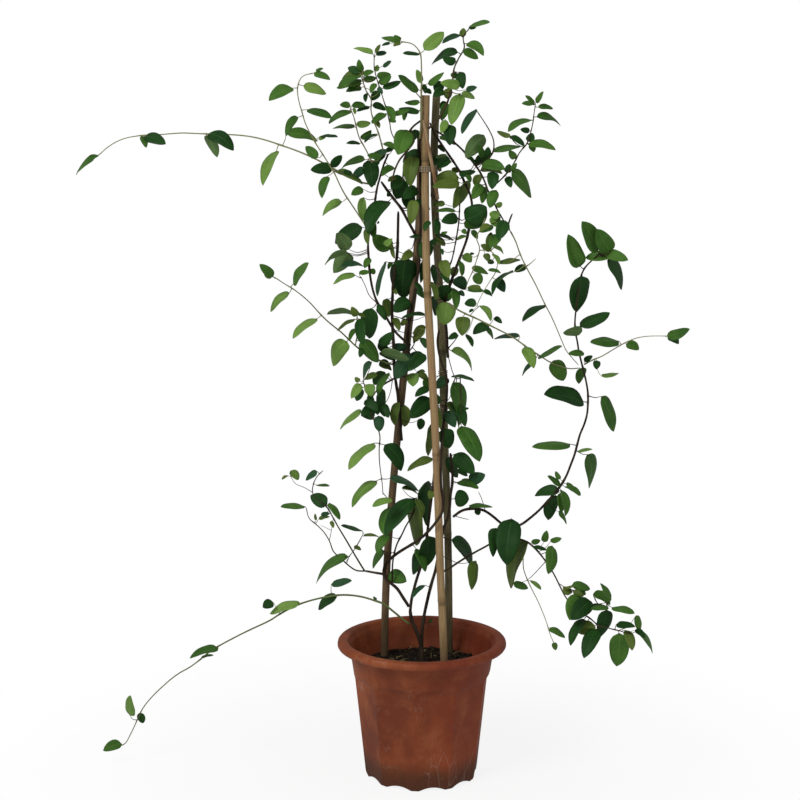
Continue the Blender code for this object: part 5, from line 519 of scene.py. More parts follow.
            (2.6, 72.5, 3.6, 70.9, 1, "dark", -0.7), (4.3, 70.2, 3.4, 68.4, 1, "mid", -0.5),
            (6.2, 70.3, 8.4, 69.9, 0.8, "mid", -0.4), (8.4, 69.9, 9.7, 69.2, 0.6, "dark"),
            (2.3, 91.2, 4.4, 90.1, 1, "mid", 0.4), (2.1, 90, 3, 89, 0.8, "dark", -0.6),
            (5.1, 84.9, 1.4, 84.3, 1.5, "olive", -1.6), (6.1, 85.2, 5, 81.8, 1.4, "olive", -0.6),
        ],
    },
    "right_hand_arch": {
        "stems": [
            (3, 1.6, [(1.7, 91.95, -0.9), (2.7, 91.3), (3.5, 90.9), (4.2, 90.4), (4.9, 89.7), (5.6, 89.1),
                (6.3, 88.3), (7, 87.4, -1.6), (7.9, 86.2), (8.5, 84.9), (9, 83.6), (9.4, 82.8, -2.4),
                (9.9, 81.9), (10.3, 81), (10.9, 80), (11.5, 79), (11.9, 78.3, -3.2)]),
            (2.6, 2.2, [(11.75, 78.9, -3.1), (11.9, 79.6), (12.3, 80.6, -3.1)]),
        ],
        "bark": "old",
        "leaves": [
            (8.3, 88.2, 7.5, 90, 0.9, "mid"), (8.9, 88.5, 7.1, 87.1, 1.3, "dark", -0.5),
            (8, 87.4, 11.2, 86.7, 1.6, "mid", -0.2), (8, 86.7, 10.9, 86.1, 0.9, "olive", -0.7),
            (6, 88.3, 7.1, 87.7, 0.5, "dark"), (7.8, 86, 7.2, 84.3, 1.2, "olive", -0.3),
            (9.6, 86.4, 9.5, 84, 1.7, "dark", 0.4), (6, 86, 6.6, 84.9, 0.7, "mid"),
            (10.1, 83.9, 9.2, 81.4, 1.5, "mid", -0.2), (10, 81.6, 10.9, 82.1, 0.8, "fresh"),
            (8.6, 84.3, 8.1, 82, 1.1, "mid", 0.6), (9.3, 79.2, 10.6, 80.2, 1.5, "fresh", -0.5),
            (8.4, 91.4, 5.8, 88.2, 2.2, "under", -1.6), (10.6, 80.3, 9.1, 80.6, 1.2, "fresh", -0.4),
            (8.2, 84.6, 6.8, 82.6, 1.6, "mid", 0.4),
        ],
    },
    "right_cluster": {
        "stems": [
            (1.6, 1.2, [(8.6, 80, -2.6), (8.3, 79, -3.2), (7.6, 78), (7.4, 77.2), (7.8, 76.2), (7.8, 75.2),
                (7.5, 74.4), (7.2, 73.5), (6.9, 72.6), (6.5, 71.8), (6.25, 71.2, -2.2), (6, 70.3, -1.4)]),
            (1.3, 0.9, [(7.8, 75.6, -3), (8.6, 75.7), (9.3, 75.5), (9.9, 74.6), (10.4, 73.8), (10.2, 73),
                (9.8, 71.8), (9.3, 71.3), (9, 70.6), (8.6, 70), (8, 69.3), (7.7, 68.4, -3)]),
        ],
        "bark": "pale",
        "leaves": [
            (9.4, 79, 7.8, 78.1, 0.8, "olive"), (9.3, 75.8, 9.4, 78.1, 1.2, "olive"),
            (9.5, 75.6, 8, 76.3, 1, "olive"), (9.7, 76, 11.2, 75.1, 0.5, "fresh"),
            (8.5, 75.1, 9.1, 74, 0.9, "olive"), (8.9, 74, 9.9, 73.8, 0.7, "dark"),
            (9.6, 75.1, 10.6, 73.6, 0.6, "fresh"), (6.7, 73.1, 9.1, 72.3, 0.9, "mid"),
            (9, 72.9, 10.8, 72.4, 0.5, "mid"), (7.3, 72.4, 8, 70.8, 1.5, "mid"),
            (10, 71.6, 11.3, 69.8, 1.4, "blue"), (8.1, 70.3, 6.2, 70.4, 0.7, "olive"),
            (8.4, 70, 9.6, 69.3, 0.6, "dark"), (7.1, 67.3, 6.4, 66.9, 0.4, "dark"),
            (6.5, 75.1, 7.1, 75.1, 0.4, "dark"), (9.8, 78.8, 7.8, 78.1, 0.9, "mid", 0.4),
            (10.6, 77.6, 9.2, 75.9, 1.4, "mid", 0.4),
        ],
    },
    "left_hand_drops": {
        "stems": [
            (2.8, 2.2, [(-0.25, 93.3, -1.3), (-0.8, 92.9), (-1.5, 92.3), (-1.95, 91.9, -1.5), (-2.1, 91),
                (-2.2, 90), (-2.35, 88.7), (-2.5, 87.5), (-2.7, 86), (-2.75, 85, -1.4)]),
            (3.2, 2.4, [(-1.9, 92, -1.5), (-1.4, 91.3, -1.9), (-1.2, 90.5), (-1.6, 89.8, -2.2), (-2.2, 89.1),
                (-2.8, 88.4), (-3.4, 87.6), (-3.8, 86.6), (-4.1, 85.7), (-4.2, 84.9, -2)]),
            (1.6, 1.2, [(-2.2, 90.1, -1.5), (-3, 90.3), (-3.8, 90.6, -2.3), (-4.2, 91.4), (-4.45, 92.7),
                (-4.7, 93.8), (-5, 95, -3.2), (-5.4, 96.2), (-5.7, 97.2), (-6, 98.1), (-6.35, 99.2),
                (-6.6, 100.1, -3.6), (-6.55, 101), (-6.6, 102, -3.8)]),
        ],
        "bark": "twig",
        "leaves": [
            (-2.2, 92.1, -3.4, 88.7, 2.6, "mid", -0.8), (-4.7, 93.4, -3.6, 93.1, 0.7, "mid"),
            (-5, 95.3, -3.9, 93.1, 1.1, "mid", -0.2), (-5.5, 97.6, -3, 98.6, 0.95, "dark"),
            (-6.1, 98.4, -4.3, 99.3, 1, "mid", 0.5), (-6.5, 99.9, -6.1, 100.8, 0.7, "fresh"),
            (-5.5, 100.6, -4.3, 101.3, 0.6, "blue"), (-6.7, 102.2, -9.4, 103.1, 0.7, "fresh"),
            (-6.5, 102.4, -5.8, 103.5, 0.55, "olive"), (-6.4, 102.1, -4.9, 102.5, 0.7, "blue"),
            (-6.1, 97.8, -5.5, 96.9, 0.7, "blue"), (-4, 94, -1.8, 94.8, 0.7, "mid", -0.6),
        ],
    },
    "left_top_twigs": {
        "stems": [
            (2, 1.3, [(-5.35, 88.9, -0.8), (-5.6, 90, -1), (-5.9, 91.1), (-6.15, 91.9), (-6.6, 93, -1.6),
                (-6.9, 94), (-7.1, 95), (-7, 95.9, -2), (-7.2, 96.6), (-7.7, 97.3), (-8, 98),
                (-8.2, 98.8, -2.6)]),
        ],
        "bark": "pale",
        "leaves": [
            (-7.2, 95.2, -9, 94.6, 0.6, "dark"), (-6.9, 95.4, -5, 94.7, 0.95, "dark"),
            (-7.7, 97, -7.8, 95.8, 0.6, "dark"), (-5.9, 97.2, -7, 96, 1.1, "dark", -0.6),
            (-6.3, 98.3, -7.1, 97, 0.8, "mid", -0.8), (-7, 92.9, -4.9, 94.3, 0.8, "mid"),
            (-6.4, 93.2, -5.9, 92.3, 0.6, "olive"), (-8.5, 90.8, -7, 92, 0.9, "mid", 0.4),
            (-6.2, 91.5, -8, 90.4, 0.5, "dark"), (-7.8, 99.7, -11, 99, 1.2, "olive"),
            (-7.9, 99.2, -11.5, 97.8, 0.9, "mid"), (-8.5, 99.8, -10.2, 100.4, 1.1, "dark", 0.5),
            (-8.2, 99.9, -8.7, 101.5, 0.9, "mid"), (-8.3, 98.3, -10.5, 97.4, 0.7, "olive"),
            (-8.1, 99.5, -6.7, 99.9, 0.8, "mid"), (-8.1, 98.8, -6.3, 99, 0.9, "mid", 0.5),
            (-5.4, 90.2, -3.6, 89.4, 0.8, "mid", 0.4), (-8.2, 98.6, -11.8, 97.9, 1, "mid", -0.3),
            (-8.3, 97.8, -10.4, 97.3, 0.9, "mid", 0.4), (-6.3, 99.3, -4.3, 99.5, 1, "mid", 0.5),
            (-5, 94.2, -6.9, 93, 0.9, "mid", -0.3),
        ],
    },
    "left_low_crown_shoot": {
        "stems": [
            (2.2, 1.2, [(-6.25, 85.8, -0.4), (-6.6, 86.7, -0.8), (-6.95, 87.7), (-7.3, 88.4), (-7.9, 89.6),
                (-8.4, 90.3), (-8.9, 91.7, -1.4), (-9.1, 92.6), (-9.4, 93.8), (-9.9, 95, -2)]),
        ],
        "bark": "pale",
        "leaves": [
            (-8.5, 90.2, -10.4, 90.3, 0.5, "dark"), (-9.2, 92.4, -12.3, 92.4, 0.6, "mid"),
            (-9.8, 94.7, -12.8, 92.9, 0.9, "mid"), (-9.8, 95.3, -11.3, 95.4, 0.9, "mid", 0.4),
            (-9.7, 95.4, -7.8, 95.3, 0.9, "mid", 0.5), (-9.1, 92.7, -7.1, 93, 1, "fresh"),
            (-5.6, 88.5, -7.5, 88.6, 0.9, "mid", -0.6), (-4.8, 89.1, -6.9, 88.8, 0.8, "blue"),
            (-6, 88, -6.7, 87, 0.8, "dark", 0.4), (-7.8, 88, -11.2, 86.9, 0.9, "mid"),
            (-7.5, 88, -7, 84.3, 2.2, "dark", 0.6), (-7.9, 86.9, -9.6, 85.3, 1.2, "blue", -0.5),
            (-9.7, 85.9, -10.8, 86.5, 0.9, "dark"), (-9.4, 95, -9.2, 94.1, 0.5, "fresh"),
        ],
    },
    "left_upper_runner": {
        "stems": [
            (2.6, 1.3, [(-6.45, 84.6, 0.2), (-7.6, 84.7), (-9, 85.1), (-11, 86), (-12.6, 87), (-14.5, 88),
                (-16.7, 89), (-19.2, 89.9, 1), (-22, 90.8), (-25, 91.3), (-30, 91.5), (-33, 91.6),
                (-35.5, 91.4), (-38, 91.3), (-40.5, 90.9), (-42.5, 90), (-44.2, 88.6, 2.5)]),
        ],
        "bark": "pale",
        "leaves": [
            (-44.2, 88.6, -46.1, 87.2, 0.8, "mid"), (-44.6, 88.5, -47.5, 86, 0.6, "mid", 0.5),
            (-38, 91.2, -35.1, 90.2, 1.6, "dark"), (-38.4, 91.2, -37.7, 89.6, 0.9, "mid"),
            (-29.3, 91.6, -25.8, 89.3, 1.9, "dark"), (-29.5, 91.4, -28, 88.4, 1.5, "under"),
            (-19.9, 89.3, -21.9, 84.5, 1.5, "fresh"), (-18.6, 91.5, -14.3, 90.6, 1.4, "mid"),
            (-12.2, 86.9, -15.3, 86.6, 1.6, "dark"), (-12.5, 87, -11, 88.6, 1.2, "dark"),
            (-12.2, 86.4, -8.2, 84.9, 0.6, "olive", -0.4), (-11.9, 86.3, -8.7, 85, 0.8, "fresh", 0.5),
        ],
    },
    "left_top_shoot": {
        "stems": [
            (2, 1.2, [(-7.45, 78.3, -0.8), (-8, 79.2), (-8.6, 80.1, -1), (-9.5, 81.5), (-10.1, 82.4),
                (-11.1, 84), (-11.9, 85.8, -2.4), (-13.2, 88), (-14.6, 90.2), (-15.9, 92.7),
                (-16.3, 94, -3.4), (-16.9, 96.2), (-17, 97.8), (-16.8, 98.7), (-16.2, 99.3),
                (-14.8, 99.7, -3.8)]),
        ],
        "bark": "pale",
        "leaves": [
            (-14.8, 99.7, -12.6, 98.9, 0.9, "mid"), (-14.5, 99.9, -13.5, 100.4, 0.4, "mid"),
            (-17.6, 97.7, -20.9, 96.1, 1.6, "mid"), (-16.3, 98, -13.1, 96.9, 1.3, "fresh"),
            (-15.8, 94.8, -12.4, 93.7, 1.1, "mid"), (-16.9, 93.8, -18.7, 91.2, 1.1, "mid"),
            (-14, 91.2, -11.6, 91.1, 0.4, "dark"), (-14.3, 88.2, -16, 89.8, 1.3, "mid", 0.6),
            (-13, 85.8, -13.9, 82.8, 1.2, "mid"), (-11, 82.25, -13.8, 80.35, 1.1, "fresh"),
            (-14.2, 90.8, -13.2, 91.1, 0.5, "fresh"),
        ],
    },
    "left_mid_shoot": {
        "stems": [
            (2.6, 1.2, [(-4.15, 59.6, 0.6), (-5.2, 59.9), (-6.3, 60.3, -0.6), (-7.4, 60.9), (-8.2, 61.4),
                (-9.5, 62.4), (-11, 63.9), (-12.7, 65.3), (-14, 66.5, -2.5), (-15.2, 67.9), (-16.7, 69.3),
                (-17.6, 70), (-18.6, 70.6), (-20.4, 71.8, -4)]),
            (1.5, 1, [(-9.3, 62.4, -1.1), (-9.05, 63.4), (-9.1, 64.8), (-9.1, 66.1), (-9, 66.9, -1.8)]),
        ],
        "bark": "green",
        "leaves": [
            (-20.5, 71.9, -22.4, 73.6, 1.3, "mid"), (-20.7, 71.9, -21.9, 72.3, 0.8, "olive", -0.3),
            (-17.9, 70.8, -15.7, 73.8, 1.2, "mid"), (-18.3, 69.7, -21.2, 67.1, 1.1, "fresh"),
            (-14.5, 66.1, -18, 63.3, 1.1, "fresh"), (-10.4, 62.9, -12.6, 59.3, 2.2, "fresh"),
            (-8.9, 66.1, -8.4, 62.5, 1.5, "dark"), (-8.6, 63, -6.1, 59.9, 2, "mid", -0.4),
            (-8.4, 62, -8.7, 60.6, 0.8, "dark", 0.4), (-9.3, 66.8, -13.2, 66.7, 0.8, "under"),
            (-9, 66.4, -9.8, 67.7, 1.1, "olive"), (-9.2, 66, -11.9, 64.4, 0.5, "olive"),
            (-9.1, 64.7, -10.1, 63, 0.7, "mid"), (-9, 66.6, -7.7, 66.2, 0.5, "olive"),
        ],
    },
    "left_hanging_shoot": {
        "stems": [
            (2.4, 1, [(-3.95, 57.6, 0.9), (-4.7, 57.2), (-5.6, 56.6), (-6.6, 55.6, -0.4), (-7.2, 54.4),
                (-7.2, 53), (-6.8, 51.7), (-6.3, 50.8), (-6, 50), (-5.9, 49), (-6, 48, -1), (-6.05, 47),
                (-6, 46), (-5.9, 44.8), (-5.7, 43.5), (-5.6, 42.5), (-5.5, 41, -1.6)]),
            (1.6, 1, [(-7.2, 54.2, -0.6), (-7.6, 55.4), (-8, 56.4), (-8.3, 57.4, -1.4)]),
            (1.2, 0.9, [(-4, 57.2, 0.8), (-4.5, 55.6), (-5.1, 54), (-5.6, 53.6, -0.2)]),
        ],
        "bark": "twig",
        "leaves": [
            (-6.3, 43.1, -10, 39.4, 1.3, "fresh"), (-4.6, 43.4, -0.5, 41.6, 0.95, "blue", 0.3),
            (-6.7, 48.5, -10.4, 44.8, 1.4, "fresh"), (-5.3, 48.3, -2.8, 44.4, 2.3, "dark"),
            (-4.1, 40.4, -7, 39.4, 1, "fresh"), (-7, 60, -8.3, 57.3, 0.8, "blue", 0.6),
            (-6.3, 58.4, -8, 57.5, 0.9, "fresh"), (-5.2, 58.6, -6.8, 56.7, 1.6, "dark", 0.4),
            (-4.6, 58.5, -6.3, 55.4, 1, "mid", 0.6), (-8.7, 57.2, -9.4, 57.8, 0.7, "olive"),
            (-8.6, 56.9, -9.9, 54.8, 1.3, "fresh"), (-8.5, 56.3, -9.2, 54.4, 1.3, "dark", -0.5),
            (-7.4, 56.9, -7.1, 55.1, 1.6, "fresh", -0.4), (-8.4, 53, -11.6, 50.5, 0.8, "fresh"),
            (-7, 53.6, -8.5, 52.3, 1.2, "dark"), (-7, 53.2, -7.2, 51.7, 1, "dark", 0.4),
            (-6.1, 52.4, -6, 50.1, 1.5, "blue", -0.4), (-5.5, 56.2, -5.5, 53.9, 1.1, "mid"),
            (-5.8, 54.1, -4.7, 52.1, 1.3, "dark", -0.4), (-7.6, 55.2, -6.9, 53.8, 0.9, "dark"),
            (-5.6, 56.2, -5.3, 52.2, 1.3, "dark", 0.6), (-6.8, 54.5, -6.2, 52.4, 1.2, "dark", -0.4),
            (-8.1, 54.5, -6.2, 53, 1.4, "dark", 0.5), (-8.6, 52.8, -6.9, 51.8, 1, "dark", 0.3),
        ],
    },
    "top_centre_shoot": {
        "stems": [
            (2.6, 1.4, [(-0.42, 90.8, -1.5), (-0.3, 92, -1.9), (-0.25, 94), (-0.25, 96, -1.9), (-0.2, 98),
                (-0.2, 100), (-0.25, 101.5), (-0.35, 102.2, -1.4), (-0.6, 102.9), (-1.3, 103.5),
                (-2.2, 103.8), (-2.9, 103.9, -0.4)]),
            (1.8, 1.2, [(-0.4, 96.2, -2), (-0.8, 96.9), (-1.2, 97.4, -2.3)]),
        ],
        "bark": "pale",
        "leaves": [
            (-3, 104, -3.9, 104.7, 0.9, "mid"), (-3, 103.8, -5.6, 104.6, 0.8, "mid"),
            (-3, 103.7, -4, 103.3, 0.6, "olive"), (-4.4, 103.7, -5.6, 103.4, 0.4, "dark"),
            (-0.4, 102.3, -2.7, 102.4, 0.55, "dark"), (0.1, 102.7, 2.8, 105.2, 1.9, "fresh"),
            (-0.5, 97.4, -3.3, 99.4, 1.2, "mid"), (-0.3, 98.3, -0.8, 100.2, 0.9, "fresh"),
            (-0.4, 94.6, -3.3, 94.9, 0.85, "dark"), (-0.4, 95.7, -2.5, 95.8, 0.7, "mid"),
            (-2.4, 94.7, -2.6, 93.3, 0.7, "mid"), (0.1, 98.2, 0.35, 96.9, 0.7, "dark"),
            (0.6, 98.2, 2.8, 99.8, 0.85, "mid"), (0.2, 97.4, 1.2, 96.9, 0.7, "dark"),
        ],
    },
    "top_right_shoot": {
        "stems": [
            (3.2, 1.2, [(0.75, 92.2, -2.2), (1.4, 92.7, -2.4), (2.2, 93.6, -2.6), (2.9, 94.8), (3.5, 96.2),
                (3.9, 97.8, -2.4), (4.1, 99.4), (4.25, 100.4), (4.7, 101.5), (5.1, 102, -1.6), (5.45, 102.7),
                (5.7, 103.5), (5.55, 104.2), (5.45, 104.6), (5.9, 105.2), (6.3, 105.7, -0.6)]),
        ],
        "bark": "twig",
        "leaves": [
            (4.5, 101.2, 2.7, 101.6, 1.2, "dark"), (4.8, 102.5, 1.1, 100.9, 1, "dark"),
            (5.9, 103.7, 8.2, 102.1, 1.3, "mid"), (5.4, 102.8, 7.5, 101.6, 1.2, "mid", -0.3),
            (5.3, 104.7, 2.6, 103.7, 0.75, "blue"), (5.2, 104.5, 5.5, 105.7, 0.95, "olive"),
            (6.3, 106, 9, 106.5, 0.7, "mid"), (6.2, 105.7, 7.2, 105.8, 0.5, "dark"),
            (5.1, 99.9, 5.4, 97.6, 1.4, "dark", 0.3), (4.1, 99.8, 4.4, 98.9, 0.9, "mid"),
            (5.8, 97.5, 7.3, 97.8, 0.8, "blue"), (5.2, 97, 7.1, 96.3, 0.9, "fresh"),
            (5.1, 97, 3.8, 92.8, 2, "fresh", -0.4), (2.7, 96, 2.8, 93.9, 1, "dark", 1),
            (3.6, 92.8, 3.7, 90, 1.8, "dark", 0.8), (2.2, 98.7, 2, 96.8, 1.5, "dark"),
            (5.1, 98, 2.4, 98.4, 1.4, "fresh", -0.5), (3.5, 97.7, 3.4, 96.1, 1.2, "olive", -0.2),
            (2.9, 97.3, 1.4, 96.6, 1.3, "dark", 0.3), (3.2, 95.8, 2.6, 93.2, 1.2, "mid", 0.4),
            (3.2, 93.4, 2.5, 91.6, 1.1, "fresh", 0.3),
        ],
    },
    "right_crown_arch": {
        "stems": [
            (2.4, 1.2, [(8.1, 86.6, -1.8), (8.5, 87.4), (9.1, 88.2), (9.6, 89.1), (9.7, 90.2),
                (9.4, 91.3, -2.6), (8.9, 92.2), (8.4, 93), (7.9, 93.8), (7.4, 94.5, -3.2)]),
        ],
        "bark": "twig",
        "leaves": [
            (7.3, 94.9, 5.3, 91.5, 1, "blue"), (9.6, 89, 13.3, 90, 0.9, "mid"),
            (8.9, 88.2, 8.9, 89.7, 1, "dark", 0.4), (7.8, 86.5, 10.6, 86.4, 0.9, "olive", -0.5),
        ],
    },
    "right_top_shoot": {
        "stems": [
            (2.2, 1.1, [(9.6, 84.3, -2), (10.4, 85), (11.2, 85.8), (12, 86.8), (12.6, 87.8, -1.2),
                (13.1, 88.8), (13.7, 89.6), (14.2, 90.2), (14.6, 91.4), (14.9, 92.6, 0.2), (15.05, 93.6),
                (15.2, 95.1), (15.3, 95.6, 0.8)]),
        ],
        "bark": "twig",
        "leaves": [
            (15.2, 95.4, 14, 96.7, 0.6, "mid"), (15.1, 95.6, 13.4, 95.7, 0.7, "mid"),
            (15.3, 95.7, 16.3, 97.2, 0.7, "mid"), (15.6, 95.1, 17.7, 94.9, 0.75, "mid"),
            (14.9, 93.4, 11.6, 91.8, 1, "mid"), (15.4, 93.8, 18.8, 92.7, 0.85, "mid"),
            (14.6, 91.9, 13.3, 92.1, 0.8, "dark"), (14.3, 90.4, 15, 91.6, 1.2, "dark", 0.4),
            (14.3, 90.2, 18.1, 89.5, 1.1, "mid"), (14.6, 90, 15.2, 89, 0.9, "mid"),
            (12.7, 88.1, 11.8, 89.2, 1, "mid"), (11.4, 86.2, 11.9, 87.4, 1, "dark"),
            (12, 86.5, 12.8, 87.5, 0.7, "mid"), (12.1, 86.5, 14.9, 82.8, 1.6, "mid"),
            (11.5, 85.7, 12.1, 84.2, 1.1, "dark"), (12, 91.1, 10.1, 91.9, 0.7, "olive", -0.4),
            (11.8, 91.2, 13.9, 89.8, 0.8, "dark", -0.4),
        ],
    },
    "tan_twiner": {
        "stems": [
            (5.6, 4.6, [(2, 82.6, -0.5), (1.75, 84.5, -1), (1.5, 86.2, -1.8), (1.15, 87.8, -2.3),
                (0.85, 89.3, -2.5), (0.55, 90.8, -2.6), (0.3, 92.2, -2.6), (0.05, 93.4, -2.4)]),
        ],
        "bark": "tan",
        "leaves": [],
    },
}


# ---- the plan in space


def place(across, up, back):
    """A plotted point in metres, carried back along the line of sight to its own depth."""
    board = Vector((across * CM, 0, up * CM))
    return board + (EYE - board) * (back * CM / EYE.y)


def plotted(spot):
    """Where a point in metres is on the board, and how far behind it, in centimetres."""
    share = spot.y / EYE.y
    board = (spot - EYE * share) / (1 - share)
    return Vector((board.x / CM, board.z / CM, spot.y / CM))


def with_depths(route):
    """The route's points as vectors, with the depths that it leaves out shared out by length."""
    lengths = [0.0]
    for a, b in zip(route, route[1:]):
        lengths.append(lengths[-1] + math.dist(a[:2], b[:2]))
    known = [(s, p[2]) for s, p in zip(lengths, route) if len(p) == 3]
    depths = np.interp(lengths, [k[0] for k in known], [k[1] for k in known])
    return [Vector((p[0], p[1], float(d))) for p, d in zip(route, depths)]


def fanned(points):
    """The same points, with those well out from the canes carried further to the front or the back."""
    spread = [min(FAN_MOST, 1 + FAN * max(0, abs(p.x - FAN_MIDDLE) - FAN_CORE)) for p in points]
    return [Vector((p.x, p.y, p.z * share)) for p, share in zip(points, spread)]


def evenly(points, step):
    """The same line with its points a step apart."""
    rows = np.array([tuple(p) for p in points])
    run = np.concatenate([[0], np.cumsum(np.linalg.norm(np.diff(rows, axis=0), axis=1))])
    count = max(2, round(run[-1] / step))
    spots = np.linspace(0, run[-1], count + 1)
    return [Vector([float(np.interp(s, run, rows[:, k])) for k in range(3)]) for s in spots]


def smooth(points, step):
    """Points a step apart along a Catmull-Rom curve through the given ones."""
    ends = [points[0] * 2 - points[1]] + points + [points[-1] * 2 - points[-2]]
    fine = []
    for a, b, c, d in zip(ends, ends[1:], ends[2:], ends[3:]):
        for i in range(8):
            t = i / 8
            fine.append((b * 2 + (c - a) * t + (a * 2 - b * 5 + c * 4 - d) * t * t
                         + (b * 3 - a - c * 3 + d) * t ** 3) / 2)
    fine.append(points[-1])
    return evenly(fine, step)


def tapered(first, last, count):
    return [float(g) for g in np.linspace(first, last, count)]


class Thicket:
    """What stands so far: points along the stems, and how thick they are there."""

    def __init__(self):
        self.spots = np.zeros((0, 3))
        self.radii = np.zeros(0)

    def add(self, spots, girths):
        line, radii = fine_line(spots, girths)
        self.spots = np.vstack([self.spots, line])
        self.radii = np.concatenate([self.radii, radii])

    def shortfall(self, line, radii):
        """For each point of a line, how far it is inside what stands, and the way out."""
        apart = line[:, None, :] - self.spots[None, :, :]
        need = radii[:, None] + self.radii[None, :] + 2.5 * GAP - np.linalg.norm(apart, axis=2)
        nearest = need.argmax(axis=1)
        rows = np.arange(len(line))
        return need[rows, nearest], apart[rows, nearest]


def weights(spots):
    """How points a fine step apart are made from the spots, as a matrix."""
    rows = []
    for i, (a, b) in enumerate(zip(spots, spots[1:])):
        count = max(1, round((b - a).length / FINE_STEP))
        for k in range(count):
            row = np.zeros(len(spots))
            row[i] = 1 - k / count
            row[i + 1] = k / count
            rows.append(row)
    last = np.zeros(len(spots))
    last[-1] = 1
    rows.append(last)
    return np.array(rows)


def fine_line(spots, girths):
    mix = weights(spots)
    return mix @ np.array([tuple(s) for s in spots]), mix @ np.array(girths) / 2


def eased(spots, girths, thicket, free):
    """Moves a stem's spots nearer or further along the line of sight, until it clears what stands.

    The first stretch, free metres long, may stay where it is, inside the stem that it grows from.
    """
    base = np.array([tuple(s) for s in spots])
    sight = np.array([tuple((EYE - s).normalized()) for s in spots])
    mix = weights(spots)
    radii = mix @ np.array(girths) / 2
    shift = np.zeros(len(spots))
    chosen = np.zeros(len(mix))
    for turn in range(EASE_TURNS):
        line = mix @ (base + shift[:, None] * sight)
        run = np.concatenate([[0], np.cumsum(np.linalg.norm(np.diff(line, axis=0), axis=1))])
        short, apart = thicket.shortfall(line, radii)
        short[run < free] = 0
        hit = short > 0
        if not hit.any():
            break
        side = np.where((apart * (mix @ sight)).sum(axis=1) < 0, -1, 1)
        chosen = np.where(hit & (chosen == 0), side, chosen)
        edges = np.flatnonzero(np.diff(hit.astype(int), prepend=0, append=0))
        for start, stop in zip(edges[::2], edges[1::2]):
            chosen[start:stop] = -1 if chosen[start:stop].sum() < 0 else 1
        push = np.where(hit, chosen * (short + 0.0002), 0)
        share = mix.T @ np.abs(hit).astype(float)
        shift += np.where(share > 0, mix.T @ push / np.maximum(share, 0.6), 0) * 1.3
        if turn % 4 == 3 and turn < EASE_TURNS / 2 and len(shift) > 2:
            shift[1:-1] += 0.12 * (shift[:-2] + shift[2:] - 2 * shift[1:-1])
        shift[0] = 0
    return [Vector(map(float, row)) for row in base + shift[:, None] * sight]


def stalk_spot(foot, lines):
    """The spot inside a shoot's stems nearest to a plotted foot, and how far behind the board it is."""
    best = None
    for spots, _ in lines:
        for spot in evenly(spots, FINE_STEP)[1:-1]:
            at = plotted(spot)
            miss = math.dist((at.x, at.y), foot)
            if best is None or miss < best[0]:
                best = (miss, spot, at.z)
    return best[1], best[2]


def stem_lines(shoot, thicket):
    """A shoot's stems as spots and girths, clear of what stands already."""
    lines = []
    for first, last, route in shoot["stems"]:
        spots = smooth([place(*p) for p in fanned(with_depths(route))], STEM_STEP)
        if lines:
            spots[0] = stalk_spot(route[0][:2], lines)[0]
        girths = tapered(first * MM, last * MM, len(spots))
        lines.append((eased(spots, girths, thicket, 0.012), girths))
    for spots, girths in lines:
        thicket.add(spots, girths)
    return lines


# ---- finishes


def add_node(tree, kind, inputs=None, **settings):
    """A shader node with its settings, and its inputs given as values or as sockets to link."""
    node = tree.nodes.new(kind)
    for key, value in settings.items():
        setattr(node, key, value)
    for key, value in (inputs or {}).items():
        if isinstance(value, bpy.types.NodeSocket):
            tree.links.new(value, node.inputs[key])
        else:
            node.inputs[key].default_value = value
    return node


def maths(tree, operation, first, second=0.0, third=0.0, clamp=False):
    values = {0: first, 1: second, 2: third}
    node = add_node(tree, "ShaderNodeMath", values, operation=operation, use_clamp=clamp)
    return node.outputs[0]


def ramp(tree, value, low, high, to_low=0.0, to_high=1.0):
    """The value's stretch from low to high, spread smoothly over to_low to to_high."""
    node = add_node(tree, "ShaderNodeMapRange", {"Value": value, "From Min": low, "From Max": high,
                                                 "To Min": to_low, "To Max": to_high},
                    interpolation_type="SMOOTHSTEP")
    return node.outputs[0]


def blended(tree, share, first, second, kind="MIX"):
    """Two colours mixed by a share."""
    node = add_node(tree, "ShaderNodeMix", data_type="RGBA", blend_type=kind, clamp_factor=True)
    for key, value in ((0, share), (6, first), (7, second)):
        if isinstance(value, bpy.types.NodeSocket):
            tree.links.new(value, node.inputs[key])
        else:
            node.inputs[key].default_value = (*value, 1) if isinstance(value, tuple) else value
    return node.outputs[2]


def laid_over(tree, mask, strength, base, colour):
    """A colour laid over another where a mask is, at a given strength."""
    return blended(tree, maths(tree, "MULTIPLY", mask, strength), base, colour)


def cloudy(tree, where, scale, detail=3.0, roughness=0.55):
    """Soft noise from 0 to 1."""
    return add_node(tree, "ShaderNodeTexNoise", {"Vector": where, "Scale": scale, "Detail": detail,
                                                 "Roughness": roughness}).outputs["Fac"]


def in_metres(tree):
    return add_node(tree, "ShaderNodeTexCoord").outputs["Object"]


def stretched(tree, where, scale):
    return add_node(tree, "ShaderNodeMapping", {"Vector": where, "Scale": scale}).outputs["Vector"]


def new_group(name, inputs, outputs):
    """An empty shader group with float or colour sockets: its tree, input sockets and output node."""
    tree = bpy.data.node_groups.new(name, "ShaderNodeTree")
    for label, default in inputs.items():
        socket = tree.interface.new_socket(label, in_out="INPUT", socket_type="NodeSocketFloat")
        socket.default_value = default
    for label in outputs:
        tree.interface.new_socket(label, in_out="OUTPUT", socket_type="NodeSocketFloat")
    start = tree.nodes.new("NodeGroupInput")
    end = tree.nodes.new("NodeGroupOutput")
    return tree, start.outputs, end


def hand_out(tree, end, **sockets):
    for label, socket in sockets.items():
        tree.links.new(socket, end.inputs[label])


def use_group(tree, name, **values):
    node = tree.nodes.new("ShaderNodeGroup")
    node.node_tree = bpy.data.node_groups[name]
    for label, value in values.items():
        node.inputs[label].default_value = value
    return node.outputs


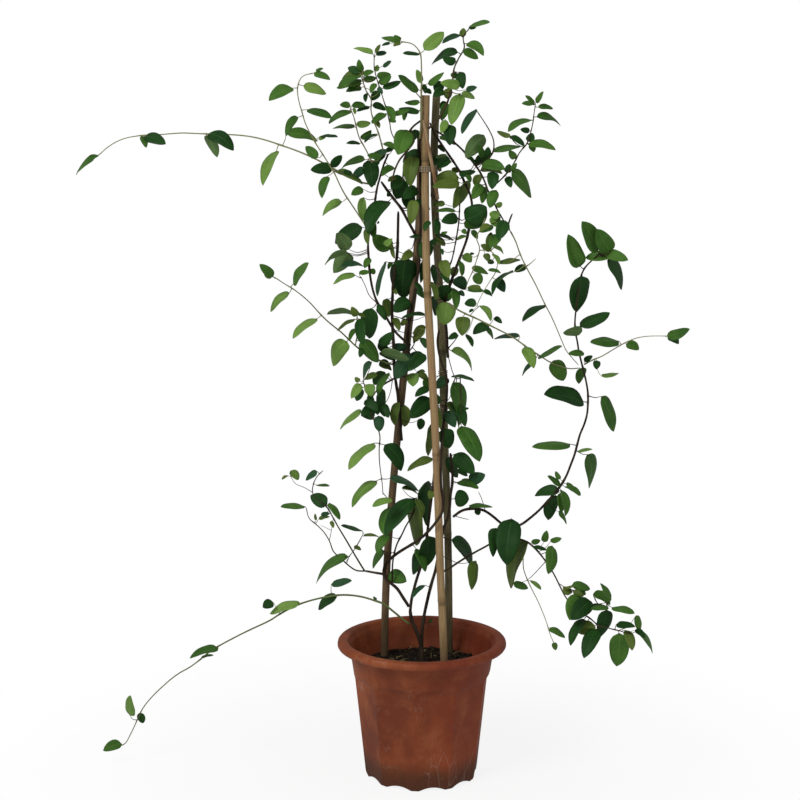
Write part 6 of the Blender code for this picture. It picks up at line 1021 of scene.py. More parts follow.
def build_along_grain():
    """Streaks and patches that run along a stem or cane, from its UV map: turns around, metres along."""
    tree, given, end = new_group("along_grain", {"Around": 3.0, "Along": 60.0, "Patch": 12.0},
                                 ("Streaks", "Patches", "Height"))
    uv = add_node(tree, "ShaderNodeUVMap", uv_map="grain").outputs[0]
    split = add_node(tree, "ShaderNodeSeparateXYZ", {0: uv})
    turn = maths(tree, "MULTIPLY", split.outputs[0], math.tau)
    ring_x = maths(tree, "MULTIPLY", maths(tree, "COSINE", turn), given["Around"])
    ring_y = maths(tree, "MULTIPLY", maths(tree, "SINE", turn), given["Around"])
    along = maths(tree, "MULTIPLY", split.outputs[1], given["Along"])
    where = add_node(tree, "ShaderNodeCombineXYZ", {0: ring_x, 1: ring_y, 2: along}).outputs[0]
    streaks = ramp(tree, cloudy(tree, where, 1.0, 4.0, 0.6), 0.32, 0.68)
    fibres = cloudy(tree, stretched(tree, where, (2.6, 2.6, 1.0)), 1.0, 5.0, 0.7)
    spread = maths(tree, "MULTIPLY", split.outputs[1], given["Patch"])
    half_x = maths(tree, "MULTIPLY", ring_x, 0.25)
    half_y = maths(tree, "MULTIPLY", ring_y, 0.25)
    place_of = add_node(tree, "ShaderNodeCombineXYZ", {0: half_x, 1: half_y, 2: spread}).outputs[0]
    patches = ramp(tree, cloudy(tree, place_of, 1.0, 3.0, 0.5), 0.38, 0.62)
    height = maths(tree, "ADD", maths(tree, "MULTIPLY", streaks, 0.5), maths(tree, "MULTIPLY", fibres, 0.5))
    hand_out(tree, end, Streaks=streaks, Patches=patches, Height=height)


def build_leaf_pattern():
    """Midrib, side veins, rim and mottling of a leaf. Its UV map is 0 to 1 across and from foot to tip."""
    tree, given, end = new_group("leaf_pattern", {"Veins": 6.0, "Rib": 0.035},
                                 ("Midrib", "Veins", "Rim", "Mottle", "Height"))
    uv = add_node(tree, "ShaderNodeUVMap", uv_map="leaf").outputs[0]
    split = add_node(tree, "ShaderNodeSeparateXYZ", {0: uv})
    off = maths(tree, "ABSOLUTE", maths(tree, "MULTIPLY_ADD", split.outputs[0], 2.0, -1.0))
    along = split.outputs[1]
    rib_edge = maths(tree, "MULTIPLY", given["Rib"], maths(tree, "MULTIPLY_ADD", along, -0.7, 1.6))
    beside_rib = ramp(tree, maths(tree, "DIVIDE", off, rib_edge), 0.5, 1.6)
    midrib = maths(tree, "SUBTRACT", 1.0, beside_rib, clamp=True)
    lean = maths(tree, "MULTIPLY", off, 0.22)
    slanted = maths(tree, "MULTIPLY", maths(tree, "SUBTRACT", along, lean), given["Veins"])
    wave = maths(tree, "ABSOLUTE", maths(tree, "SUBTRACT", maths(tree, "FRACT", slanted), 0.5))
    vein = maths(tree, "MULTIPLY", ramp(tree, wave, 0.43, 0.5), ramp(tree, off, 1.0, 0.5))
    rim = ramp(tree, off, 0.86, 1.0)
    spots = in_metres(tree)
    mottle = ramp(tree, cloudy(tree, spots, 90.0, 4.0, 0.6), 0.3, 0.7)
    bulge = maths(tree, "MULTIPLY", maths(tree, "SUBTRACT", 1.0, vein), 0.6)
    height = maths(tree, "SUBTRACT", bulge, maths(tree, "MULTIPLY", midrib, 0.8))
    hand_out(tree, end, Midrib=midrib, Veins=vein, Rim=rim, Mottle=mottle, Height=height)


def new_finish(name):
    """An empty material with its shader. Returns the material, its tree and the shader."""
    finish = bpy.data.materials.new(name)
    finish.use_nodes = True
    return finish, finish.node_tree, finish.node_tree.nodes["Principled BSDF"]


def give(tree, shader, **sockets):
    """Links or sets the shader's inputs. Words in an input's name are joined by underscores."""
    for label, value in sockets.items():
        socket = shader.inputs[label.replace("_", " ")]
        if isinstance(value, bpy.types.NodeSocket):
            tree.links.new(value, socket)
        else:
            socket.default_value = (*value, 1) if isinstance(value, tuple) else value


def bumped(tree, height, depth, strength=1.0):
    bump = add_node(tree, "ShaderNodeBump", {"Height": height, "Distance": depth, "Strength": strength})
    return bump.outputs[0]


def tint_of(tree):
    """How light each leaf is in its kind, from 0 to 1."""
    return add_node(tree, "ShaderNodeAttribute", attribute_name="tint").outputs["Fac"]


def leaf_upper_finish(tone):
    # each kind's colours hold painted light and shade as well as the leaf's own colour
    deep, light, _ = LEAF_COLOURS[tone]
    finish, tree, shader = new_finish(f"leaf_{tone}_upper")
    pattern = use_group(tree, "leaf_pattern", Veins=6.5, Rib=0.040)
    spot = in_metres(tree)
    clouds = ramp(tree, cloudy(tree, spot, 26.0, 3.0), 0.36, 0.66)
    share = maths(tree, "MULTIPLY_ADD", pattern["Mottle"], 0.30,
                  maths(tree, "MULTIPLY_ADD", tint_of(tree), 0.55, maths(tree, "MULTIPLY", clouds, 0.30)),
                  clamp=True)
    body = blended(tree, share, deep, light)
    lighter = tuple(1.45 * c + 0.008 for c in light)
    veined = laid_over(tree, pattern["Veins"], 0.22, body, lighter)
    rimmed = laid_over(tree, pattern["Rim"], 0.18, veined, light)
    ribbed = laid_over(tree, pattern["Midrib"], 0.42, rimmed, lighter)
    rough = maths(tree, "MULTIPLY_ADD", pattern["Mottle"], 0.14, 0.46)
    give(tree, shader, Base_Color=ribbed, Roughness=rough,
         Normal=bumped(tree, pattern["Height"], 0.0005, 0.6))
    shader.inputs["Specular IOR Level"].default_value = 0.16
    return finish


def leaf_under_finish(tone):
    pale = LEAF_COLOURS[tone][2]
    finish, tree, shader = new_finish(f"leaf_{tone}_under")
    pattern = use_group(tree, "leaf_pattern", Veins=6.5, Rib=0.05)
    share = maths(tree, "MULTIPLY_ADD", pattern["Mottle"], 0.5, maths(tree, "MULTIPLY", tint_of(tree), 0.5))
    body = blended(tree, share, tuple(0.75 * c for c in pale), tuple(1.25 * c for c in pale))
    veined = laid_over(tree, pattern["Veins"], 0.4, body, tuple(1.5 * c for c in pale))
    ribbed = laid_over(tree, pattern["Midrib"], 0.6, veined, tuple(1.8 * c for c in pale))
    give(tree, shader, Base_Color=ribbed, Roughness=maths(tree, "MULTIPLY_ADD", pattern["Mottle"], 0.1, 0.62),
         Normal=bumped(tree, pattern["Height"], -0.0005, 0.8))
    shader.inputs["Specular IOR Level"].default_value = 0.14
    return finish


def stem_finish(name, deep, light, patch, roughness, along, depth):
    """Bark or green skin: streaks between a deep and a light colour, with patches of a third."""
    finish, tree, shader = new_finish(f"stem_{name}")
    grain = use_group(tree, "along_grain", Around=1.6, Along=along, Patch=35.0)
    body = blended(tree, grain["Streaks"], deep, light)
    patched = laid_over(tree, grain["Patches"], 0.6, body, patch)
    give(tree, shader, Base_Color=patched,
         Roughness=maths(tree, "MULTIPLY_ADD", grain["Streaks"], 0.12, roughness),
         Normal=bumped(tree, grain["Height"], depth))
    shader.inputs["Specular IOR Level"].default_value = 0.14
    return finish


def cane_finish(name, deep, light, stain, stain_share):
    """A dry cane: fine straight grain, darker at its knots, with stains."""
    finish, tree, shader = new_finish(f"{name}_skin")
    grain = use_group(tree, "along_grain", Around=5.0, Along=26.0, Patch=7.0)
    fleck = use_group(tree, "along_grain", Around=9.0, Along=240.0, Patch=60.0)
    body = blended(tree, grain["Streaks"], deep, light)
    stained = laid_over(tree, grain["Patches"], stain_share, body, stain)
    flecked = laid_over(tree, ramp(tree, fleck["Streaks"], 0.72, 0.95), 0.5, stained, deep)
    knot = add_node(tree, "ShaderNodeAttribute", attribute_name="knot").outputs["Fac"]
    ringed = laid_over(tree, knot, 0.75, flecked, tuple(0.45 * c for c in deep))
    # darker towards the foot of the cane, near the compost
    near_compost = ramp(tree, add_node(tree, "ShaderNodeSeparateXYZ", {0: in_metres(tree)}).outputs[2], 0.235, 0.165)
    cane_foot_darkened = laid_over(tree, near_compost, 0.55, ringed, (0.05, 0.03, 0.02))
    give(tree, shader, Base_Color=cane_foot_darkened, Roughness=maths(tree, "MULTIPLY_ADD", grain["Streaks"], 0.15, 0.55),
         Normal=bumped(tree, maths(tree, "ADD", grain["Height"], fleck["Height"]), 0.0003))
    shader.inputs["Specular IOR Level"].default_value = 0.18
    return finish


def pot_finish():
    """Terracotta-coloured plastic that has stood outdoors: faded, stained, scratched and limed, darker towards
    the foot, with painted shade on its right side.
    """
    finish, tree, shader = new_finish("pot_weathered_plastic")
    spot = in_metres(tree)
    axes = add_node(tree, "ShaderNodeSeparateXYZ", {0: spot})
    across, up = axes.outputs[0], axes.outputs[2]
    broad = cloudy(tree, spot, 9.0, 4.0, 0.6)
    medium = cloudy(tree, spot, 38.0, 5.0, 0.65)
    fine = cloudy(tree, spot, 260.0, 4.0, 0.7)
    body = blended(tree, ramp(tree, broad, 0.35, 0.65), POT_DULL, POT_BRIGHT)
    # painted shade: the pot turns a darker red towards its right side
    shaded_right = laid_over(tree, ramp(tree, across, -0.03, 0.08), 0.6, body, POT_RIGHT_SHADE)
    worn = laid_over(tree, ramp(tree, medium, 0.45, 0.75), 0.5, shaded_right, POT_WORN)
    # darker towards the foot, with a ragged edge from noise
    low = maths(tree, "ADD", ramp(tree, up, 0.075, 0.005), maths(tree, "MULTIPLY_ADD", medium, 0.9, -0.45))
    pot_foot_darkened = laid_over(tree, ramp(tree, low, 0.35, 1.05), 0.78, worn, POT_FOOT_DARK)
    streaky = cloudy(tree, stretched(tree, spot, (1.0, 1.0, 0.16)), 55.0, 5.0, 0.7)
    washed = laid_over(tree, ramp(tree, streaky, 0.52, 0.72), 0.30, pot_foot_darkened, POT_RUNS)
    lime_clouds = cloudy(tree, stretched(tree, spot, (1.0, 1.0, 0.55)), 70.0, 6.0, 0.8)
    lime_zone = cloudy(tree, spot, 14.0, 2.0, 0.5)
    lime = maths(tree, "MULTIPLY", ramp(tree, lime_clouds, 0.60, 0.72), ramp(tree, lime_zone, 0.45, 0.62))
    limed = laid_over(tree, lime, 0.55, washed, POT_LIME)
    cells = {"Vector": stretched(tree, spot, (1.0, 1.0, 0.22)), "Scale": 60.0}
    scratch_field = add_node(tree, "ShaderNodeTexVoronoi", cells, feature="DISTANCE_TO_EDGE").outputs[0]
    scratch = maths(tree, "MULTIPLY", ramp(tree, scratch_field, 0.022, 0.0), ramp(tree, broad, 0.52, 0.66))
    scratched = laid_over(tree, scratch, 0.35, limed, POT_SCRATCH)
    give(tree, shader, Base_Color=scratched,
         Roughness=maths(tree, "MULTIPLY_ADD", medium, 0.25, 0.46),
         Normal=bumped(tree, maths(tree, "ADD", fine, maths(tree, "MULTIPLY", lime, 0.8)), 0.0003))
    shader.inputs["Specular IOR Level"].default_value = 0.20
    return finish


def compost_finish(name, deep, light):
    finish, tree, shader = new_finish(name)
    spot = in_metres(tree)
    lumps = cloudy(tree, spot, 190.0, 6.0, 0.75)
    bits = cloudy(tree, spot, 700.0, 3.0, 0.6)
    body = blended(tree, ramp(tree, lumps, 0.35, 0.7), deep, light)
    flecked = laid_over(tree, ramp(tree, bits, 0.62, 0.72), 0.5, body, tuple(2.5 * c for c in light))
    give(tree, shader, Base_Color=flecked, Roughness=maths(tree, "MULTIPLY_ADD", bits, 0.1, 0.85),
         Normal=bumped(tree, lumps, 0.002))
    shader.inputs["Specular IOR Level"].default_value = 0.10
    return finish


def twine_finish():
    finish, tree, shader = new_finish("jute_twine")
    uv = add_node(tree, "ShaderNodeUVMap", uv_map="grain").outputs[0]
    split = add_node(tree, "ShaderNodeSeparateXYZ", {0: uv})
    lay = maths(tree, "SINE", maths(tree, "MULTIPLY_ADD", split.outputs[1], 1900.0,
                                    maths(tree, "MULTIPLY", split.outputs[0], math.tau)))
    fuzz = cloudy(tree, in_metres(tree), 900.0, 4.0, 0.7)
    body = blended(tree, ramp(tree, lay, -0.8, 0.9), (0.12, 0.085, 0.05), (0.38, 0.30, 0.19))
    give(tree, shader, Base_Color=blended(tree, maths(tree, "MULTIPLY", fuzz, 0.4), body, (0.20, 0.15, 0.09)),
         Roughness=maths(tree, "MULTIPLY_ADD", fuzz, 0.1, 0.8),
         Normal=bumped(tree, maths(tree, "ADD", lay, fuzz), 0.0002))
    return finish


# ---- meshes


def new_piece(name, bm, finishes, replaced, smooth_angle=None):
    """A finished piece from a bmesh, riding on the part's one body."""
    mesh = bpy.data.meshes.new(name)
    bm.to_mesh(mesh)
    bm.free()
    for finish in finishes:
        mesh.materials.append(finish)
    mesh.shade_smooth()
    if smooth_angle:
        mesh.set_sharp_from_angle(angle=smooth_angle)
    piece = bpy.data.objects.new(name, mesh)
    bpy.context.scene.collection.objects.link(piece)
    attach(piece, "root")
    if replaced:
        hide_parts(*replaced)
    return piece


def rings_to_skin(bm, rings, layer=None, runs=None, capped=True):
    """Faces between rings of vertices, and a fan over each end. runs are the rings' distances along."""
    steps = len(rings[0])
    for i, (low, high) in enumerate(zip(rings, rings[1:])):
        for k in range(steps):
            j = (k + 1) % steps
            face = bm.faces.new((low[k], low[j], high[j], high[k]))
            if layer:
                corners = ((k, i), (k + 1, i), (k + 1, i + 1), (k, i + 1))
                for loop, (around, along) in zip(face.loops, corners):
                    loop[layer].uv = (around / steps, runs[along])
    if capped:
        for ring, flip in ((rings[0], True), (rings[-1], False)):
            middle = bm.verts.new(sum((v.co for v in ring), Vector()) / steps)
            for k in range(steps):
                j = (k + 1) % steps
                face = bm.faces.new((middle, ring[j], ring[k]) if flip else (middle, ring[k], ring[j]))
                if layer:
                    for loop in face.loops:
                        loop[layer].uv = (k / steps, runs[0] if flip else runs[-1])


def add_tube(bm, points, radii, sides, layer, start_run=0.0):
    """A round tube through the points, its rings turned as little as possible from one to the next."""
    rings = []
    runs = []
    run = start_run
    up = None
    for i, point in enumerate(points):
        ahead = points[min(i + 1, len(points) - 1)]
        behind = points[max(i - 1, 0)]
        way = (ahead - behind)
        way = way.normalized() if way.length > 1e-9 else Vector((0, 0, 1))
        if up is None:
            up = way.orthogonal().normalized()
        up = (up - way * up.dot(way)).normalized()
        side = way.cross(up)
        if i:
            run += (point - points[i - 1]).length
        runs.append(run)
        rings.append([bm.verts.new(point + (up * math.cos(a) + side * math.sin(a)) * radii[i])
                      for a in (k * math.tau / sides for k in range(sides))])
    rings_to_skin(bm, rings, layer, runs)


# ---- pot and compost


def panel_distance(height):
    return PANEL_TOP_RADIUS - PANEL_SLOPE * (PANEL_TOP - height)


def panel_angle(angle):
    """How far an angle round the pot is from the middle of its panel."""
    width = math.tau / PANELS
    return (angle - FIRST_RIB) % width - width / 2


def outer_radius(angle, height):
    """The pot's outer wall: the flared wall where it lies inside the flat panels, with softened ribs."""
    wall = float(np.interp(height, WALL_HEIGHTS, WALL_RADII))
    flat = panel_distance(min(height, PANEL_TOP)) + max(0, height - PANEL_TOP) * PANEL_BEVEL
    panel = flat / math.cos(panel_angle(angle))
    mix = 0.5 + 0.5 * max(-1, min(1, (panel - wall) / RIB_SOFTNESS))
    return wall * mix + panel * (1 - mix) - RIB_SOFTNESS * mix * (1 - mix) / 2


def inner_radius(height):
    return float(np.interp(height, INSIDE_HEIGHTS, INSIDE_RADII))


def foot_lift(angle, radius):
    """The height of the low arch in the foot at an angle."""
    bow = (FOOT_ARCH_WIDTH ** 2 / 4 + FOOT_ARCH_HEIGHT ** 2) / (2 * FOOT_ARCH_HEIGHT)
    off = radius * math.tan(panel_angle(angle))
    return max(0.0, math.sqrt(max(0, bow * bow - off * off)) - (bow - FOOT_ARCH_HEIGHT))


def make_pot(finish):
    """The shell as rings round the axis: up the outside, over the rim, down the inside, across the base."""
    under = POT_HEIGHT - RIM_DEPTH
    lip = [(0.1036, 0.1842), (0.1046, 0.1862), (0.1062, under - 0.0015), (0.1130, under - 0.0004),
           (RIM_RADIUS - 0.0040, under), (RIM_RADIUS - 0.0012, under + 0.0014), (RIM_RADIUS, under + 0.0034),
           (RIM_RADIUS, under + 0.0056), (RIM_RADIUS - 0.0006, POT_HEIGHT - 0.0032),
           (RIM_RADIUS - 0.0022, POT_HEIGHT - 0.0012), (RIM_RADIUS - 0.0050, POT_HEIGHT - 0.0003),
           (RIM_RADIUS - 0.0085, POT_HEIGHT), (RIM_INNER_RADIUS + 0.0035, POT_HEIGHT - 0.0002),
           (RIM_INNER_RADIUS + 0.0012, POT_HEIGHT - 0.0012), (RIM_INNER_RADIUS, POT_HEIGHT - 0.0032),
           (RIM_INNER_RADIUS - 0.0010, POT_HEIGHT - 0.0065)]
    bm = bmesh.new()
    angles = [k * math.tau / POT_STEPS for k in range(POT_STEPS)]
    rings = []

    def ring(radius_of, height_of):
        rings.append([bm.verts.new((radius_of(a) * math.cos(a), radius_of(a) * math.sin(a), height_of(a)))
                      for a in angles])

    floor = BASE_RISE + WALL
    foot = panel_distance(0) - WALL
    for radius in (0.010, 0.020, BOSS_RADIUS - 0.0006):
        ring(lambda a: radius, lambda a: 0.0)
    ring(lambda a: BOSS_RADIUS, lambda a: 0.0006)
    for radius in (BOSS_RADIUS + 0.0010, 0.05, foot - 0.0022):
        ring(lambda a: radius, lambda a: BASE_RISE)
    ring(lambda a: foot - 0.0004, lambda a: max(BASE_RISE - 0.0009, foot_lift(a, foot)))
    ring(lambda a: foot + 0.0003, lambda a: foot_lift(a, foot) + 0.0003)
    ring(lambda a: outer_radius(a, 0) - 0.0005, lambda a: foot_lift(a, 0.0775))
    for height in list(np.linspace(0.0006, 0.02, 10)) + list(np.linspace(0.024, 0.1835, 54)):
        ring(lambda a: outer_radius(a, height),
             lambda a: height + foot_lift(a, 0.0775) * max(0, 1 - height / 0.02))
    for radius, height in lip:
        ring(lambda a: radius, lambda a: height)
    for height in list(np.linspace(0.191, 0.15, 18)) + list(np.linspace(0.14, floor + 0.002, 8)):
        ring(lambda a: inner_radius(height), lambda a: height)
    for radius in (foot - 0.003, 0.05, BOSS_RADIUS - 0.0025):
        ring(lambda a: radius, lambda a: floor)
    for radius in (BOSS_RADIUS - 0.0035, 0.012):
        ring(lambda a: radius, lambda a: WALL)
    rings_to_skin(bm, rings)
    pot = new_piece("pot_shell", bm, [finish], ["pot"], math.radians(50))
    drill_drains(pot)
    return pot


def drill_drains(pot):
    """Cuts the drain holes and keeps the cut mesh."""
    bm = bmesh.new()
    for i in range(DRAIN_HOLES):
        angle = i * math.tau / DRAIN_HOLES
        made = bmesh.ops.create_cone(bm, cap_ends=True, segments=28, depth=0.03,
                                     radius1=DRAIN_RADIUS, radius2=DRAIN_RADIUS)
        bmesh.ops.translate(bm, vec=(DRAIN_CIRCLE * math.cos(angle), DRAIN_CIRCLE * math.sin(angle), 0),
                            verts=made["verts"])
    mesh = bpy.data.meshes.new("drain_bits")
    bm.to_mesh(mesh)
    bm.free()
    bits = bpy.data.objects.new("drain_bits", mesh)
    bpy.context.scene.collection.objects.link(bits)
    cut = pot.modifiers.new("drains", "BOOLEAN")
    cut.operation = "DIFFERENCE"
    cut.object = bits
    bpy.context.view_layer.update()
    graph = bpy.context.evaluated_depsgraph_get()
    drilled = bpy.data.meshes.new_from_object(pot.evaluated_get(graph))
    pot.modifiers.clear()
    pot.data = drilled
    bpy.data.objects.remove(bits, do_unlink=True)


def soil_height(x, y):
    """The compost's lumpy surface."""
    share = min(1, math.hypot(x, y) / 0.09)
    lumps = noise.noise(Vector((x, y, 0.3)) * 60) * 0.0022 + noise.noise(Vector((x, y, 1.7)) * 190) * 0.0012
    return SOIL_MIDDLE + (SOIL_EDGE - SOIL_MIDDLE) * share ** 2 + lumps


def make_compost(finish):
    bm = bmesh.new()
    steps = 160
    angles = [k * math.tau / steps for k in range(steps)]
    rings = []
    for share, drop in ((0.30, 1), (0.97, 1), (1.0, 0.95), (1.0, 0.5), (1.0, 0.06)):
        height = SOIL_EDGE - SOIL_DEPTH * drop
        radius = (inner_radius(height) - GAP) * share
        rings.append([bm.verts.new((radius * math.cos(a), radius * math.sin(a), height)) for a in angles])
    for share in np.linspace(1.0, 0.02, 60):
        radius = (inner_radius(SOIL_EDGE) - GAP) * share
        ring = []
        for a in angles:
            x, y = radius * math.cos(a), radius * math.sin(a)
            ring.append(bm.verts.new((x, y, soil_height(x, y))))
        rings.append(ring)
    rings_to_skin(bm, rings)
    return new_piece("compost_bed", bm, [finish], ["compost"])


def scatter(chance, reach=0.088):
    """A spot on the compost, as x, y and height."""
    angle = chance.uniform(0, math.tau)
    radius = reach * math.sqrt(chance.random())
    x, y = radius * math.cos(angle), radius * math.sin(angle)
    return Vector((x, y, soil_height(x, y)))


def make_clods(name, count, least, most, finish, seed, flatness=0.7):
    """Loose lumps on the compost."""
    chance = random.Random(seed)
    bm = bmesh.new()
    for _ in range(count):
        made = bmesh.ops.create_icosphere(bm, subdivisions=1, radius=1)
        size = least + (most - least) * chance.random() ** 2.5
        spot = scatter(chance)
        turn = chance.uniform(0, math.tau)
        offset = Vector((chance.uniform(0, 50), 0, 0))
        for vert in made["verts"]:
            rough = 1 + 0.45 * noise.noise(vert.co * 1.7 + offset)
            x, y, z = vert.co * rough * size
            vert.co = spot + Vector((x * math.cos(turn) - y * math.sin(turn) * 0.7,
                                     x * math.sin(turn) + y * math.cos(turn) * 0.7,
                                     z * flatness + size * 0.3))
    return new_piece(name, bm, [finish], [])


def make_straws(finish):
    """Bits of dry stalk and moss on the compost, thickest at the left of the trunk."""
    chance = random.Random(41)
    bm = bmesh.new()
    layer = bm.loops.layers.uv.new("grain")
    for i in range(STRAWS):
        spot = scatter(chance)
        if i % 2:
            spot = Vector((chance.gauss(-0.040, 0.012), chance.gauss(-0.01, 0.02), 0))
            spot.z = soil_height(spot.x, spot.y)
        turn = chance.uniform(0, math.pi)
        length = chance.uniform(0.006, 0.020)
        way = Vector((math.cos(turn), math.sin(turn), chance.uniform(-0.1, 0.35))) * length
        bow = Vector((0, 0, chance.uniform(0, 0.003)))
        points = [spot + way * (t - 0.5) + bow * 4 * t * (1 - t) + Vector((0, 0, 0.0012))
                  for t in (0, 0.33, 0.66, 1)]
        add_tube(bm, points, [0.0003, 0.0006, 0.0006, 0.0003], 5, layer)
    return new_piece("compost_straws", bm, [finish], [])


# ---- canes and twine


def make_cane(name, spots, girths, finish):
    """A cane with its knots, and a sawn top with the pith sunk in it."""
    line = smooth(spots, 0.004)
    widths = np.interp(np.linspace(0, 1, len(line)), np.linspace(0, 1, len(girths)), girths)
    chance = random.Random(name)
    radii = []
    marks = []
    for point, width in zip(line, widths):
        off = min(((point.z - height) for height in CANE_KNOTS[name]), key=abs)
        ring = math.exp(-(off / KNOT_WIDTH) ** 2)
        groove = math.exp(-((off + GROOVE_DROP) / GROOVE_WIDTH) ** 2)
        uneven = 0.02 * noise.noise(Vector((point.z * 14, len(name), 0.5)))
        radii.append(width / 2 * (1 + KNOT_SWELL * ring - GROOVE_DEPTH * groove + uneven))
        marks.append(max(ring, groove) + chance.uniform(0, 0.05))
    top = line[-1]
    way = (line[-1] - line[-2]).normalized()
    line += [top + way * 0.0001, top, top - way * 0.009]
    radii += [radii[-1] * 0.93, radii[-1] * 0.50, radii[-1] * 0.42]
    marks += [0.5, 0.8, 1.0]
    bm = bmesh.new()
    layer = bm.loops.layers.uv.new("grain")
    knot = bm.verts.layers.float.new("knot")
    tube_points(bm, line, radii, marks, 28, layer, knot)
    return new_piece(f"{name}_pole", bm, [finish], [name])


def tube_points(bm, line, radii, marks, sides, layer, mark_layer):
    """A tube whose rings all stand across the line's general way, with a mark stored on each ring."""
    rings = []
    runs = []
    for i, (point, radius) in enumerate(zip(line, radii)):
        way = (line[min(i + 1, len(line) - 4)] - line[max(min(i, len(line) - 4) - 1, 0)]).normalized()
        up = (Vector((0, 1, 0)) - way * way.y).normalized()
        side = way.cross(up)
        ring = [bm.verts.new(point + (up * math.cos(a) + side * math.sin(a)) * radius)
                for a in (k * math.tau / sides for k in range(sides))]
        for vert in ring:
            vert[mark_layer] = marks[i]
        rings.append(ring)
        runs.append(point.z)
    rings_to_skin(bm, rings, layer, runs)


def at_height(spots, height):
    """Where a rising line of spots passes a height."""
    for a, b in zip(spots, spots[1:]):
        if a.z <= height <= b.z:
            return a.lerp(b, (height - a.z) / (b.z - a.z))
    return spots[-1]


def twine_loop(stands, height, turns, pitch, reach, steps=28):
    """Points of twine wound round upright canes that stand at the given spots."""
    middle = sum(stands, Vector()) / len(stands)
    points = []
    for i in range(int(turns * steps) + 1):
        angle = i * math.tau / steps
        way = Vector((math.cos(angle), math.sin(angle), 0))
        support = max((s - middle).dot(way) for s in stands) + reach
        spot = middle + way * support
        spot.z = height + pitch * (i / steps - turns / 2)
        points.append(spot)
    return points


def make_ties(canes, finish):
    """The binding under the canes' tops, and the short ties lower down on the rear cane."""
    bm = bmesh.new()
    layer = bm.loops.layers.uv.new("grain")
    stands = [at_height(spots, TIE_HEIGHT) for spots, _ in canes.values()]
    reach = CANE_FOOT_GIRTH / 2 + TIE_GIRTH / 2
    bound = twine_loop(stands, TIE_HEIGHT, TIE_TURNS, TIE_GIRTH * 0.95, reach)
    add_tube(bm, bound, [TIE_GIRTH / 2] * len(bound), 8, layer)
    rear = canes["cane_rear"][0]
    for height, turns in ((0.578, 2), (0.528, 2)):
        loop = twine_loop([at_height(rear, height)], height, turns, 0.003, CANE_FOOT_GIRTH / 2 + 0.0006, 20)
        add_tube(bm, loop, [0.0008] * len(loop), 6, layer)
    return new_piece("twine_ties", bm, [finish], ["twine_tie"])


# ---- stems and leaves


def make_wood(name, lines, stalks, petioles, finish):
    """A shoot's stems, thicker where leaves join them, and the leaves' short stalks."""
    bm = bmesh.new()
    layer = bm.loops.layers.uv.new("grain")
    joints = np.array([tuple(s) for s in stalks]) if stalks else np.full((1, 3), 9.0)
    run = 0.0
    for spots, girths in lines:
        line = smooth(spots, SKIN_STEP)
        widths = np.interp(np.linspace(0, 1, len(line)), np.linspace(0, 1, len(girths)), girths)
        radii = []
        for point, width in zip(line, widths):
            near = float(np.min(np.linalg.norm(joints - np.array(tuple(point)), axis=1)))
            swell = 1 + min(0.35, 0.0006 / width) * math.exp(-(near / 0.0035) ** 2)
            radii.append(width / 2 * swell * (1 + 0.06 * noise.noise(point * 90)))
        radii[-1] *= 0.6
        add_tube(bm, line, radii, 9 if widths[0] > 0.0022 else 7, layer, run)
        run += 1.3
    for points, radii in petioles:
        add_tube(bm, points, radii, 6, layer, run)
        run += 0.17
    return new_piece(f"{name}_wood", bm, [finish], [name])


def leaf_axes(foot, tip, seen_width, tone):
    """A leaf's upward normal and its real width, from the width that is seen from the front."""
    along = (tip - foot).normalized()
    middle = (foot + tip) / 2
    sight = (EYE - middle).normalized()
    facing = (sight - along * sight.dot(along)).normalized()
    across = along.cross(facing)
    outward = Vector((middle.x, middle.y, 0)).normalized()
    if across.z + 0.35 * across.dot(outward) < 0:
        across = -across
    width = max(seen_width, LEAF_ASPECT * (tip - foot).length)
    turn = math.acos(min(1, seen_width / width))
    side_up = -1 if tone == "under" else 1
    normal = facing * (side_up * math.cos(turn)) + across * math.sin(turn)
    return normal.normalized(), width


def leaf_arch(foot, tip, normal):
    """How far a leaf's middle is off the line from foot to tip: a leaf that hangs out bows upwards."""
    along = (tip - foot).normalized()
    upright = (Vector((0, 0, 1)) - along * along.z) * max(-0.5, min(1, 0.15 - 1.2 * along.z))
    return (normal * LEAF_ARCH + upright * LEAF_BOW) * (tip - foot).length


def lens_tree(stalk, foot, tip, normal, width):
    """A coarse lens with the leaf's reach, to find what it would run into."""
    side = (tip - foot).cross(normal).normalized()
    arch = leaf_arch(foot, tip, normal)
    thick = LEAF_THICKNESS / 2 + 2 * GAP
    points = [stalk]
    for t, share in ((0.25, 0.95 * 0.866), (0.75, 0.78 * 0.866)):
        middle = foot.lerp(tip, t) + arch * 4 * t * (1 - t)
        half = width / 2 * share
        points += [middle + side * half, middle + normal * thick,
                   middle - side * half, middle - normal * thick]
    points.append(tip)
    faces = []
    for k in range(4):
        j = (k + 1) % 4
        faces += [(0, 1 + j, 1 + k), (1 + k, 1 + j, 5 + j), (1 + k, 5 + j, 5 + k), (5 + k, 5 + j, 9)]
    return BVHTree.FromPolygons(points, faces)


def settle_leaf(leaf, order, lines, standing):
    """Where a plotted leaf goes in space: the first place along the line of sight where it is clear."""
    x0, z0, x1, z1, seen, tone, *more = leaf
    out = more[0] if more else 0.0
    stalk, depth = stalk_spot((x0, z0), lines)
    lean = LEANS[order % len(LEANS)] * math.dist((x0, z0), (x1, z1))
    first = None
    for shift in SHIFTS:
        start = depth + out + shift / CM
        foot = place(x0, z0, start)
        tip = place(x1, z1, start + lean)
        if (stalk - foot).dot(tip - foot) > 0.1 * (tip - foot).length_squared:
            continue
        normal, width = leaf_axes(foot, tip, seen * CM, tone)
        spot = (stalk, foot, tip, normal, width)
        tree = lens_tree(*spot)
        first = first or (spot, tree)
        if not any(tree.overlap(other) for other in standing):
            return spot, tree
    if first is None:
        foot = place(x0, z0, depth)
        tip = place(x1, z1, depth + lean)
        normal, width = leaf_axes(foot, tip, seen * CM, tone)
        first = ((stalk, foot, tip, normal, width), lens_tree(stalk, foot, tip, normal, width))
    return first


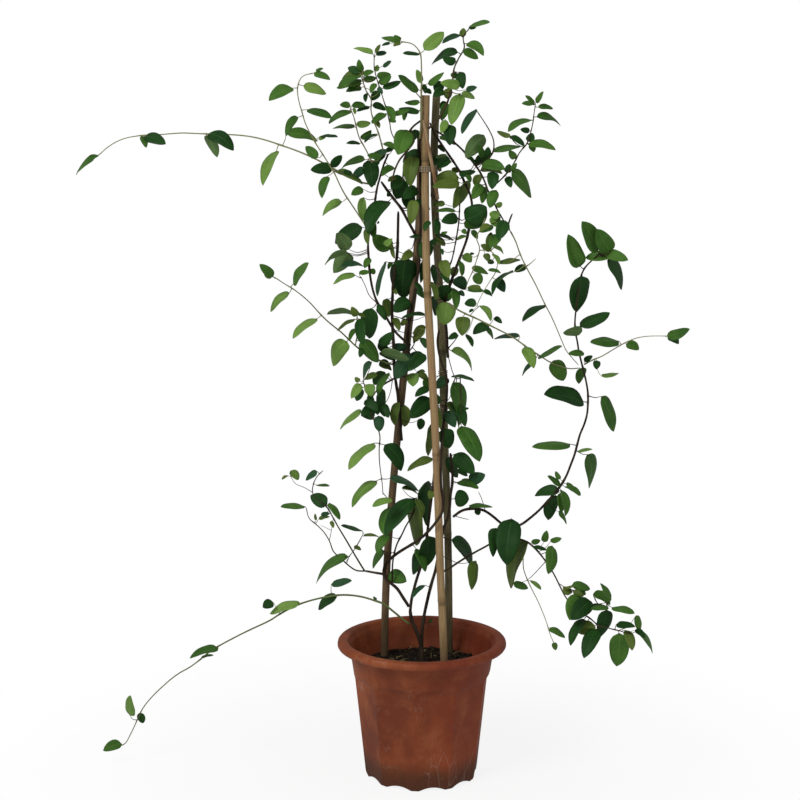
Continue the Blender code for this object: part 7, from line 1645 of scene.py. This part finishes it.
def add_blade(bm, layer, tint, spot, tone, chance):
    """One leaf blade: a sheet folded a little along its midrib, arched, twisted and waved."""
    _, foot, tip, normal, width = spot
    length = (tip - foot).length
    arch = leaf_arch(foot, tip, normal)
    along = (tip - foot).normalized()
    side = normal.cross(along).normalized()
    normal = along.cross(side)
    fold = chance.uniform(-0.05, 0.38)
    twist = chance.uniform(-0.35, 0.35)
    bend = chance.uniform(-0.05, 0.05)
    droop = chance.uniform(0.0, 0.06)
    wave = chance.uniform(0.02, 0.07)
    phase = chance.uniform(0, math.tau)
    curl = chance.uniform(-0.30, 0.05)
    shade = chance.random()
    before = set(bm.faces)
    made = bmesh.ops.create_grid(bm, x_segments=BLADE_ROWS, y_segments=BLADE_COLUMNS, size=1)
    faces = [f for f in bm.faces if f not in before]
    kind = TONES.index("mid" if tone == "under" else tone)
    for face in faces:
        face.material_index = kind
        for loop in face.loops:
            loop[layer].uv = ((loop.vert.co.y + 1) / 2, (loop.vert.co.x + 1) / 2)
    for vert in made["verts"]:
        v = (vert.co.x + 1) / 2
        u = vert.co.y
        half = width / 2 * float(np.interp(v, BLADE_STATIONS, BLADE_WIDTHS))
        turn = twist * (v - 0.5)
        across = side * math.cos(turn) + normal * math.sin(turn)
        upward = normal * math.cos(turn) - side * math.sin(turn)
        middle = foot.lerp(tip, 0.03 + 0.97 * v) + arch * 4 * v * (1 - v)
        middle += side * (bend * length * 4 * v * (1 - v)) - normal * (droop * length * v ** 3)
        ruffle = wave * half * abs(u) * math.sin(9 * v + phase + (1.3 if u > 0 else 0))
        lift = half * (abs(u) * math.sin(fold) + u * u * curl) + ruffle
        vert.co = middle + across * (u * half * math.cos(fold)) + upward * lift
        vert[tint] = shade


def make_leaves(name, settled, finishes):
    bm = bmesh.new()
    layer = bm.loops.layers.uv.new("leaf")
    tint = bm.verts.layers.float.new("tint")
    for order, (spot, tone) in enumerate(settled):
        add_blade(bm, layer, tint, spot, tone, random.Random(f"{name} {order}"))
    piece = new_piece(f"{name}_leaves", bm, finishes, [name])
    skin = piece.modifiers.new("blade thickness", "SOLIDIFY")
    skin.thickness = BLADE_THICKNESS
    skin.offset = -1
    skin.material_offset = len(TONES)
    skin.material_offset_rim = len(TONES)
    return piece


def petiole(spot):
    """The short stalk of a leaf: from inside its stem to a little way up the blade's midrib."""
    stalk, foot, tip, normal, width = spot
    inside = foot.lerp(tip, 0.10) + leaf_arch(foot, tip, normal) * 4 * 0.09
    reach = (foot - stalk).length
    elbow = stalk.lerp(foot, 0.55) + normal * (0.02 * (tip - foot).length) - Vector((0, 0, 0.16 * reach))
    radius = 0.0004 + 0.009 * width
    line = smooth([stalk, elbow, foot.lerp(tip, 0.02), inside], 0.003)
    return line, tapered(radius * 1.25, radius * 0.55, len(line))


def fine_tree(spots, girths):
    """A six-sided skin of a stem, to keep leaves out of it."""
    bm = bmesh.new()
    layer = bm.loops.layers.uv.new("grain")
    add_tube(bm, spots, [g / 2 for g in girths], 6, layer)
    tree = BVHTree.FromBMesh(bm)
    bm.free()
    return tree


# ---- the whole plant


def make_everything():
    """The pot, the compost and the canes, then every shoot with its leaves eased clear of the rest."""
    build_along_grain()
    build_leaf_pattern()
    leaf_finishes = [leaf_upper_finish(t) for t in TONES] + [leaf_under_finish(t) for t in TONES]
    barks = {name: stem_finish(name, *look) for name, look in BARK_LOOKS.items()}
    cane_finishes = {name: cane_finish(name, *look) for name, look in CANE_LOOKS.items()}
    make_pot(pot_finish())
    make_compost(compost_finish("compost_moist", (0.0040, 0.0028, 0.0020), (0.022, 0.014, 0.009)))
    make_clods("compost_crumbs", CLODS, 0.0012, 0.0052,
               compost_finish("compost_crumb", (0.010, 0.007, 0.005), (0.045, 0.029, 0.018)), 7)
    make_clods("compost_grit", GRITS, 0.0006, 0.0018,
               compost_finish("compost_grit_stone", (0.12, 0.095, 0.06), (0.24, 0.20, 0.14)), 11)
    make_straws(stem_finish("straw", *STRAW_LOOK))

    thicket = Thicket()
    canes = {}
    for name, route in CANES.items():
        spots = smooth([place(*p) for p in with_depths(route)], CANE_STEP)
        girths = tapered(CANE_FOOT_GIRTH, CANE_TOP_GIRTH, len(spots))
        canes[name] = (spots, girths)
        make_cane(name, spots, girths, cane_finishes[name])
        thicket.add(spots, girths)
    make_ties(canes, twine_finish())
    ring = twine_loop([at_height(s, TIE_HEIGHT) for s, _ in canes.values()], TIE_HEIGHT, 1, 0,
                      CANE_FOOT_GIRTH / 2 + TIE_GIRTH / 2 + 3 * GAP, 24)
    thicket.add(ring, [TIE_GIRTH] * len(ring))

    lines = {name: stem_lines(shoot, thicket) for name, shoot in SHOOTS.items()}
    standing = [fine_tree(*cane) for cane in canes.values()]
    stem_trees = {name: [fine_tree(*line) for line in own] for name, own in lines.items()}
    leaf_trees = []
    for name, shoot in SHOOTS.items():
        others = standing + [t for n, trees in stem_trees.items() if n != name for t in trees] + leaf_trees
        settled = []
        trees = []
        for order, leaf in enumerate(shoot["leaves"]):
            spot, tree = settle_leaf(leaf, order, lines[name], others)
            settled.append((spot, leaf[5]))
            trees.append(tree)
        leaf_trees += trees
        make_wood(name, lines[name], [spot[0] for spot, _ in settled],
                  [petiole(spot) for spot, _ in settled], barks[shoot["bark"]])
        if settled:
            make_leaves(name, settled, leaf_finishes)


# ---- floor, light and camera


def make_floor():
    """A pale floor that keeps the pot's shadow, and turns plain white away from it."""
    bm = bmesh.new()
    bmesh.ops.create_grid(bm, x_segments=2, y_segments=2, size=30)
    mesh = bpy.data.meshes.new("studio_floor")
    bm.to_mesh(mesh)
    bm.free()
    finish, tree, shader = new_finish("studio_floor_paper")
    paper = cloudy(tree, in_metres(tree), 3.0)
    give(tree, shader, Base_Color=blended(tree, paper, (0.86, 0.86, 0.86), (0.88, 0.88, 0.88)),
         Roughness=maths(tree, "MULTIPLY_ADD", paper, 0.05, 0.9))
    white = add_node(tree, "ShaderNodeEmission", {"Color": (1, 1, 1, 1), "Strength": 1.0})
    path = add_node(tree, "ShaderNodeLightPath")
    away = add_node(tree, "ShaderNodeVectorMath", {0: in_metres(tree)}, operation="LENGTH").outputs["Value"]
    share = maths(tree, "MULTIPLY", path.outputs["Is Camera Ray"], ramp(tree, away, 0.16, 0.75, 0.86, 1.0))
    mix = add_node(tree, "ShaderNodeMixShader", {0: share, 1: shader.outputs[0], 2: white.outputs[0]})
    tree.links.new(mix.outputs[0], tree.nodes["Material Output"].inputs["Surface"])
    mesh.materials.append(finish)
    floor = bpy.data.objects.new("studio_floor", mesh)
    bpy.context.scene.collection.objects.link(floor)
    floor.location = (0, 0, -0.0005)


def make_world():
    """White where it is seen, and dimmer as a light."""
    world = bpy.data.worlds.new("studio_air")
    bpy.context.scene.world = world
    world.use_nodes = True
    tree = world.node_tree
    back = tree.nodes["Background"]
    path = add_node(tree, "ShaderNodeLightPath")
    seen = path.outputs["Is Camera Ray"]
    strength = maths(tree, "MULTIPLY_ADD", seen, 1 - AIR_LIGHT, AIR_LIGHT)
    give(tree, back, Color=(1.0, 1.0, 1.0), Strength=strength)


def add_soft_lamp(name, spot, aim, size, watts):
    light = bpy.data.lights.new(name, "AREA")
    light.shape = "DISK"
    light.size = size
    light.energy = watts
    lamp = bpy.data.objects.new(name, light)
    bpy.context.scene.collection.objects.link(lamp)
    lamp.location = spot
    lamp.rotation_euler = (Vector(aim) - Vector(spot)).to_track_quat("-Z", "Y").to_euler()


def make_camera():
    camera = bpy.data.cameras.new("camera")
    camera.lens = LENS
    camera.sensor_width = SENSOR
    stand = bpy.data.objects.new("camera", camera)
    bpy.context.scene.collection.objects.link(stand)
    stand.location = EYE
    stand.rotation_euler = (EYE_TILT, 0, 0)
    bpy.context.scene.camera = stand


def make_studio():
    make_floor()
    make_world()
    for name, lamp in LAMPS.items():
        add_soft_lamp(name, *lamp)
    make_camera()
    bpy.context.scene.view_settings.view_transform = "Standard"


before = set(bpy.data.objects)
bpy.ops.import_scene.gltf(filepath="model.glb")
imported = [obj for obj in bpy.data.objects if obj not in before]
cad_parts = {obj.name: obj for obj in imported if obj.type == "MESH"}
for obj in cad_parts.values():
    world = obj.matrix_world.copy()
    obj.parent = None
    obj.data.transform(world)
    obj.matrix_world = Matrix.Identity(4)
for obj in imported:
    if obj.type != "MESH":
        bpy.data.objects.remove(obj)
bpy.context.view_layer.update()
make_everything()
make_studio()
